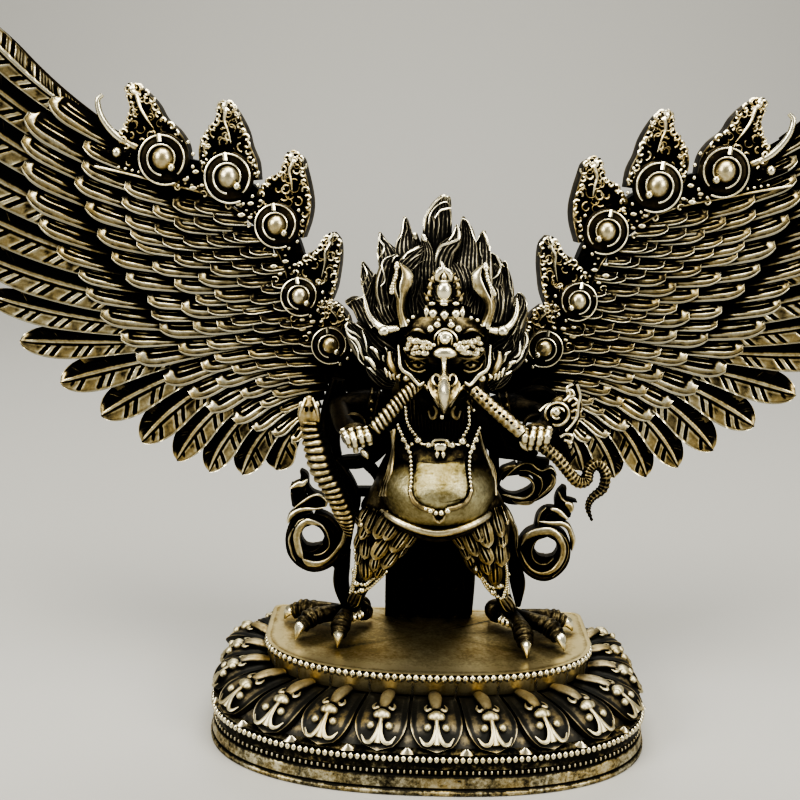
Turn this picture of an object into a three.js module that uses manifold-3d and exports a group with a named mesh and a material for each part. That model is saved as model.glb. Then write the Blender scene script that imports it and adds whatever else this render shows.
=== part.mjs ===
// Winged garuda standing on a double lotus plinth, cast in silvery brass.
// Millimetres, +Z up. The origin is the centre of the plinth's underside and the front faces -Y.
import * as THREE from 'three';
import { mergeVertices } from 'three/addons/utils/BufferGeometryUtils.js';
import Module from 'manifold-3d';

const wasm = await Module();
wasm.setup();

// Plinth, lower tier
const PLINTH_LENGTH = 128;
const PLINTH_DEPTH = 75;
const PLINTH_ROUNDNESS = 2.4;
const PLINTH_CORNER = 15;
const LIP_HEIGHT = 2.2;
const BAND_HEIGHT = 7;
const BAND_INSET = 0.9;
const RAIL_HEIGHT = 2;
const RAIL_INSET = 0.5;
const PETAL_COUNT = 22;
const PETAL_RISE = 6.4;
const PETAL_TIP_INSET = 2;
const PETAL_TIP_THICKNESS = 1;
const PETAL_GROOVE = 1.3;

// Plinth, upper tier
const TOP_LENGTH = 98;
const TOP_FRONT = 17.5;
const TOP_BACK = 28;
const TOP_ROUNDNESS = 2.25;
const TOP_BOW_START = 8;
const TOP_CORNER = 3;
const TOP_WALL = 4.9;
const TOP_WALL_INSET = 0.9;
const TOP_RAIL = 1.8;

// Figure and wings
const FIGURE_HEIGHT = 132;
const WING_REACH = 143;
const WING_THICKNESS = 2.2;
const ROW_STEP = 1.4;
const FEATHER_RIDGE = 0.8;
const WING_DISH = 10;
const FINIAL_THICKNESS = 5;
const BOSS_HEIGHT = 2.8;
const SEAT_WIDTH = 26;
const SEAT_HEIGHT = 22;
const SEAT_DEPTH = 6;
const FIT_GAP = 0.3;
const SHORTEST_EDGE = 0.06;

const LOWER_TIER = LIP_HEIGHT + BAND_HEIGHT + RAIL_HEIGHT + PETAL_TIP_THICKNESS;
const PLINTH_HEIGHT = LOWER_TIER + PETAL_RISE + TOP_WALL + TOP_RAIL;

// The figure is laid out on a grid of 132 parts of its height, measured up from the plinth's top
const unit = FIGURE_HEIGHT / 132;
const at = (x, y, h) => new THREE.Vector3(x * unit, y * unit, PLINTH_HEIGHT + FIT_GAP + h * unit);
const BACK_PLANE = 22 * unit;
const SEAT_MIDDLE = at(0, 0, 80).z;

// Wings are laid out on a grid of 143 parts of their reach, measured from the seat's middle
const wingUnit = WING_REACH / 143;

// Solids

function solid(positions, triangles) {
  const geometry = new THREE.BufferGeometry();
  geometry.setAttribute('position', new THREE.Float32BufferAttribute(positions.flat(), 3));
  geometry.setIndex(triangles.flat());
  return toManifold(geometry);
}

function signedVolume(position, index) {
  const [a, b, c] = [new THREE.Vector3(), new THREE.Vector3(), new THREE.Vector3()];
  let volume = 0;
  for (let i = 0; i < index.count; i += 3) {
    a.fromBufferAttribute(position, index.getX(i));
    b.fromBufferAttribute(position, index.getX(i + 1));
    c.fromBufferAttribute(position, index.getX(i + 2));
    volume += a.dot(b.cross(c)) / 6;
  }
  return volume;
}

function toManifold(source) {
  const bare = source.clone();
  bare.deleteAttribute('normal');
  bare.deleteAttribute('uv');
  const merged = mergeVertices(bare, 1e-4);
  const triVerts = new Uint32Array(merged.index.array);
  if (signedVolume(merged.attributes.position, merged.index) < 0) {
    for (let i = 0; i < triVerts.length; i += 3) {
      [triVerts[i], triVerts[i + 1]] = [triVerts[i + 1], triVerts[i]];
    }
  }
  const vertProperties = new Float32Array(merged.attributes.position.array);
  return new wasm.Manifold(new wasm.Mesh({ numProp: 3, vertProperties, triVerts }));
}

// The solids as one casting, with any small void sealed between them filled and edges too short to
// see drawn together
function joined(solids) {
  const whole = solids.reduce((sum, next) => sum.add(next));
  const filled = wasm.Manifold.compose(whole.decompose().filter((body) => body.volume() > 0));
  return filled.asOriginal().simplify(SHORTEST_EDGE);
}

function toMesh(name, manifold, material) {
  const mesh = manifold.getMesh();
  const geometry = new THREE.BufferGeometry();
  const positions = [];
  for (let i = 0; i < mesh.vertProperties.length; i += mesh.numProp) {
    positions.push(...mesh.vertProperties.slice(i, i + 3));
  }
  geometry.setAttribute('position', new THREE.Float32BufferAttribute(positions, 3));
  geometry.setIndex([...mesh.triVerts]);
  const made = new THREE.Mesh(geometry, material);
  made.name = name;
  return made;
}

// A closed skin through rings of equal length, with both ends closed by fans. Where the rings
// repeat a pattern of columns, the facets of its second half mirror those of its first
function loft(rings, pattern = 0) {
  const sides = rings[0].length;
  const positions = rings.flat().map((p) => [p.x, p.y, p.z]);
  const triangles = [];
  for (let r = 0; r < rings.length - 1; r += 1) {
    for (let i = 0; i < sides; i += 1) {
      const [a, b] = [r * sides + i, r * sides + ((i + 1) % sides)];
      if (pattern > 0 && i % pattern >= pattern / 2) {
        triangles.push([a, b, a + sides], [b, b + sides, a + sides]);
      } else {
        triangles.push([a, b, b + sides], [a, b + sides, a + sides]);
      }
    }
  }
  for (const [ring, flip] of [[0, true], [rings.length - 1, false]]) {
    const middle = new THREE.Vector3();
    rings[ring].forEach((p) => middle.addScaledVector(p, 1 / sides));
    positions.push([middle.x, middle.y, middle.z]);
    for (let i = 0; i < sides; i += 1) {
      const edge = [ring * sides + i, ring * sides + ((i + 1) % sides)];
      triangles.push([...(flip ? edge.reverse() : edge), positions.length - 1]);
    }
  }
  return solid(positions, triangles);
}

// A value between those of a list, on a smooth curve through them, for a share from 0 to 1
function blend(values, share) {
  const last = values.length - 1;
  const place = THREE.MathUtils.clamp(share, 0, 1) * last;
  const i = Math.min(Math.floor(place), last - 1);
  const f = place - i;
  const before = i > 0 ? values[i - 1] : 2 * values[0] - values[1];
  const after = i < last - 1 ? values[i + 2] : 2 * values[last] - values[last - 1];
  const [b, c] = [values[i], values[i + 1]];
  const bend = (2 * before - 5 * b + 4 * c - after) * f * f;
  return 0.5 * (2 * b + (c - before) * f + bend + (3 * b - before - 3 * c + after) * f ** 3);
}

function along(points, share) {
  return new THREE.Vector3(...['x', 'y', 'z'].map((axis) => blend(points.map((p) => p[axis]), share)));
}

// A tube through points, with a radius at each one. Flatness squeezes it along the reference direction
function tube(points, radii, { sides = 6, steps = points.length, flatness = 1, across = [0, 1, 0] } = {}) {
  const rings = [];
  for (let k = 0; k <= steps; k += 1) {
    const share = k / steps;
    const middle = along(points, share);
    const ahead = along(points, Math.min(share + 0.01, 1)).sub(along(points, Math.max(share - 0.01, 0)));
    const side = new THREE.Vector3(...across).cross(ahead).normalize();
    const depth = ahead.clone().cross(side).normalize();
    const radius = Math.max(blend(radii, share), 0.15) * unit;
    const ring = [];
    for (let i = 0; i < sides; i += 1) {
      const angle = (2 * Math.PI * (i + 0.5)) / sides;
      ring.push(middle.clone()
        .addScaledVector(side, radius * Math.cos(angle))
        .addScaledVector(depth, radius * flatness * Math.sin(angle)));
    }
    rings.push(ring);
  }
  return loft(rings);
}

function ball(middle, [rx, ry, rz], { around = 8, down = 4 } = {}) {
  const geometry = new THREE.SphereGeometry(1, around, down);
  geometry.rotateX(Math.PI / 2);
  geometry.scale(rx * unit, ry * unit, rz * unit);
  geometry.translate(middle.x, middle.y, middle.z);
  return toManifold(geometry);
}

// A pointed leaf with a raised midrib, from its base to its tip, facing the given way
function leaf(base, tip, width, thickness, facing = [0, -1, 0]) {
  const length = tip.clone().sub(base);
  const side = new THREE.Vector3(...facing).cross(length).normalize().multiplyScalar((width * unit) / 2);
  const out = length.clone().cross(side).normalize().multiplyScalar(thickness * unit);
  const belly = base.clone().addScaledVector(length, 0.55);
  const corners = [
    base.clone().addScaledVector(side, 0.5), base.clone().addScaledVector(side, -0.5),
    belly.clone().sub(side), tip, belly.clone().add(side),
  ];
  const ridge = [base.clone().add(out), belly.clone().addScaledVector(out, 1.2)];
  const back = belly.clone().sub(out);
  const positions = [...corners, ...ridge, back].map((p) => [p.x, p.y, p.z]);
  return solid(positions, [
    [0, 5, 1], [1, 5, 6], [1, 6, 2], [2, 6, 3], [3, 6, 4], [4, 6, 0], [0, 6, 5],
    [0, 1, 7], [1, 2, 7], [2, 3, 7], [3, 4, 7], [4, 0, 7],
  ]);
}

// Plinth

// Both tiers have a bowed front, straight sides, round back corners and a straight back
const LOWER_PLAN = {
  half: PLINTH_LENGTH / 2,
  front: -PLINTH_DEPTH / 2,
  back: PLINTH_DEPTH / 2,
  bowStart: 0,
  roundness: PLINTH_ROUNDNESS,
  corner: PLINTH_CORNER,
};
const UPPER_PLAN = {
  half: TOP_LENGTH / 2,
  front: -TOP_FRONT,
  back: TOP_BACK,
  bowStart: TOP_BOW_START,
  roundness: TOP_ROUNDNESS,
  corner: TOP_CORNER,
};

function inside({ half, front, back, bowStart, roundness, corner }, x, y) {
  if (y <= bowStart) {
    const [u, v] = [Math.abs(x) / half, (bowStart - y) / (bowStart - front)];
    return u ** roundness + v ** roundness < 1;
  }
  const [dx, dy] = [Math.abs(x) - (half - corner), y - (back - corner)];
  return dx > 0 && dy > 0 ? Math.hypot(dx, dy) < corner : dx < corner && dy < corner;
}

// Where the plan's edge is met by a ray from the tiers' common middle
function edgeToward(plan, x, y) {
  const reach = (2 * PLINTH_LENGTH) / Math.hypot(x, y - TOP_BOW_START);
  const point = (share) => [x * share, TOP_BOW_START + (y - TOP_BOW_START) * share];
  let [low, high] = [0, reach];
  for (let i = 0; i < 40; i += 1) {
    const middle = (low + high) / 2;
    if (inside(plan, ...point(middle))) low = middle;
    else high = middle;
  }
  return point(low);
}

// Points at even steps along a plan's edge, from the middle of its front
function evenOutline(plan, count) {
  const samples = 1440;
  const points = [];
  const lengths = [0];
  for (let i = 0; i <= samples; i += 1) {
    const angle = (2 * Math.PI * i) / samples - Math.PI / 2;
    points.push(edgeToward(plan, Math.cos(angle), TOP_BOW_START + Math.sin(angle)));
    if (i > 0) {
      const [p, q] = [points[i - 1], points[i]];
      lengths.push(lengths[i - 1] + Math.hypot(q[0] - p[0], q[1] - p[1]));
    }
  }
  const outline = [];
  let i = 0;
  for (let k = 0; k < count; k += 1) {
    const wanted = (lengths[samples] * (k + 0.5)) / count;
    while (lengths[i + 1] < wanted) i += 1;
    const f = (wanted - lengths[i]) / (lengths[i + 1] - lengths[i]);
    outline.push(points[i].map((value, axis) => value + (points[i + 1][axis] - value) * f));
  }
  return outline;
}

function plinth() {
  // Across each petal the columns are the groove beside it and its two rims
  const relief = [-PETAL_GROOVE, 0, 0];
  const columns = relief.length;
  const outer = evenOutline(LOWER_PLAN, PETAL_COUNT * columns);
  const inner = outer.map(([x, y]) => edgeToward(UPPER_PLAN, x, y));
  const pulled = ([x, y], inset) => {
    const length = Math.hypot(x, y - TOP_BOW_START);
    const share = 1 - inset / length;
    return [x * share, TOP_BOW_START + (y - TOP_BOW_START) * share];
  };
  const ring = (points, inset, z) => points.map((p) => new THREE.Vector3(...pulled(p, inset), z));
  const petalRing = (share, inset, z) => outer.map((p, i) => {
    const kind = i % columns;
    const tipPull = share === 0 && kind === 0 ? PETAL_TIP_INSET : 0;
    const [ox, oy] = pulled(p, inset + tipPull);
    const [ix, iy] = inner[i];
    const lift = share < 1 ? relief[kind] : 0;
    return new THREE.Vector3(ox + (ix - ox) * share, oy + (iy - oy) * share, z + lift);
  });
  const railBase = LIP_HEIGHT + BAND_HEIGHT;
  const shoulder = LOWER_TIER + PETAL_RISE;
  const wallTop = shoulder + TOP_WALL;
  return loft([
    ring(outer, 0, 0),
    ring(outer, 0, LIP_HEIGHT),
    ring(outer, BAND_INSET, LIP_HEIGHT),
    ring(outer, BAND_INSET + RAIL_INSET, railBase),
    ring(outer, RAIL_INSET, railBase + RAIL_HEIGHT / 2),
    petalRing(0, BAND_INSET, LOWER_TIER + PETAL_GROOVE * 0.4),
    petalRing(0.15, BAND_INSET, LOWER_TIER + PETAL_RISE * 0.62),
    petalRing(0.45, BAND_INSET, LOWER_TIER + PETAL_RISE * 0.95),
    petalRing(1, TOP_WALL_INSET, shoulder),
    ring(inner, TOP_WALL_INSET, wallTop),
    ring(inner, 0, wallTop),
    ring(inner, 0, wallTop + TOP_RAIL),
  ], columns);
}

// Wings

// Stations of the fan, from the inner lower corner to the top feather. Each has the feather's
// root, its tip and how far it bows
const FAN = {
  rootX: [38, 33.5, 32, 34, 39, 46, 60, 87],
  rootZ: [-17, -9, -1, 7, 15, 29, 45, 61],
  tipX: [43.5, 65.8, 87.6, 113, 134.5, 142.8, 141, 131.9],
  tipZ: [-34.5, -37.5, -29, -9.4, 19.5, 50, 80, 102.5],
  bow: [0.1, 0.3, 0.26, 0.05, -0.16, -0.2, -0.19, -0.13],
};

// Feather rows from the long primaries to the small coverts, with how far out each one's tips reach
const FEATHER_ROWS = [
  { count: 15, reach: 1, notch: 0.2, shoulder: 0.07, from: 0, to: 1 },
  { count: 14, reach: 0.7, notch: 0.1, shoulder: 0.03, from: 0.01, to: 0.985 },
  { count: 12, reach: 0.5, notch: 0.09, shoulder: 0.03, from: 0.02, to: 0.95 },
  { count: 9, reach: 0.34, notch: 0.08, shoulder: 0.03, from: 0.035, to: 0.92 },
];

// Finials along the arm of the wing, from the shoulder out: middle of the boss, its radius, the tip,
// and how far the back stands in toward the middle
const FINIALS = [
  { x: 32.3, z: 5.8, radius: 5.4, tipX: 28, tipZ: 15, lean: 2 },
  { x: 41.8, z: 20.3, radius: 5.4, tipX: 32.8, tipZ: 39.5, lean: 3.2 },
  { x: 48.8, z: 40.8, radius: 6, tipX: 44.6, tipZ: 62.5, lean: 3.2 },
  { x: 62.8, z: 54.2, radius: 7.2, tipX: 62.9, tipZ: 76, lean: 1.5 },
  { x: 82.3, z: 58.8, radius: 7, tipX: 89.5, tipZ: 79.8, lean: 0.5 },
];

// The wings are made by hand: the right one's feathers reach a little less far and end higher
const WINGS = [
  { name: 'left_wing', side: -1, tipReach: 1, tipLift: 0 },
  { name: 'right_wing', side: 1, tipReach: 0.96, tipLift: 2.4 },
];

function fanPlace({ tipReach, tipLift }, span, reach) {
  const [bx, bz] = [blend(FAN.rootX, span), blend(FAN.rootZ, span)];
  const [tx, tz] = [blend(FAN.tipX, span) * tipReach, blend(FAN.tipZ, span) + tipLift];
  const bow = blend(FAN.bow, span);
  const [cx, cz] = [(bx + tx) / 2 - (tz - bz) * bow, (bz + tz) / 2 + (tx - bx) * bow];
  const left = 1 - reach;
  return [
    left * left * bx + 2 * left * reach * cx + reach * reach * tx,
    left * left * bz + 2 * left * reach * cz + reach * reach * tz,
  ];
}

// The sheet is flat as far as the arm's bend and then comes forward
function dish(x) {
  return -WING_DISH * (Math.max(x / wingUnit - 45, 0) / 98) ** 2;
}

// A point of the wing's sheet, lifted toward the front
function wingPoint({ side }, [x, z], lift) {
  const depth = BACK_PLANE + SEAT_DEPTH + dish(x * wingUnit);
  return [side * x * wingUnit, depth - lift, SEAT_MIDDLE + z * wingUnit];
}

// A row of feathers as one comb-shaped plate, each feather with a raised middle and a round tip
function featherRow(wing, level, { count, reach, notch, shoulder, from, to }) {
  const front = [];
  const back = [];
  const triangles = [];
  const start = 0.012 * level;
  const add = (span, share, lift) => {
    const place = fanPlace(wing, span, share);
    front.push(wingPoint(wing, place, level * ROW_STEP + lift));
    back.push(wingPoint(wing, place, level * ROW_STEP - WING_THICKNESS));
    return front.length - 1;
  };
  const edge = (span) => [start, reach * 0.5, reach - notch].map((share) => add(span, share, 0));
  const width = (to - from) / count;
  let left = edge(from);
  for (let i = 0; i < count; i += 1) {
    const middle = from + width * (i + 0.5);
    const right = edge(from + width * (i + 1));
    const crown = add(middle, reach - shoulder * 2, FEATHER_RIDGE);
    const [leftTurn, rightTurn] = [-0.36, 0.36].map((part) => add(middle + width * part, reach - shoulder, 0));
    const tip = add(middle, reach, 0);
    triangles.push([left[0], right[0], right[1]], [left[0], right[1], left[1]]);
    triangles.push([left[1], right[1], crown], [left[1], crown, left[2]], [right[1], right[2], crown]);
    triangles.push([left[2], crown, leftTurn], [leftTurn, crown, tip]);
    triangles.push([tip, crown, rightTurn], [rightTurn, crown, right[2]]);
    left = right;
  }
  return plate(front, back, triangles);
}

// A closed plate between a front sheet and a back sheet with the same triangles
function plate(front, back, triangles) {
  const count = front.length;
  const edges = new Map();
  for (const [a, b, c] of triangles) {
    for (const [p, q] of [[a, b], [b, c], [c, a]]) {
      if (!edges.delete(`${q},${p}`)) edges.set(`${p},${q}`, [p, q]);
    }
  }
  const all = [...triangles, ...triangles.map(([a, b, c]) => [a + count, c + count, b + count])];
  for (const [p, q] of edges.values()) {
    all.push([q, p, p + count], [q, p + count, q + count]);
  }
  return solid([...front, ...back], all);
}

// A flame-shaped finial with a ringed boss on its foot
function finial({ side }, { x, z, radius, tipX, tipZ, lean }) {
  const reach = new THREE.Vector2(tipX - x, tipZ - z);
  const length = reach.length();
  const [ux, uz] = [reach.x / length, reach.y / length];
  const outline = [
    [-1, -1], [1, -1], [1.35, 0.5], [0.75, 1.9], [0, length / radius], [-0.75, 1.9], [-1.35, 0.5],
  ];
  const foot = BACK_PLANE + SEAT_DEPTH + dish(x * wingUnit) + 1;
  const frontLift = FINIAL_THICKNESS + 1;
  const place = ([p, q], share) => [
    side * wingUnit * (x + radius * (q * ux + p * uz) - lean * (1 - share)),
    foot - frontLift * share,
    SEAT_MIDDLE + wingUnit * (z + radius * (q * uz - p * ux)),
  ];
  const shape = new THREE.Shape(outline.map(([p, q]) => new THREE.Vector2(p, q)));
  const body = new THREE.ExtrudeGeometry(shape, { depth: 1, bevelEnabled: false });
  const position = body.attributes.position;
  for (let i = 0; i < position.count; i += 1) {
    position.setXYZ(i, ...place([position.getX(i), position.getY(i)], position.getZ(i)));
  }
  const profile = [[0, -1], [1, -1], [0.9, BOSS_HEIGHT * 0.45], [0, BOSS_HEIGHT]];
  const boss = new THREE.LatheGeometry(profile.map(([r, y]) => new THREE.Vector2(r * radius * wingUnit, y)), 7);
  boss.rotateX(Math.PI);
  boss.translate(...place([0, 0], 1));
  return toManifold(body).add(toManifold(boss));
}

// The arm of the wing runs behind the finials, from the lug at the seat to the outer finial
function wingArm(wing) {
  const rail = (share, lift) => wingPoint(wing, [
    blend([2.5, 14, 27, 36, 41, 47, 62, 84, 98], share),
    blend([2, 2, 1, 10, 21, 38, 51, 57, 60], share),
  ], lift);
  const half = [10, 10, 10, 5, 4, 4, 4, 3, 0.5];
  const rings = [];
  const steps = 10;
  for (let k = 0; k <= steps; k += 1) {
    const share = k / steps;
    const next = new THREE.Vector3(...rail(Math.min(share + 0.01, 1), 0));
    const ahead = next.sub(new THREE.Vector3(...rail(Math.max(share - 0.01, 0), 0))).normalize();
    const across = new THREE.Vector3(-ahead.z, 0, ahead.x).multiplyScalar(blend(half, share) * wingUnit);
    const [front, back] = [rail(share, share < 0.3 ? SEAT_DEPTH - FIT_GAP : SEAT_DEPTH), rail(share, -1.4)];
    rings.push([[front, 1], [back, 1], [back, -1], [front, -1]].map(([p, sign]) => (
      new THREE.Vector3(...p).addScaledVector(across, sign)
    )));
  }
  return loft(rings);
}

function wingSolid(wing) {
  const rows = FEATHER_ROWS.map((row, level) => featherRow(wing, level, row));
  return joined([...rows, wingArm(wing), ...FINIALS.map((place) => finial(wing, place))]);
}

// Figure

function torso() {
  // Each level: height, half width, how far the front and the back stand from the middle
  const levels = [
    [37.4, 10, 8, 9], [42, 17, 17, 15], [50, 17.6, 19, 15.5], [57, 14.6, 13.5, 14], [69, 12.5, 6.5, 12],
    [74, 8, 5, 8],
  ];
  const sides = 10;
  return loft(levels.map(([h, half, front, back]) => {
    const ring = [];
    for (let i = 0; i < sides; i += 1) {
      const angle = (2 * Math.PI * (i + 0.5)) / sides;
      const depth = Math.sin(angle) < 0 ? front : back;
      ring.push(at(0.6 + half * Math.cos(angle), 7 + depth * Math.sin(angle), h));
    }
    return ring;
  }));
}

function belt() {
  const points = [];
  for (let i = 0; i <= 8; i += 1) {
    const angle = Math.PI * (1 + i / 8);
    const rise = 4.5 * Math.abs(Math.cos(angle)) ** 1.5;
    points.push(at(0.6 + 17.6 * Math.cos(angle), 7 + 15.5 * Math.sin(angle), 38.6 + rise));
  }
  return tube(points, [1.6, 1.7, 1.8, 1.8, 1.8, 1.8, 1.8, 1.7, 1.6], { sides: 4, steps: 6, across: [0, 0, 1] });
}

function backSeat() {
  const block = new THREE.BoxGeometry(SEAT_WIDTH, BACK_PLANE - 12 * unit, SEAT_HEIGHT);
  block.translate(0, (BACK_PLANE + 12 * unit) / 2, SEAT_MIDDLE);
  return toManifold(block);
}

function head() {
  const skull = ball(at(0.8, 5, 86), [12.5, 10.5, 13], { around: 8, down: 4 });
  const brows = [-1, 1].map((side) => (
    tube([at(0.9 + side * 2, -6, 89.5), at(0.9 + side * 6, -5.6, 92.6), at(0.9 + side * 11.4, -2, 91)],
      [1.6, 2, 1], { sides: 4, steps: 2 })
  ));
  const beak = tube([at(1.1, -3, 89), at(1.2, -9, 86.5), at(1.2, -12, 81), at(1.3, -10.6, 74)],
    [3.4, 4.2, 3.6, 0.3], { sides: 6, steps: 3, across: [1, 0, 0] });
  const jaw = ball(at(1.1, -2, 77.5), [8, 6, 4.4], { around: 6, down: 4 });
  const diadem = ball(at(0.8, 3, 98), [12.4, 9, 5.4], { around: 7, down: 3 });
  const jewel = leaf(at(0.6, -4.4, 97), at(0.4, -0.5, 114), 7, 2.4);
  return [skull, ...brows, beak, jaw, diadem, jewel];
}

function earsAndHorns() {
  const solids = [];
  for (const side of [-1, 1]) {
    solids.push(tube([at(0.6 + side * 9.4, 0.5, 94), at(0.5 + side * 11.4, -1, 102), at(0.3 + side * 12, 1, 113.4)],
      [2.2, 2.8, 0.4], { sides: 4, steps: 3, flatness: 0.6 }));
    solids.push(tube([at(0.8 + side * 8.5, 3, 92), at(0.8 + side * 17.5, 1, 95), at(0.4 + side * 20.6, 3, 103.8)],
      [2, 1.8, 0.3], { sides: 4, steps: 3 }));
    solids.push(tube([at(side * 21, 9, 99), at(side * 26.4, 8, 92), at(side * 21, 6, 84), at(side * 9, 5, 81)],
      [1.6, 2.3, 2.3, 1.6], { sides: 4, steps: 4 }));
  }
  return solids;
}

function flames() {
  // Each lock: foot, bend, tip and radius
  const locks = [
    [[-3, 6, 100], [2, 8, 117], [0, 9, 132], 7], [[5, 3, 104], [7.5, 4, 114], [3.7, 6, 123.6], 3.4],
    [[-8, 8, 100], [-8.5, 10, 114], [-10.4, 12, 124.8], 5.4], [[9, 8, 100], [10.5, 10, 113], [6.4, 12, 125.2], 4.6],
    [[-13, 9, 97], [-14, 11, 110], [-17.6, 14, 120.3], 5.2], [[13, 9, 98], [14.5, 11, 111], [11.7, 12, 121.5], 5],
    [[-15, 10, 94], [-18.5, 12, 103], [-22.2, 14, 111.4], 5], [[15, 10, 94], [18.4, 12, 103], [18.5, 14, 113.1], 5],
    [[-17, 10, 88], [-21.4, 11, 97], [-24, 12, 104.4], 4.4], [[17, 10, 88], [21, 12, 96], [22.3, 14, 105], 4.4],
  ];
  const mass = ball(at(0, 10, 97), [17, 8.5, 18], { around: 7, down: 4 });
  return [mass, ...locks.map(([foot, bend, tip, radius]) => (
    tube([at(...foot), at(...bend), at(...tip)], [radius, radius * 0.85, 0.3], { sides: 4, steps: 2, flatness: 0.8 })
  ))];
}

// A closed hand seen from the front, with four upright fingers side by side
function fist(x, h) {
  const fingers = 4;
  const ring = (height, y, width) => {
    const points = [at(x + width / 2, y + 5, height), at(x - width / 2, y + 5, height)];
    for (let i = 0; i <= fingers * 2; i += 1) {
      const knuckle = i % 2 === 1 ? 2 : 0;
      points.push(at(x + width * (i / (fingers * 2) - 0.5), y - knuckle, height));
    }
    return points;
  };
  return loft([ring(h + 4, -8, 8.2), ring(h, -9.2, 8.6), ring(h - 4, -8.2, 7.4)]);
}

function arms() {
  const solids = [];
  for (const side of [-1, 1]) {
    const [x, h] = side < 0 ? [-22.6, 65] : [27.5, 66.7];
    const elbow = at(side * 29, 9, 70);
    solids.push(tube([at(0.6 + side * 10, 9, 67), at(side * 20, 10, 71), elbow], [4.8, 3.9, 3.2],
      { sides: 6, steps: 2 }));
    solids.push(tube([elbow, at(x + side * 3, 0, h + 1.6), at(x, -7.5, h - 0.4)], [3.2, 2.9, 2.9],
      { sides: 5, steps: 2 }));
    solids.push(fist(x, h));
    solids.push(tube([at(0.9 + side * 5, -3, 80), at(0.9 + side * 10, -6.4, 78), at(x - side * 1, -8.4, h + 1)],
      [1.7, 1.7, 1.7], { sides: 5, steps: 3 }));
  }
  return solids;
}

function snakes() {
  const left = tube([
    at(-25, -7.5, 64), at(-30, -8, 69), at(-34.2, -11, 74.4), at(-36, -12, 78.5),
  ], [1.9, 2.6, 3.4, 1.2], { sides: 5, steps: 3, flatness: 0.7 });
  const hanging = tube([
    at(-33.4, -11, 73), at(-31.2, -12, 65.8), at(-29.4, -12, 56.5), at(-27.2, -11, 48.8), at(-25.2, -10, 43.9),
    at(-24.4, -9, 39),
  ], [2.6, 3.6, 3.9, 3.5, 2.4, 0.8], { sides: 7, steps: 5 });
  const strand = tube([at(-24, -4, 66), at(-22.4, -4, 57), at(-22.2, -5, 50), at(-24.6, -8, 43)],
    [2, 1.8, 1.6, 1.2], { sides: 4, steps: 3 });
  const right = tube([
    at(26, -8.4, 66.4), at(30.6, -9, 64.3), at(35.4, -10, 59.3), at(40.4, -10, 54.5), at(41.6, -8.6, 57.5),
    at(44.4, -7.6, 59.4), at(47.2, -7, 55.5), at(44.5, -7, 50.8), at(42.5, -7, 46.7), at(43.9, -7, 43.2),
  ], [1.9, 1.9, 1.9, 1.9, 1.8, 1.8, 1.9, 1.6, 1.1, 0.4], { sides: 5, steps: 12 });
  const ornament = leaf(at(33, 6, 66), at(36.4, 3, 80.4), 9, 2.4);
  return [left, hanging, strand, right, ornament];
}

function scarves() {
  const solids = [];
  for (const side of [-1, 1]) {
    const centre = side < 0 ? [-35.4, 10, 30.5] : [34.1, 10, 29.2];
    const coil = new THREE.TorusGeometry(5.3 * unit, 2.5 * unit, 4, 10).rotateX(Math.PI / 2);
    coil.translate(...at(...centre).toArray());
    solids.push(toManifold(coil));
    solids.push(tube([
      at(centre[0] + side * 4.5, 10, centre[2] + 4), at(centre[0] + side * 8, 9, centre[2] + 11),
      at(centre[0] + side * 2, 9, centre[2] + 15), at(centre[0] + side * 5, 8, centre[2] + 21),
    ], [2.2, 2.4, 2.6, 0.8], { sides: 4, steps: 4, flatness: 0.8 }));
    solids.push(tube([
      at(centre[0] - side * 4.6, 10, centre[2] + 1), at(centre[0] - side * 9, 11, centre[2] - 8), at(side * 25, 12, 13),
    ], [2.4, 2.6, 2], { sides: 4, steps: 2 }));
    solids.push(tube([at(side * 27, 12, 21), at(side * 24, 11, 24), at(side * 19, 8, 30)], [2.6, 2.4, 2.4],
      { sides: 4, steps: 2 }));
  }
  const loop = [
    at(16, 11, 41), at(17, 13, 49), at(20, 14, 53), at(27, 14, 53), at(33.5, 13, 49), at(30, 13, 44),
    at(23, 13, 42), at(17, 12, 43), at(19, 12, 37), at(24, 12, 34), at(29.4, 11, 31),
  ];
  solids.push(tube(loop, loop.map(() => 1.9), { sides: 4, steps: 11 }));
  return solids;
}

function legs() {
  const solids = [];
  for (const side of [-1, 1]) {
    const knee = side < 0 ? [-19.3, 3, 30.4] : [19.2, 3, 31];
    const ankle = side < 0 ? [-24.8, 14, 4.6] : [26, 14, 4.2];
    const shin = [ankle[0] - side * 1.2, 12.4, 12];
    solids.push(tube([at(side * 9, 6, 44), at(side * 14, 5, 37), at(...knee), at(side * 22, 8, 20), at(...shin)],
      [9.4, 9.6, 8, 5, 2.8], { sides: 7, steps: 4 }));
    solids.push(tube([at(...shin), at(...ankle)], [2.5, 2.8], { sides: 5, steps: 1 }));
    for (let row = 0; row < 2; row += 1) {
      const leaves = 3 - row;
      for (let i = 0; i < leaves; i += 1) {
        const around = (i - (leaves - 1) / 2) * 0.9;
        const [top, radius] = [35 - row * 9.5, 8.4 - row * 2.2];
        const [middleX, middleY] = [side * (14.4 + row * 4), 4.4 + row * 2];
        const [sin, cos] = [Math.sin(around), Math.cos(around)];
        solids.push(leaf(
          at(middleX + sin * radius, middleY - cos * radius * 0.9, top),
          at(middleX + side * 2.8 + sin * radius, middleY - cos * (radius + 0.8), top - 9.5),
          7.4 - row, 1.5, [sin, -cos, 0],
        ));
      }
    }
  }
  return solids;
}

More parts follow.
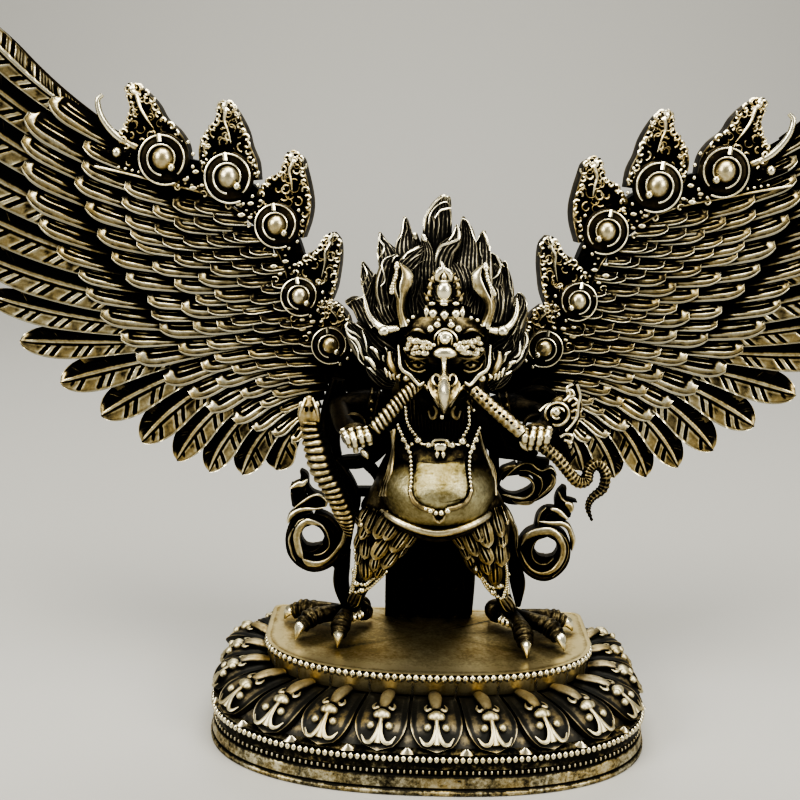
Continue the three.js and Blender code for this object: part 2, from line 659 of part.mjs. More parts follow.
function feet() {
  const solids = [];
  const toes = [
    [[-24.8, 13, 4], [-26, 4, 5], [-26.6, -0.5, 3.6], [-26.9, -3.4, 0.2]],
    [[-26, 13, 4], [-34, 7.5, 5], [-37.6, 4.4, 3.6], [-39.6, 1.2, 0.2]],
    [[-27, 14, 3.6], [-36, 14.5, 4.2], [-41, 15, 3.2], [-44.6, 15.4, 0.2]],
    [[-24.6, 14, 3.4], [-21, 15.5, 3.6], [-19.2, 16.6, 2.6], [-17.6, 18, 0.2]],
    [[26, 13, 4], [27.2, 2, 5], [27.8, -3.4, 3.6], [28.2, -6.8, 0.2]],
    [[27, 13, 4], [34.6, 5.4, 5], [37.8, 1.6, 3.6], [39.8, -2, 0.2]],
    [[28, 14, 3.6], [36.6, 12.6, 4.2], [40.6, 12.4, 3.2], [44.4, 12.2, 0.2]],
    [[25.6, 14, 3.4], [22, 16.5, 3.6], [20.4, 18.2, 2.6], [19, 20, 0.2]],
  ];
  for (const points of toes) {
    solids.push(tube(points.map((p) => at(...p)), [2.8, 3.4, 2.5, 0.3], { sides: 4, steps: 3, across: [0, 0, 1] }));
  }
  const floor = new THREE.BoxGeometry(120 * unit, 60 * unit, 10 * unit);
  floor.translate(0, 10 * unit, at(0, 0, -5).z);
  return solids.map((toe) => toe.subtract(toManifold(floor)));
}

function tail() {
  const sections = [[44, 13, 7, 4], [32, 18.5, 12, 4], [20, 21.5, 14, 3.4], [9, 22.5, 13.6, 3], [0, 23, 14.6, 3]];
  return loft(sections.map(([h, y, half, thick]) => (
    [[-half, 0], [-half * 0.6, -thick], [half * 0.6, -thick], [half, 0], [half * 0.5, thick * 0.9], [-half * 0.5, thick * 0.9]]
      .map(([x, d]) => at(x, y + d, h))
  )));
}

function chestPanel() {
  return tube([at(0.3, -5.5, 61), at(0.3, -9.6, 56), at(0.4, -12.4, 50.5)], [6, 6.6, 5.4],
    { sides: 6, steps: 2, flatness: 0.28, across: [0, 1, 0.4] });
}

function figure() {
  return joined([
    torso(), belt(), backSeat(), tail(), chestPanel(), ...head(), ...earsAndHorns(), ...flames(),
    ...arms(), ...snakes(), ...scarves(), ...legs(), ...feet(),
  ]);
}

const metal = () => new THREE.MeshStandardMaterial({ color: 0x9a8a62, metalness: 1, roughness: 0.38 });

const garuda = new THREE.Group();
garuda.add(toMesh('lotus_plinth', plinth(), metal()));
garuda.add(toMesh('garuda_figure', figure(), metal()));
WINGS.forEach((wing) => garuda.add(toMesh(wing.name, wingSolid(wing), metal())));

export default garuda;
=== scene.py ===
"""Looks of a cast garuda figure on its double lotus plinth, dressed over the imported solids.

Lengths are millimetres until a piece is made, and metres after. The front faces -Y and Z is up.
"""

import logging
import math
from dataclasses import dataclass
from enum import Enum
from functools import partial
from typing import Callable, Sequence

import bpy
import numpy as np
from mathutils import Matrix, Vector
from mathutils.bvhtree import BVHTree


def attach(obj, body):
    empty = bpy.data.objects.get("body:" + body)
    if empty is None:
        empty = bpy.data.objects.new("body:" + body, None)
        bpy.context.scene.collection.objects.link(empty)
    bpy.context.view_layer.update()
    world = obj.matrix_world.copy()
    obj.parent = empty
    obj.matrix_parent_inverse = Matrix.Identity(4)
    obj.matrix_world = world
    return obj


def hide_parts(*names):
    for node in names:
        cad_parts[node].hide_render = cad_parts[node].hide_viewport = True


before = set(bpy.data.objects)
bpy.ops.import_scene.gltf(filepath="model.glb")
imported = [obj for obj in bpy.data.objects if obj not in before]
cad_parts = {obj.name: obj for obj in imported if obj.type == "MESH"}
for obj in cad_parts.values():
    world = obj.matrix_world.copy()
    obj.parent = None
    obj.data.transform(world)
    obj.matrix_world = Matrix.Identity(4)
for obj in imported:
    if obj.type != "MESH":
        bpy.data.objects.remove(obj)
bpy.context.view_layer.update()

LOG = logging.getLogger("garuda")
FRONT = (0.0, -1.0, 0.0)
BACK = (0.0, 1.0, 0.0)
UP = (0.0, 0.0, 1.0)
FIGURE_FOOT = 25.6
MILLIMETRE = 0.001
SENSOR = 36

# The picture is 800 points wide and high, and places in it are given in points.
PICTURE = 800
HORIZON = 154
FACE_MIDDLE = 444.5
BODY_MIDDLE = 441
POINTS_PER_MM = 3.55

Array = np.ndarray
Relief = Callable[[Array, Array], Array | tuple[Array, Array]]


class Slot(Enum):
    """Material slots of the record."""

    FIGURE = "antique_brass"
    PLINTH = "plinth_brass"


# ---------------------------------------------------------------- curves and frames


def blend(values: Sequence, shares: Array) -> Array:
    """A smooth curve through a list of values or points.

    Args:
        values: The numbers or points that the curve passes through.
        shares: Places on the curve, from 0 to 1.

    Returns:
        One value or point for each share.
    """
    known = np.asarray(values, float)
    last = len(known) - 1
    place = np.clip(np.asarray(shares, float), 0.0, 1.0) * last
    cell = np.minimum(place.astype(int), last - 1)
    part = place - cell
    if known.ndim > 1:
        part = part[..., None]
    ends = np.concatenate([[2 * known[0] - known[1]], known, [2 * known[-1] - known[-2]]])
    a, b, c, d = ends[cell], ends[cell + 1], ends[cell + 2], ends[cell + 3]
    return 0.5 * (
        2 * b + (c - a) * part + (2 * a - 5 * b + 4 * c - d) * part**2
        + (3 * b - a - 3 * c + d) * part**3
    )


def unit(vectors: Array) -> Array:
    """The vectors with length 1."""
    return vectors / np.maximum(np.linalg.norm(vectors, axis=-1, keepdims=True), 1e-9)


def frames(line: Array, facing: Sequence) -> tuple[Array, Array, Array]:
    """Directions along a line of points.

    Args:
        line: The points.
        facing: The way that the front looks, one vector or one for each point.

    Returns:
        The directions along the line, outwards and across.
    """
    ahead = unit(np.gradient(line, axis=0))
    wanted = np.broadcast_to(np.asarray(facing, float), line.shape)
    out = np.empty_like(line)
    carried = wanted[0]
    fixed = np.asarray(facing).ndim > 1
    for i, direction in enumerate(ahead):
        carried = wanted[i] if fixed else carried
        carried = carried - direction * (carried @ direction)
        carried = carried / max(np.linalg.norm(carried), 1e-9)
        out[i] = carried
    return ahead, out, np.cross(ahead, out)


def hump(values: Array, middle: float, spread: float) -> Array:
    """A bell curve of height 1."""
    return np.exp(-(((values - middle) / spread) ** 2))


def fade(values: Array, start: float, end: float) -> Array:
    """A smooth step from 0 at the start to 1 at the end, which may lie below the start."""
    part = np.clip((values - start) / (end - start), 0.0, 1.0)
    return part * part * (3 - 2 * part)


def round_end(shares: Array, start: float, power: float = 2.0) -> Array:
    """Width of a strip that rounds off to nothing from the start share on."""
    part = np.clip((shares - start) / (1 - start), 0.0, 1.0)
    return np.maximum(1 - part**power, 0.0) ** (1 / power)


def shaped(relief: Relief | None, first: Array, second: Array) -> tuple[Array, Array]:
    """Height and tone that a relief gives.

    Args:
        relief: The relief, or None for a plain surface.
        first: Its first coordinate.
        second: Its second coordinate.

    Returns:
        Two arrays of the coordinates' common shape.
    """
    blank = first * 0.0 + second * 0.0
    if relief is None:
        return blank, blank
    made = relief(first + blank, second + blank)
    height, tone = made if isinstance(made, tuple) else (made, blank)
    return height + blank, tone + blank


# ---------------------------------------------------------------- forms


@dataclass
class Form:
    """A closed shape before it becomes part of a piece.

    Attributes:
        points: Corners, in millimetres.
        faces: Arrays of triangles and quads.
        tone: How much brighter or darker than its relief each corner is: patina, gilding and wear, and in places
            painted light and shade.
    """

    points: Array
    faces: list[Array]
    tone: Array

    def volume(self) -> float:
        """Signed volume, positive where the faces look outwards."""
        total = 0.0
        for faces in self.faces:
            first = self.points[faces[:, 0]]
            for k in range(1, faces.shape[1] - 1):
                second, third = self.points[faces[:, k]], self.points[faces[:, k + 1]]
                total += float(np.einsum("ij,ij->", first, np.cross(second, third)))
        return total

    def outward(self) -> "Form":
        """The same form with its faces looking outwards."""
        if self.volume() < 0:
            self.faces = [faces[:, ::-1] for faces in self.faces]
        return self

    def placed(
        self, shift: Sequence = (0, 0, 0), scale: Sequence | float = 1.0, turn: Array | None = None
    ) -> "Form":
        """A copy that is scaled, then turned, then moved.

        Args:
            shift: Where its origin goes.
            scale: One factor or three.
            turn: A rotation matrix.

        Returns:
            The copy.
        """
        points = self.points * np.asarray(scale)
        if turn is not None:
            points = points @ np.asarray(turn).T
        return Form(points + np.asarray(shift, float), list(self.faces), self.tone.copy()).outward()

    def mirrored(self, middle: float = 0.0) -> "Form":
        """A copy on the other side of a plane of constant X."""
        points = self.points * [-1, 1, 1] + [2 * middle, 0, 0]
        return Form(points, list(self.faces), self.tone.copy()).outward()

    def toned(self, amount: float) -> "Form":
        """The same form, brighter or darker all over."""
        self.tone = self.tone + amount
        return self


def mirrored(forms: Sequence[Form], middle: float = 0.0) -> list[Form]:
    """Copies of forms on the other side of a plane of constant X."""
    return [form.mirrored(middle) for form in forms]


def joined(forms: Sequence[Form]) -> tuple[Array, list[list[int]]]:
    """All corners of several forms, and their faces by the numbers of those corners."""
    faces, offset = [], 0
    for form in forms:
        for group in form.faces:
            faces += (group + offset).tolist()
        offset += len(form.points)
    return np.concatenate([form.points for form in forms]), faces

def grid_faces(rows: int, cols: int, closed: bool = False) -> Array:
    """Quads of a grid of points.

    Args:
        rows: Rows of points.
        cols: Points in a row.
        closed: Whether each row runs on into its first point.

    Returns:
        The quads, by the numbers of the points.
    """
    r, c = np.meshgrid(np.arange(rows - 1), np.arange(cols if closed else cols - 1), indexing="ij")
    n = (c + 1) % cols
    return np.stack([r * cols + c, r * cols + n, (r + 1) * cols + n, (r + 1) * cols + c], -1).reshape(-1, 4)

def tube_faces(rows: int, sides: int) -> list[Array]:
    """Quads of a tube's wall and the fans on its ends, whose middles are its last two points."""
    k = np.arange(sides)
    n = (k + 1) % sides
    top = (rows - 1) * sides
    caps = np.concatenate([
        np.stack([n, k, np.full(sides, rows * sides)], -1),
        np.stack([top + k, top + n, np.full(sides, rows * sides + 1)], -1),
    ])
    return [grid_faces(rows, sides, True), caps]

def rod(
    path: Sequence, radii: Sequence, sides: int = 10, rows: int = 24, relief: Relief | None = None,
    facing: Sequence = FRONT, flat: float = 1.0, tone: float = 0.0,
) -> Form:
    """A round bar along a path, closed at both ends.

    Args:
        path: Points that its middle passes through.
        radii: Radius at even steps along it.
        sides: Corners round it.
        rows: Rings along it.
        relief: Height of its surface above the radius, by angle from the front and by share.
        facing: The way that angle 0 looks.
        flat: Thickness from front to back, as a share of the width.
        tone: How much brighter it is all over.

    Returns:
        The bar.
    """
    share = np.linspace(0, 1, rows)
    line = blend(path, share)
    _, out, across = frames(line, facing)
    angle = np.linspace(0, 2 * np.pi, sides, endpoint=False)
    height, marks = shaped(relief, angle[None, :], share[:, None])
    radius = np.maximum(blend(radii, share), 0.03)[:, None] + height
    ring = (
        line[:, None, :]
        + out[:, None, :] * (radius * np.cos(angle) * flat)[..., None]
        + across[:, None, :] * (radius * np.sin(angle))[..., None]
    )
    points = np.concatenate([ring.reshape(-1, 3), line[:1], line[-1:]])
    marks = np.concatenate([marks.ravel(), marks[0].mean(keepdims=True), marks[-1].mean(keepdims=True)])
    return Form(points, tube_faces(rows, sides), marks + tone).outward()

def hoop(
    middle: Sequence, radius: float, thick: float, facing: Sequence, sides: int = 6, rows: int = 24,
    start: float = 0.0, turn: float = 2 * np.pi, end_radius: float | None = None, tone: float = 0.0,
) -> Form:
    """A ring or an open curl round a point.

    Args:
        middle: Its middle.
        radius: Its radius at the start.
        thick: Radius of the bar.
        facing: The way that its face looks.
        sides: Corners round the bar.
        rows: Rings along the bar.
        start: Angle where it begins, anticlockwise from the right as seen from the front.
        turn: How far it goes round.
        end_radius: Its radius at the end, if it winds in or out.
        tone: How much brighter it is all over.

    Returns:
        The ring.
    """
    normal = unit(np.asarray(facing, float))
    up = np.array(UP) if abs(normal[2]) < 0.9 else np.array(BACK)
    right = unit(np.cross(up, normal))
    high = np.cross(normal, right)
    angle = start + np.linspace(0, turn, rows)
    size = np.linspace(radius, radius if end_radius is None else end_radius, rows)
    line = (
        np.asarray(middle, float)
        + right * (size * np.cos(angle))[:, None]
        + high * (size * np.sin(angle))[:, None]
    )
    return rod(line, [thick] * rows, sides, rows, facing=facing, tone=tone)


def strip(
    path: Sequence, half: Sequence, facing: Sequence, relief: Relief, rows: int, cols: int,
    thick: float = 0.8, back: Sequence | None = None, tone: float = 0.0, ends: Array | None = None,
    slant: float = 0.0,
) -> Form:
    """A shaped leaf along a path: a modelled front on a plain back.

    Args:
        path: Points that its middle passes through.
        half: Half its width at even steps.
        facing: The way that its front looks.
        relief: Height of the front, by place across from -1 to 1 and by share along.
        rows: Points along it.
        cols: Points across it.
        thick: Distance from the front's base to the back.
        back: Way from the front's base to the back, instead of the thickness.
        tone: How much brighter it is all over.
        ends: Factor on the half width for each row, such as a rounded tip.
        slant: How far its mesh rows lean toward the tip at the edges, as a share of its length.

    Returns:
        The leaf.
    """
    share = np.linspace(0, 1, rows)
    line = blend(path, share)
    _, out, across = frames(line, facing)
    width = blend(half, share)
    if ends is not None:
        width = width * ends
    width = np.maximum(width, 0.0)
    u = np.linspace(-1, 1, cols)
    place = np.minimum(share[:, None] + slant * np.abs(u), 1.0)

    def at(values: Array) -> Array:
        if values.ndim == 1:
            return np.interp(place, share, values)
        return np.stack([np.interp(place, share, values[:, k]) for k in range(3)], -1)

    height, marks = shaped(relief, u[None, :], place)
    front = at(line) + at(across) * (at(width) * u)[..., None] + at(out) * height[..., None]
    behind = np.broadcast_to(np.asarray(back, float), line.shape) if back is not None else -out * thick
    grid = at(line) + at(across) * (at(width) * u)[..., None] + at(behind)
    return backed(front, grid[:, 0], grid[:, -1], marks, tone)


def panel(
    first: Sequence, second: Sequence, facing: Sequence, relief: Relief, rows: int, cols: int,
    back: Sequence, tone: float = 0.0,
) -> Form:
    """A shaped plate between two edges.

    Args:
        first: Points along one edge.
        second: Points along the other edge, from the same end.
        facing: The way that its front looks.
        relief: Height of the front, by place across from -1 to 1 and by share along.
        rows: Points along it.
        cols: Points across it.
        back: Way from the front's base to the back.
        tone: How much brighter it is all over.

    Returns:
        The plate.
    """
    share = np.linspace(0, 1, rows)
    one, other = blend(first, share), blend(second, share)
    u = np.linspace(-1, 1, cols)
    height, marks = shaped(relief, u[None, :], share[:, None])
    part = ((u + 1) / 2)[None, :, None]
    front = one[:, None, :] * (1 - part) + other[:, None, :] * part
    front = front + unit(np.asarray(facing, float)) * height[..., None]
    shift = np.asarray(back, float)
    return backed(front, one + shift, other + shift, marks, tone)


def backed(front: Array, left: Array, right: Array, marks: Array, tone: float) -> Form:
    """A front grid closed by walls, a back and two ends.

    Args:
        front: Grid of the front's points.
        left: The back's edge behind the first column.
        right: The back's edge behind the last column.
        marks: Tone of each point of the front.
        tone: How much brighter it is all over.

    Returns:
        The closed form, with walls that are painted dark as shade from just below the front's edges.
    """
    rows, cols = front.shape[:2]
    upper, lower = front[:, 0] * 0.86 + left * 0.14, front[:, -1] * 0.86 + right * 0.14
    points = np.concatenate([front.reshape(-1, 3), upper, lower, left, right])
    k = np.arange(rows - 1)
    first, last, base, other = (rows * cols + rows * i for i in range(4))
    walls = [
        np.stack([k * cols, (k + 1) * cols, first + k + 1, first + k], -1),
        np.stack([first + k, first + k + 1, base + k + 1, base + k], -1),
        np.stack([(k + 1) * cols + cols - 1, k * cols + cols - 1, last + k, last + k + 1], -1),
        np.stack([last + k + 1, last + k, other + k, other + k + 1], -1),
        np.stack([base + k, base + k + 1, other + k + 1, other + k], -1),
    ]
    fans = []
    for row, flip in ((0, False), (rows - 1, True)):
        edge = [row * cols + i for i in range(cols)] + [last + row, other + row, base + row, first + row]
        fan = [[edge[-1], edge[i], edge[i + 1]] for i in range(len(edge) - 2)]
        fans += [tri[::-1] for tri in fan] if not flip else fan
    # The walls are painted shade: -0.6 just below the front's edges and -0.45 at the back's edges.
    shades = np.concatenate([marks.ravel(), np.full(2 * rows, -0.6), np.full(2 * rows, -0.45)])
    return Form(points, [grid_faces(rows, cols), *walls, np.array(fans)], shades + tone).outward()


def loft(rings: Sequence[Array]) -> Form:
    """A closed skin through rings of equal length, with a fan on each end.

    Args:
        rings: The rings, from one end to the other.

    Returns:
        The skin.
    """
    stack = np.asarray(rings, float)
    rows, sides = stack.shape[:2]
    points = np.concatenate([stack.reshape(-1, 3), stack[0].mean(0)[None], stack[-1].mean(0)[None]])
    return Form(points, tube_faces(rows, sides), np.zeros(len(points))).outward()

def drop_selection() -> None:
    """Leaves object mode with nothing selected."""
    if bpy.context.object is not None and bpy.context.object.mode != "OBJECT":
        bpy.ops.object.mode_set(mode="OBJECT")
    bpy.ops.object.select_all(action="DESELECT")


def taken_form(tone: float = 0.0) -> Form:
    """Takes the active object's mesh as a form and removes the object.

    Args:
        tone: How much brighter the form is all over.

    Returns:
        The form.
    """
    made = bpy.context.object
    mesh = made.data
    points = np.array([v.co for v in mesh.vertices], float)
    faces = [
        np.array([list(p.vertices) for p in mesh.polygons if len(p.vertices) == count])
        for count in sorted({len(p.vertices) for p in mesh.polygons})
    ]
    bpy.data.objects.remove(made)
    bpy.data.meshes.remove(mesh)
    return Form(points, faces, np.full(len(points), tone)).outward()


class Blanks:
    """Small shapes that are modelled once and copied."""

    def __init__(self) -> None:
        """Models each shape."""
        self.ball = self.sphere(14, 9)
        self.bead = self.sphere(10, 6)
        self.seed = self.sphere(8, 5)
        self.tick = self.soft_block()
        self.spike = self.small_spike()

    def sphere(self, around: int, down: int) -> Form:
        """A ball of radius 1.

        Args:
            around: Segments round it.
            down: Rings from pole to pole.

        Returns:
            The ball.
        """
        drop_selection()
        bpy.ops.mesh.primitive_uv_sphere_add(segments=around, ring_count=down, radius=1)
        return taken_form(0.12)

    def soft_block(self) -> Form:
        """An upright block of size 1 with softened edges."""
        drop_selection()
        bpy.ops.mesh.primitive_cube_add(size=1)
        bpy.ops.object.mode_set(mode="EDIT")
        bpy.ops.mesh.select_all(action="SELECT")
        bpy.ops.mesh.bevel(offset=0.18, segments=1)
        bpy.ops.object.mode_set(mode="OBJECT")
        return taken_form(0.1)

    def small_spike(self) -> Form:
        """A small round spike, base at height 0 and tip at height 1."""
        drop_selection()
        bpy.ops.mesh.primitive_cone_add(vertices=8, radius1=1, radius2=0.12, depth=1, location=(0, 0, 0.5))
        bpy.ops.object.transform_apply(location=True, rotation=True, scale=True)
        return taken_form(0.15)


def pebbles(x: Array, y: Array, size: float) -> Array:
    """A bumpy ground, from -1 to 1, with bumps of about a size."""
    a, b = x / size * 2.1, y / size * 2.1
    return (
        np.sin(a + 1.3 * np.sin(b * 0.7)) * np.sin(b + 1.7 * np.sin(a * 0.6 + 1.1))
        + 0.5 * np.sin(2.3 * a - b * 0.8 + 0.4) * np.sin(1.9 * b + a * 0.5)
    ) / 1.5


# ---------------------------------------------------------------- finishes


@dataclass(frozen=True)
class Brass:
    """Brass that is near black in its recesses and polished on its ridges, and that shows the painted light and shade
    which the pieces carry.

    Attributes:
        name: Name of the material.
        deep: Colour of the patina in the recesses, and of painted shade.
        brown: Colour of thin patina.
        warm: Colour of dull metal.
        bright: Colour of polished metal.
        gold: Colour of dull metal where the gilding is left.
        gilded: How much of it is left, from -1 to 1.
        rough: Roughness of the polished metal.
        stain: How much the blotches change the wear.
        grain: Strength of the fine cast grain.
    """

    name: str
    deep: tuple[float, float, float] = (0.0045, 0.0042, 0.0038)
    brown: tuple[float, float, float] = (0.034, 0.026, 0.014)
    warm: tuple[float, float, float] = (0.34, 0.275, 0.14)
    bright: tuple[float, float, float] = (0.92, 0.86, 0.64)
    gold: tuple[float, float, float] = (0.37, 0.275, 0.11)
    gilded: float = 0.0
    rough: float = 0.25
    stain: float = 0.2
    grain: float = 0.3

    def material(self) -> bpy.types.Material:
        """Builds the material's nodes.

        Returns:
            The material.
        """
        made = bpy.data.materials.new(self.name)
        made.use_nodes = True
        nodes, links = made.node_tree.nodes, made.node_tree.links
        nodes.clear()
        out = nodes.new("ShaderNodeOutputMaterial")
        shader = nodes.new("ShaderNodeBsdfPrincipled")
        links.new(shader.outputs["BSDF"], out.inputs["Surface"])
        wear_and_painted_light = nodes.new("ShaderNodeAttribute")
        wear_and_painted_light.attribute_name = "wear_and_painted_light"
        cloud = self.noise(made, 55, 3, 0.55)
        blotch = self.noise(made, 210, 6, 0.7)
        speck = self.noise(made, 1100, 3, 0.6)
        # The attribute holds wear and painted light and shade; the blotches and specks add real stains.
        stained_wear_and_light = self.shifted(made, wear_and_painted_light.outputs["Fac"], blotch, self.stain)
        worn = self.shifted(made, stained_wear_and_light, speck, self.stain * 0.6)
        silver = self.ramp(made, worn, self.warm, self.bright)
        golden = self.ramp(made, worn, self.gold, tuple(0.35 * g + 0.65 * b for g, b in zip(self.gold, self.bright)))
        left = nodes.new("ShaderNodeMapRange")
        left.inputs["From Min"].default_value = 0.42 - 0.25 * self.gilded
        left.inputs["From Max"].default_value = 0.66 - 0.25 * self.gilded
        links.new(cloud, left.inputs["Value"])
        colour = nodes.new("ShaderNodeMix")
        colour.data_type = "RGBA"
        links.new(left.outputs["Result"], colour.inputs["Factor"])
        links.new(silver, colour.inputs["A"])
        links.new(golden, colour.inputs["B"])
        links.new(colour.outputs["Result"], shader.inputs["Base Color"])
        dull = nodes.new("ShaderNodeMapRange")
        dull.inputs["From Min"].default_value = 0.2
        dull.inputs["From Max"].default_value = 0.9
        dull.inputs["To Min"].default_value = 0.55
        dull.inputs["To Max"].default_value = self.rough
        links.new(worn, dull.inputs["Value"])
        links.new(dull.outputs["Result"], shader.inputs["Roughness"])
        shader.inputs["Metallic"].default_value = 1.0
        bump = nodes.new("ShaderNodeBump")
        bump.inputs["Strength"].default_value = self.grain
        bump.inputs["Distance"].default_value = 0.0002
        links.new(speck, bump.inputs["Height"])
        links.new(bump.outputs["Normal"], shader.inputs["Normal"])
        return made

    def ramp(
        self, made: bpy.types.Material, worn: bpy.types.NodeSocket, warm: Sequence, bright: Sequence
    ) -> bpy.types.NodeSocket:
        """Colour by wear and painted light, from patina and painted shade to polished metal.

        Args:
            made: The material.
            worn: How worn each place is, with the painted light and shade added in.
            warm: Colour of dull metal.
            bright: Colour of polished metal.

        Returns:
            The colour.
        """
        ramp = made.node_tree.nodes.new("ShaderNodeValToRGB")
        stops = ramp.color_ramp.elements
        stops[0].position, stops[0].color = 0.24, (*self.deep, 1)
        stops[1].position, stops[1].color = 0.88, (*bright, 1)
        for place, colour in ((0.42, self.brown), (0.62, warm)):
            stop = stops.new(place)
            stop.color = (*colour, 1)
        made.node_tree.links.new(worn, ramp.inputs["Fac"])
        return ramp.outputs["Color"]

    @staticmethod
    def noise(made: bpy.types.Material, scale: float, detail: float, roughness: float) -> bpy.types.NodeSocket:
        """A noise on the piece's own coordinates."""
        nodes, links = made.node_tree.nodes, made.node_tree.links
        coord = nodes.new("ShaderNodeTexCoord")
        noise = nodes.new("ShaderNodeTexNoise")
        noise.inputs["Scale"].default_value = scale
        noise.inputs["Detail"].default_value = detail
        noise.inputs["Roughness"].default_value = roughness
        links.new(coord.outputs["Object"], noise.inputs["Vector"])
        return noise.outputs["Fac"]

    @staticmethod
    def shifted(
        made: bpy.types.Material, base: bpy.types.NodeSocket, noise: bpy.types.NodeSocket, amount: float
    ) -> bpy.types.NodeSocket:
        """Adds a noise about its middle value to a base value.

        Args:
            made: The material.
            base: The value that is changed.
            noise: A noise from 0 to 1.
            amount: The noise's full swing.

        Returns:
            The changed value.
        """
        nodes, links = made.node_tree.nodes, made.node_tree.links
        scaled = nodes.new("ShaderNodeMath")
        scaled.operation = "MULTIPLY_ADD"
        scaled.inputs[1].default_value = amount * 2
        scaled.inputs[2].default_value = -amount
        links.new(noise, scaled.inputs[0])
        added = nodes.new("ShaderNodeMath")
        added.operation = "ADD"
        links.new(base, added.inputs[0])
        links.new(scaled.outputs["Value"], added.inputs[1])
        return added.outputs["Value"]


# ---------------------------------------------------------------- bench


class Bench:
    """Makes pieces from forms, and ages them and paints their light and shade together."""

    def __init__(self) -> None:
        """Starts with no pieces."""
        self.pieces: list[bpy.types.Object] = []
        self.levels: dict[str, float] = {}
        self.finishes: dict[str, bpy.types.Material] = {}

    def make(
        self, name: str, forms: Sequence[Form], finish: Brass, level: float = 0.0, angle: float = 48.0,
        slot: Slot = Slot.FIGURE, node: str = "garuda_figure",
    ) -> None:
        """Makes one piece from forms, smoothed, dressed and riding on the figure.

        Args:
            name: The piece's name.
            forms: Its forms.
            finish: Its finish.
            level: How much brighter or darker the whole piece is, as wear and patina, and for the tail as painted
                shade.
            angle: Edges sharper than this many degrees stay sharp.
            slot: The record's slot for that finish, passed on to keep, which does not use it.
            node: The solid that it stands for.
        """
        points, faces = joined(forms)
        mesh = bpy.data.meshes.new(name)
        mesh.from_pydata((points * MILLIMETRE).tolist(), [], faces)
        tone = mesh.attributes.new("tone", "FLOAT", "POINT")
        tone.data.foreach_set("value", np.concatenate([form.tone for form in forms]).astype(np.float32))
        piece = bpy.data.objects.new(name, mesh)
        bpy.context.scene.collection.objects.link(piece)
        drop_selection()
        bpy.context.view_layer.objects.active = piece
        piece.select_set(True)
        bpy.ops.object.mode_set(mode="EDIT")
        bpy.ops.mesh.select_all(action="SELECT")
        bpy.ops.mesh.remove_doubles(threshold=2e-6)
        bpy.ops.object.mode_set(mode="OBJECT")
        bpy.ops.object.shade_smooth_by_angle(angle=math.radians(angle))
        self.keep(piece, finish, slot, node, level)

    def keep(
        self, piece: bpy.types.Object, finish: Brass, slot: Slot, node: str, level: float = 0.0
    ) -> None:
        """Dresses a piece, lets it ride on the figure and keeps it for ageing and painted shade.

        Args:
            piece: The piece.
            finish: Its finish.
            slot: The record's slot for that finish, which is not used.
            node: The solid that it stands for.
            level: How much brighter or darker the whole piece is, as wear and patina, and for the tail as painted
                shade.
        """
        if finish.name not in self.finishes:
            self.finishes[finish.name] = finish.material()
        piece.data.materials.clear()
        piece.data.materials.append(self.finishes[finish.name])
        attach(piece, "root")
        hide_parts(node)
        self.pieces.append(piece)
        self.levels[piece.name] = level
        LOG.info("%s: %d faces", piece.name, len(piece.data.polygons))

    def age(self, pitch: float = 0.8) -> None:
        """Works out how worn and how lit each point is, and stores it on the pieces.

        Ridges are worn bright and hollows keep their patina. Places that other forms stand close in
        front of are darkened, as patina and painted shade; upward faces get a little painted light,
        and the forms' tones and the pieces' levels add their patina, gilding and painted light and shade.

        Args:
            pitch: Cell size of the grid that tells how crowded a place is, in millimetres.
        """
        clouds = [self.cloud(piece) for piece in self.pieces]
        everything = np.concatenate([points for points, _, _ in clouds])
        low = everything.min(0) - 6
        cells = np.ceil((everything.max(0) + 6 - low) / pitch).astype(int) + 1
        grid = np.zeros(cells, np.float32)
        index = ((everything - low) / pitch).astype(int)
        grid[index[:, 0], index[:, 1], index[:, 2]] = 1.0
        near, wide = self.blurred(grid, 1), self.blurred(grid, 4)
        for piece, (points, normals, edges) in zip(self.pieces, clouds):
            fine = self.stand_out(points, normals, edges, 3)
            broad = self.stand_out(points, normals, edges, 14)
            crowd = np.zeros(len(points))
            for filled, reach, share in ((near, 1.3, 0.5), (wide, 3.4, 0.5)):
                at = ((points + normals * reach - low) / pitch).astype(int)
                at = np.clip(at, 0, cells - 1)
                crowd += share * filled[at[:, 0], at[:, 1], at[:, 2]]
            tone = np.zeros(len(points), np.float32)
            piece.data.attributes["tone"].data.foreach_get("value", tone)
            # crowd darkens where other forms stand close in front: patina and painted shade. normals[:, 2] paints
            # upward faces a little lighter.
            wear_and_painted_light = (
                0.42 + 0.24 * np.tanh(fine / 0.05) + 0.24 * np.tanh(broad / 0.25)
                - 1.3 * np.clip(crowd - 0.1, 0, None) + 0.06 * normals[:, 2]
                + tone + self.levels[piece.name]
            )
            stored = piece.data.attributes.new("wear_and_painted_light", "FLOAT", "POINT")
            stored.data.foreach_set("value", np.clip(wear_and_painted_light, 0, 1).astype(np.float32))
            piece.data.attributes.remove(piece.data.attributes["tone"])

    @staticmethod
    def cloud(piece: bpy.types.Object) -> tuple[Array, Array, Array]:
        """Points in millimetres, normals and edges of a piece."""
        mesh = piece.data
        count = len(mesh.vertices)
        points, normals = np.zeros(count * 3), np.zeros(count * 3, np.float32)
        mesh.vertices.foreach_get("co", points)
        mesh.vertex_normals.foreach_get("vector", normals)
        edges = np.zeros(len(mesh.edges) * 2, int)
        mesh.edges.foreach_get("vertices", edges)
        return points.reshape(-1, 3) * 1000, normals.reshape(-1, 3).astype(float), edges.reshape(-1, 2)

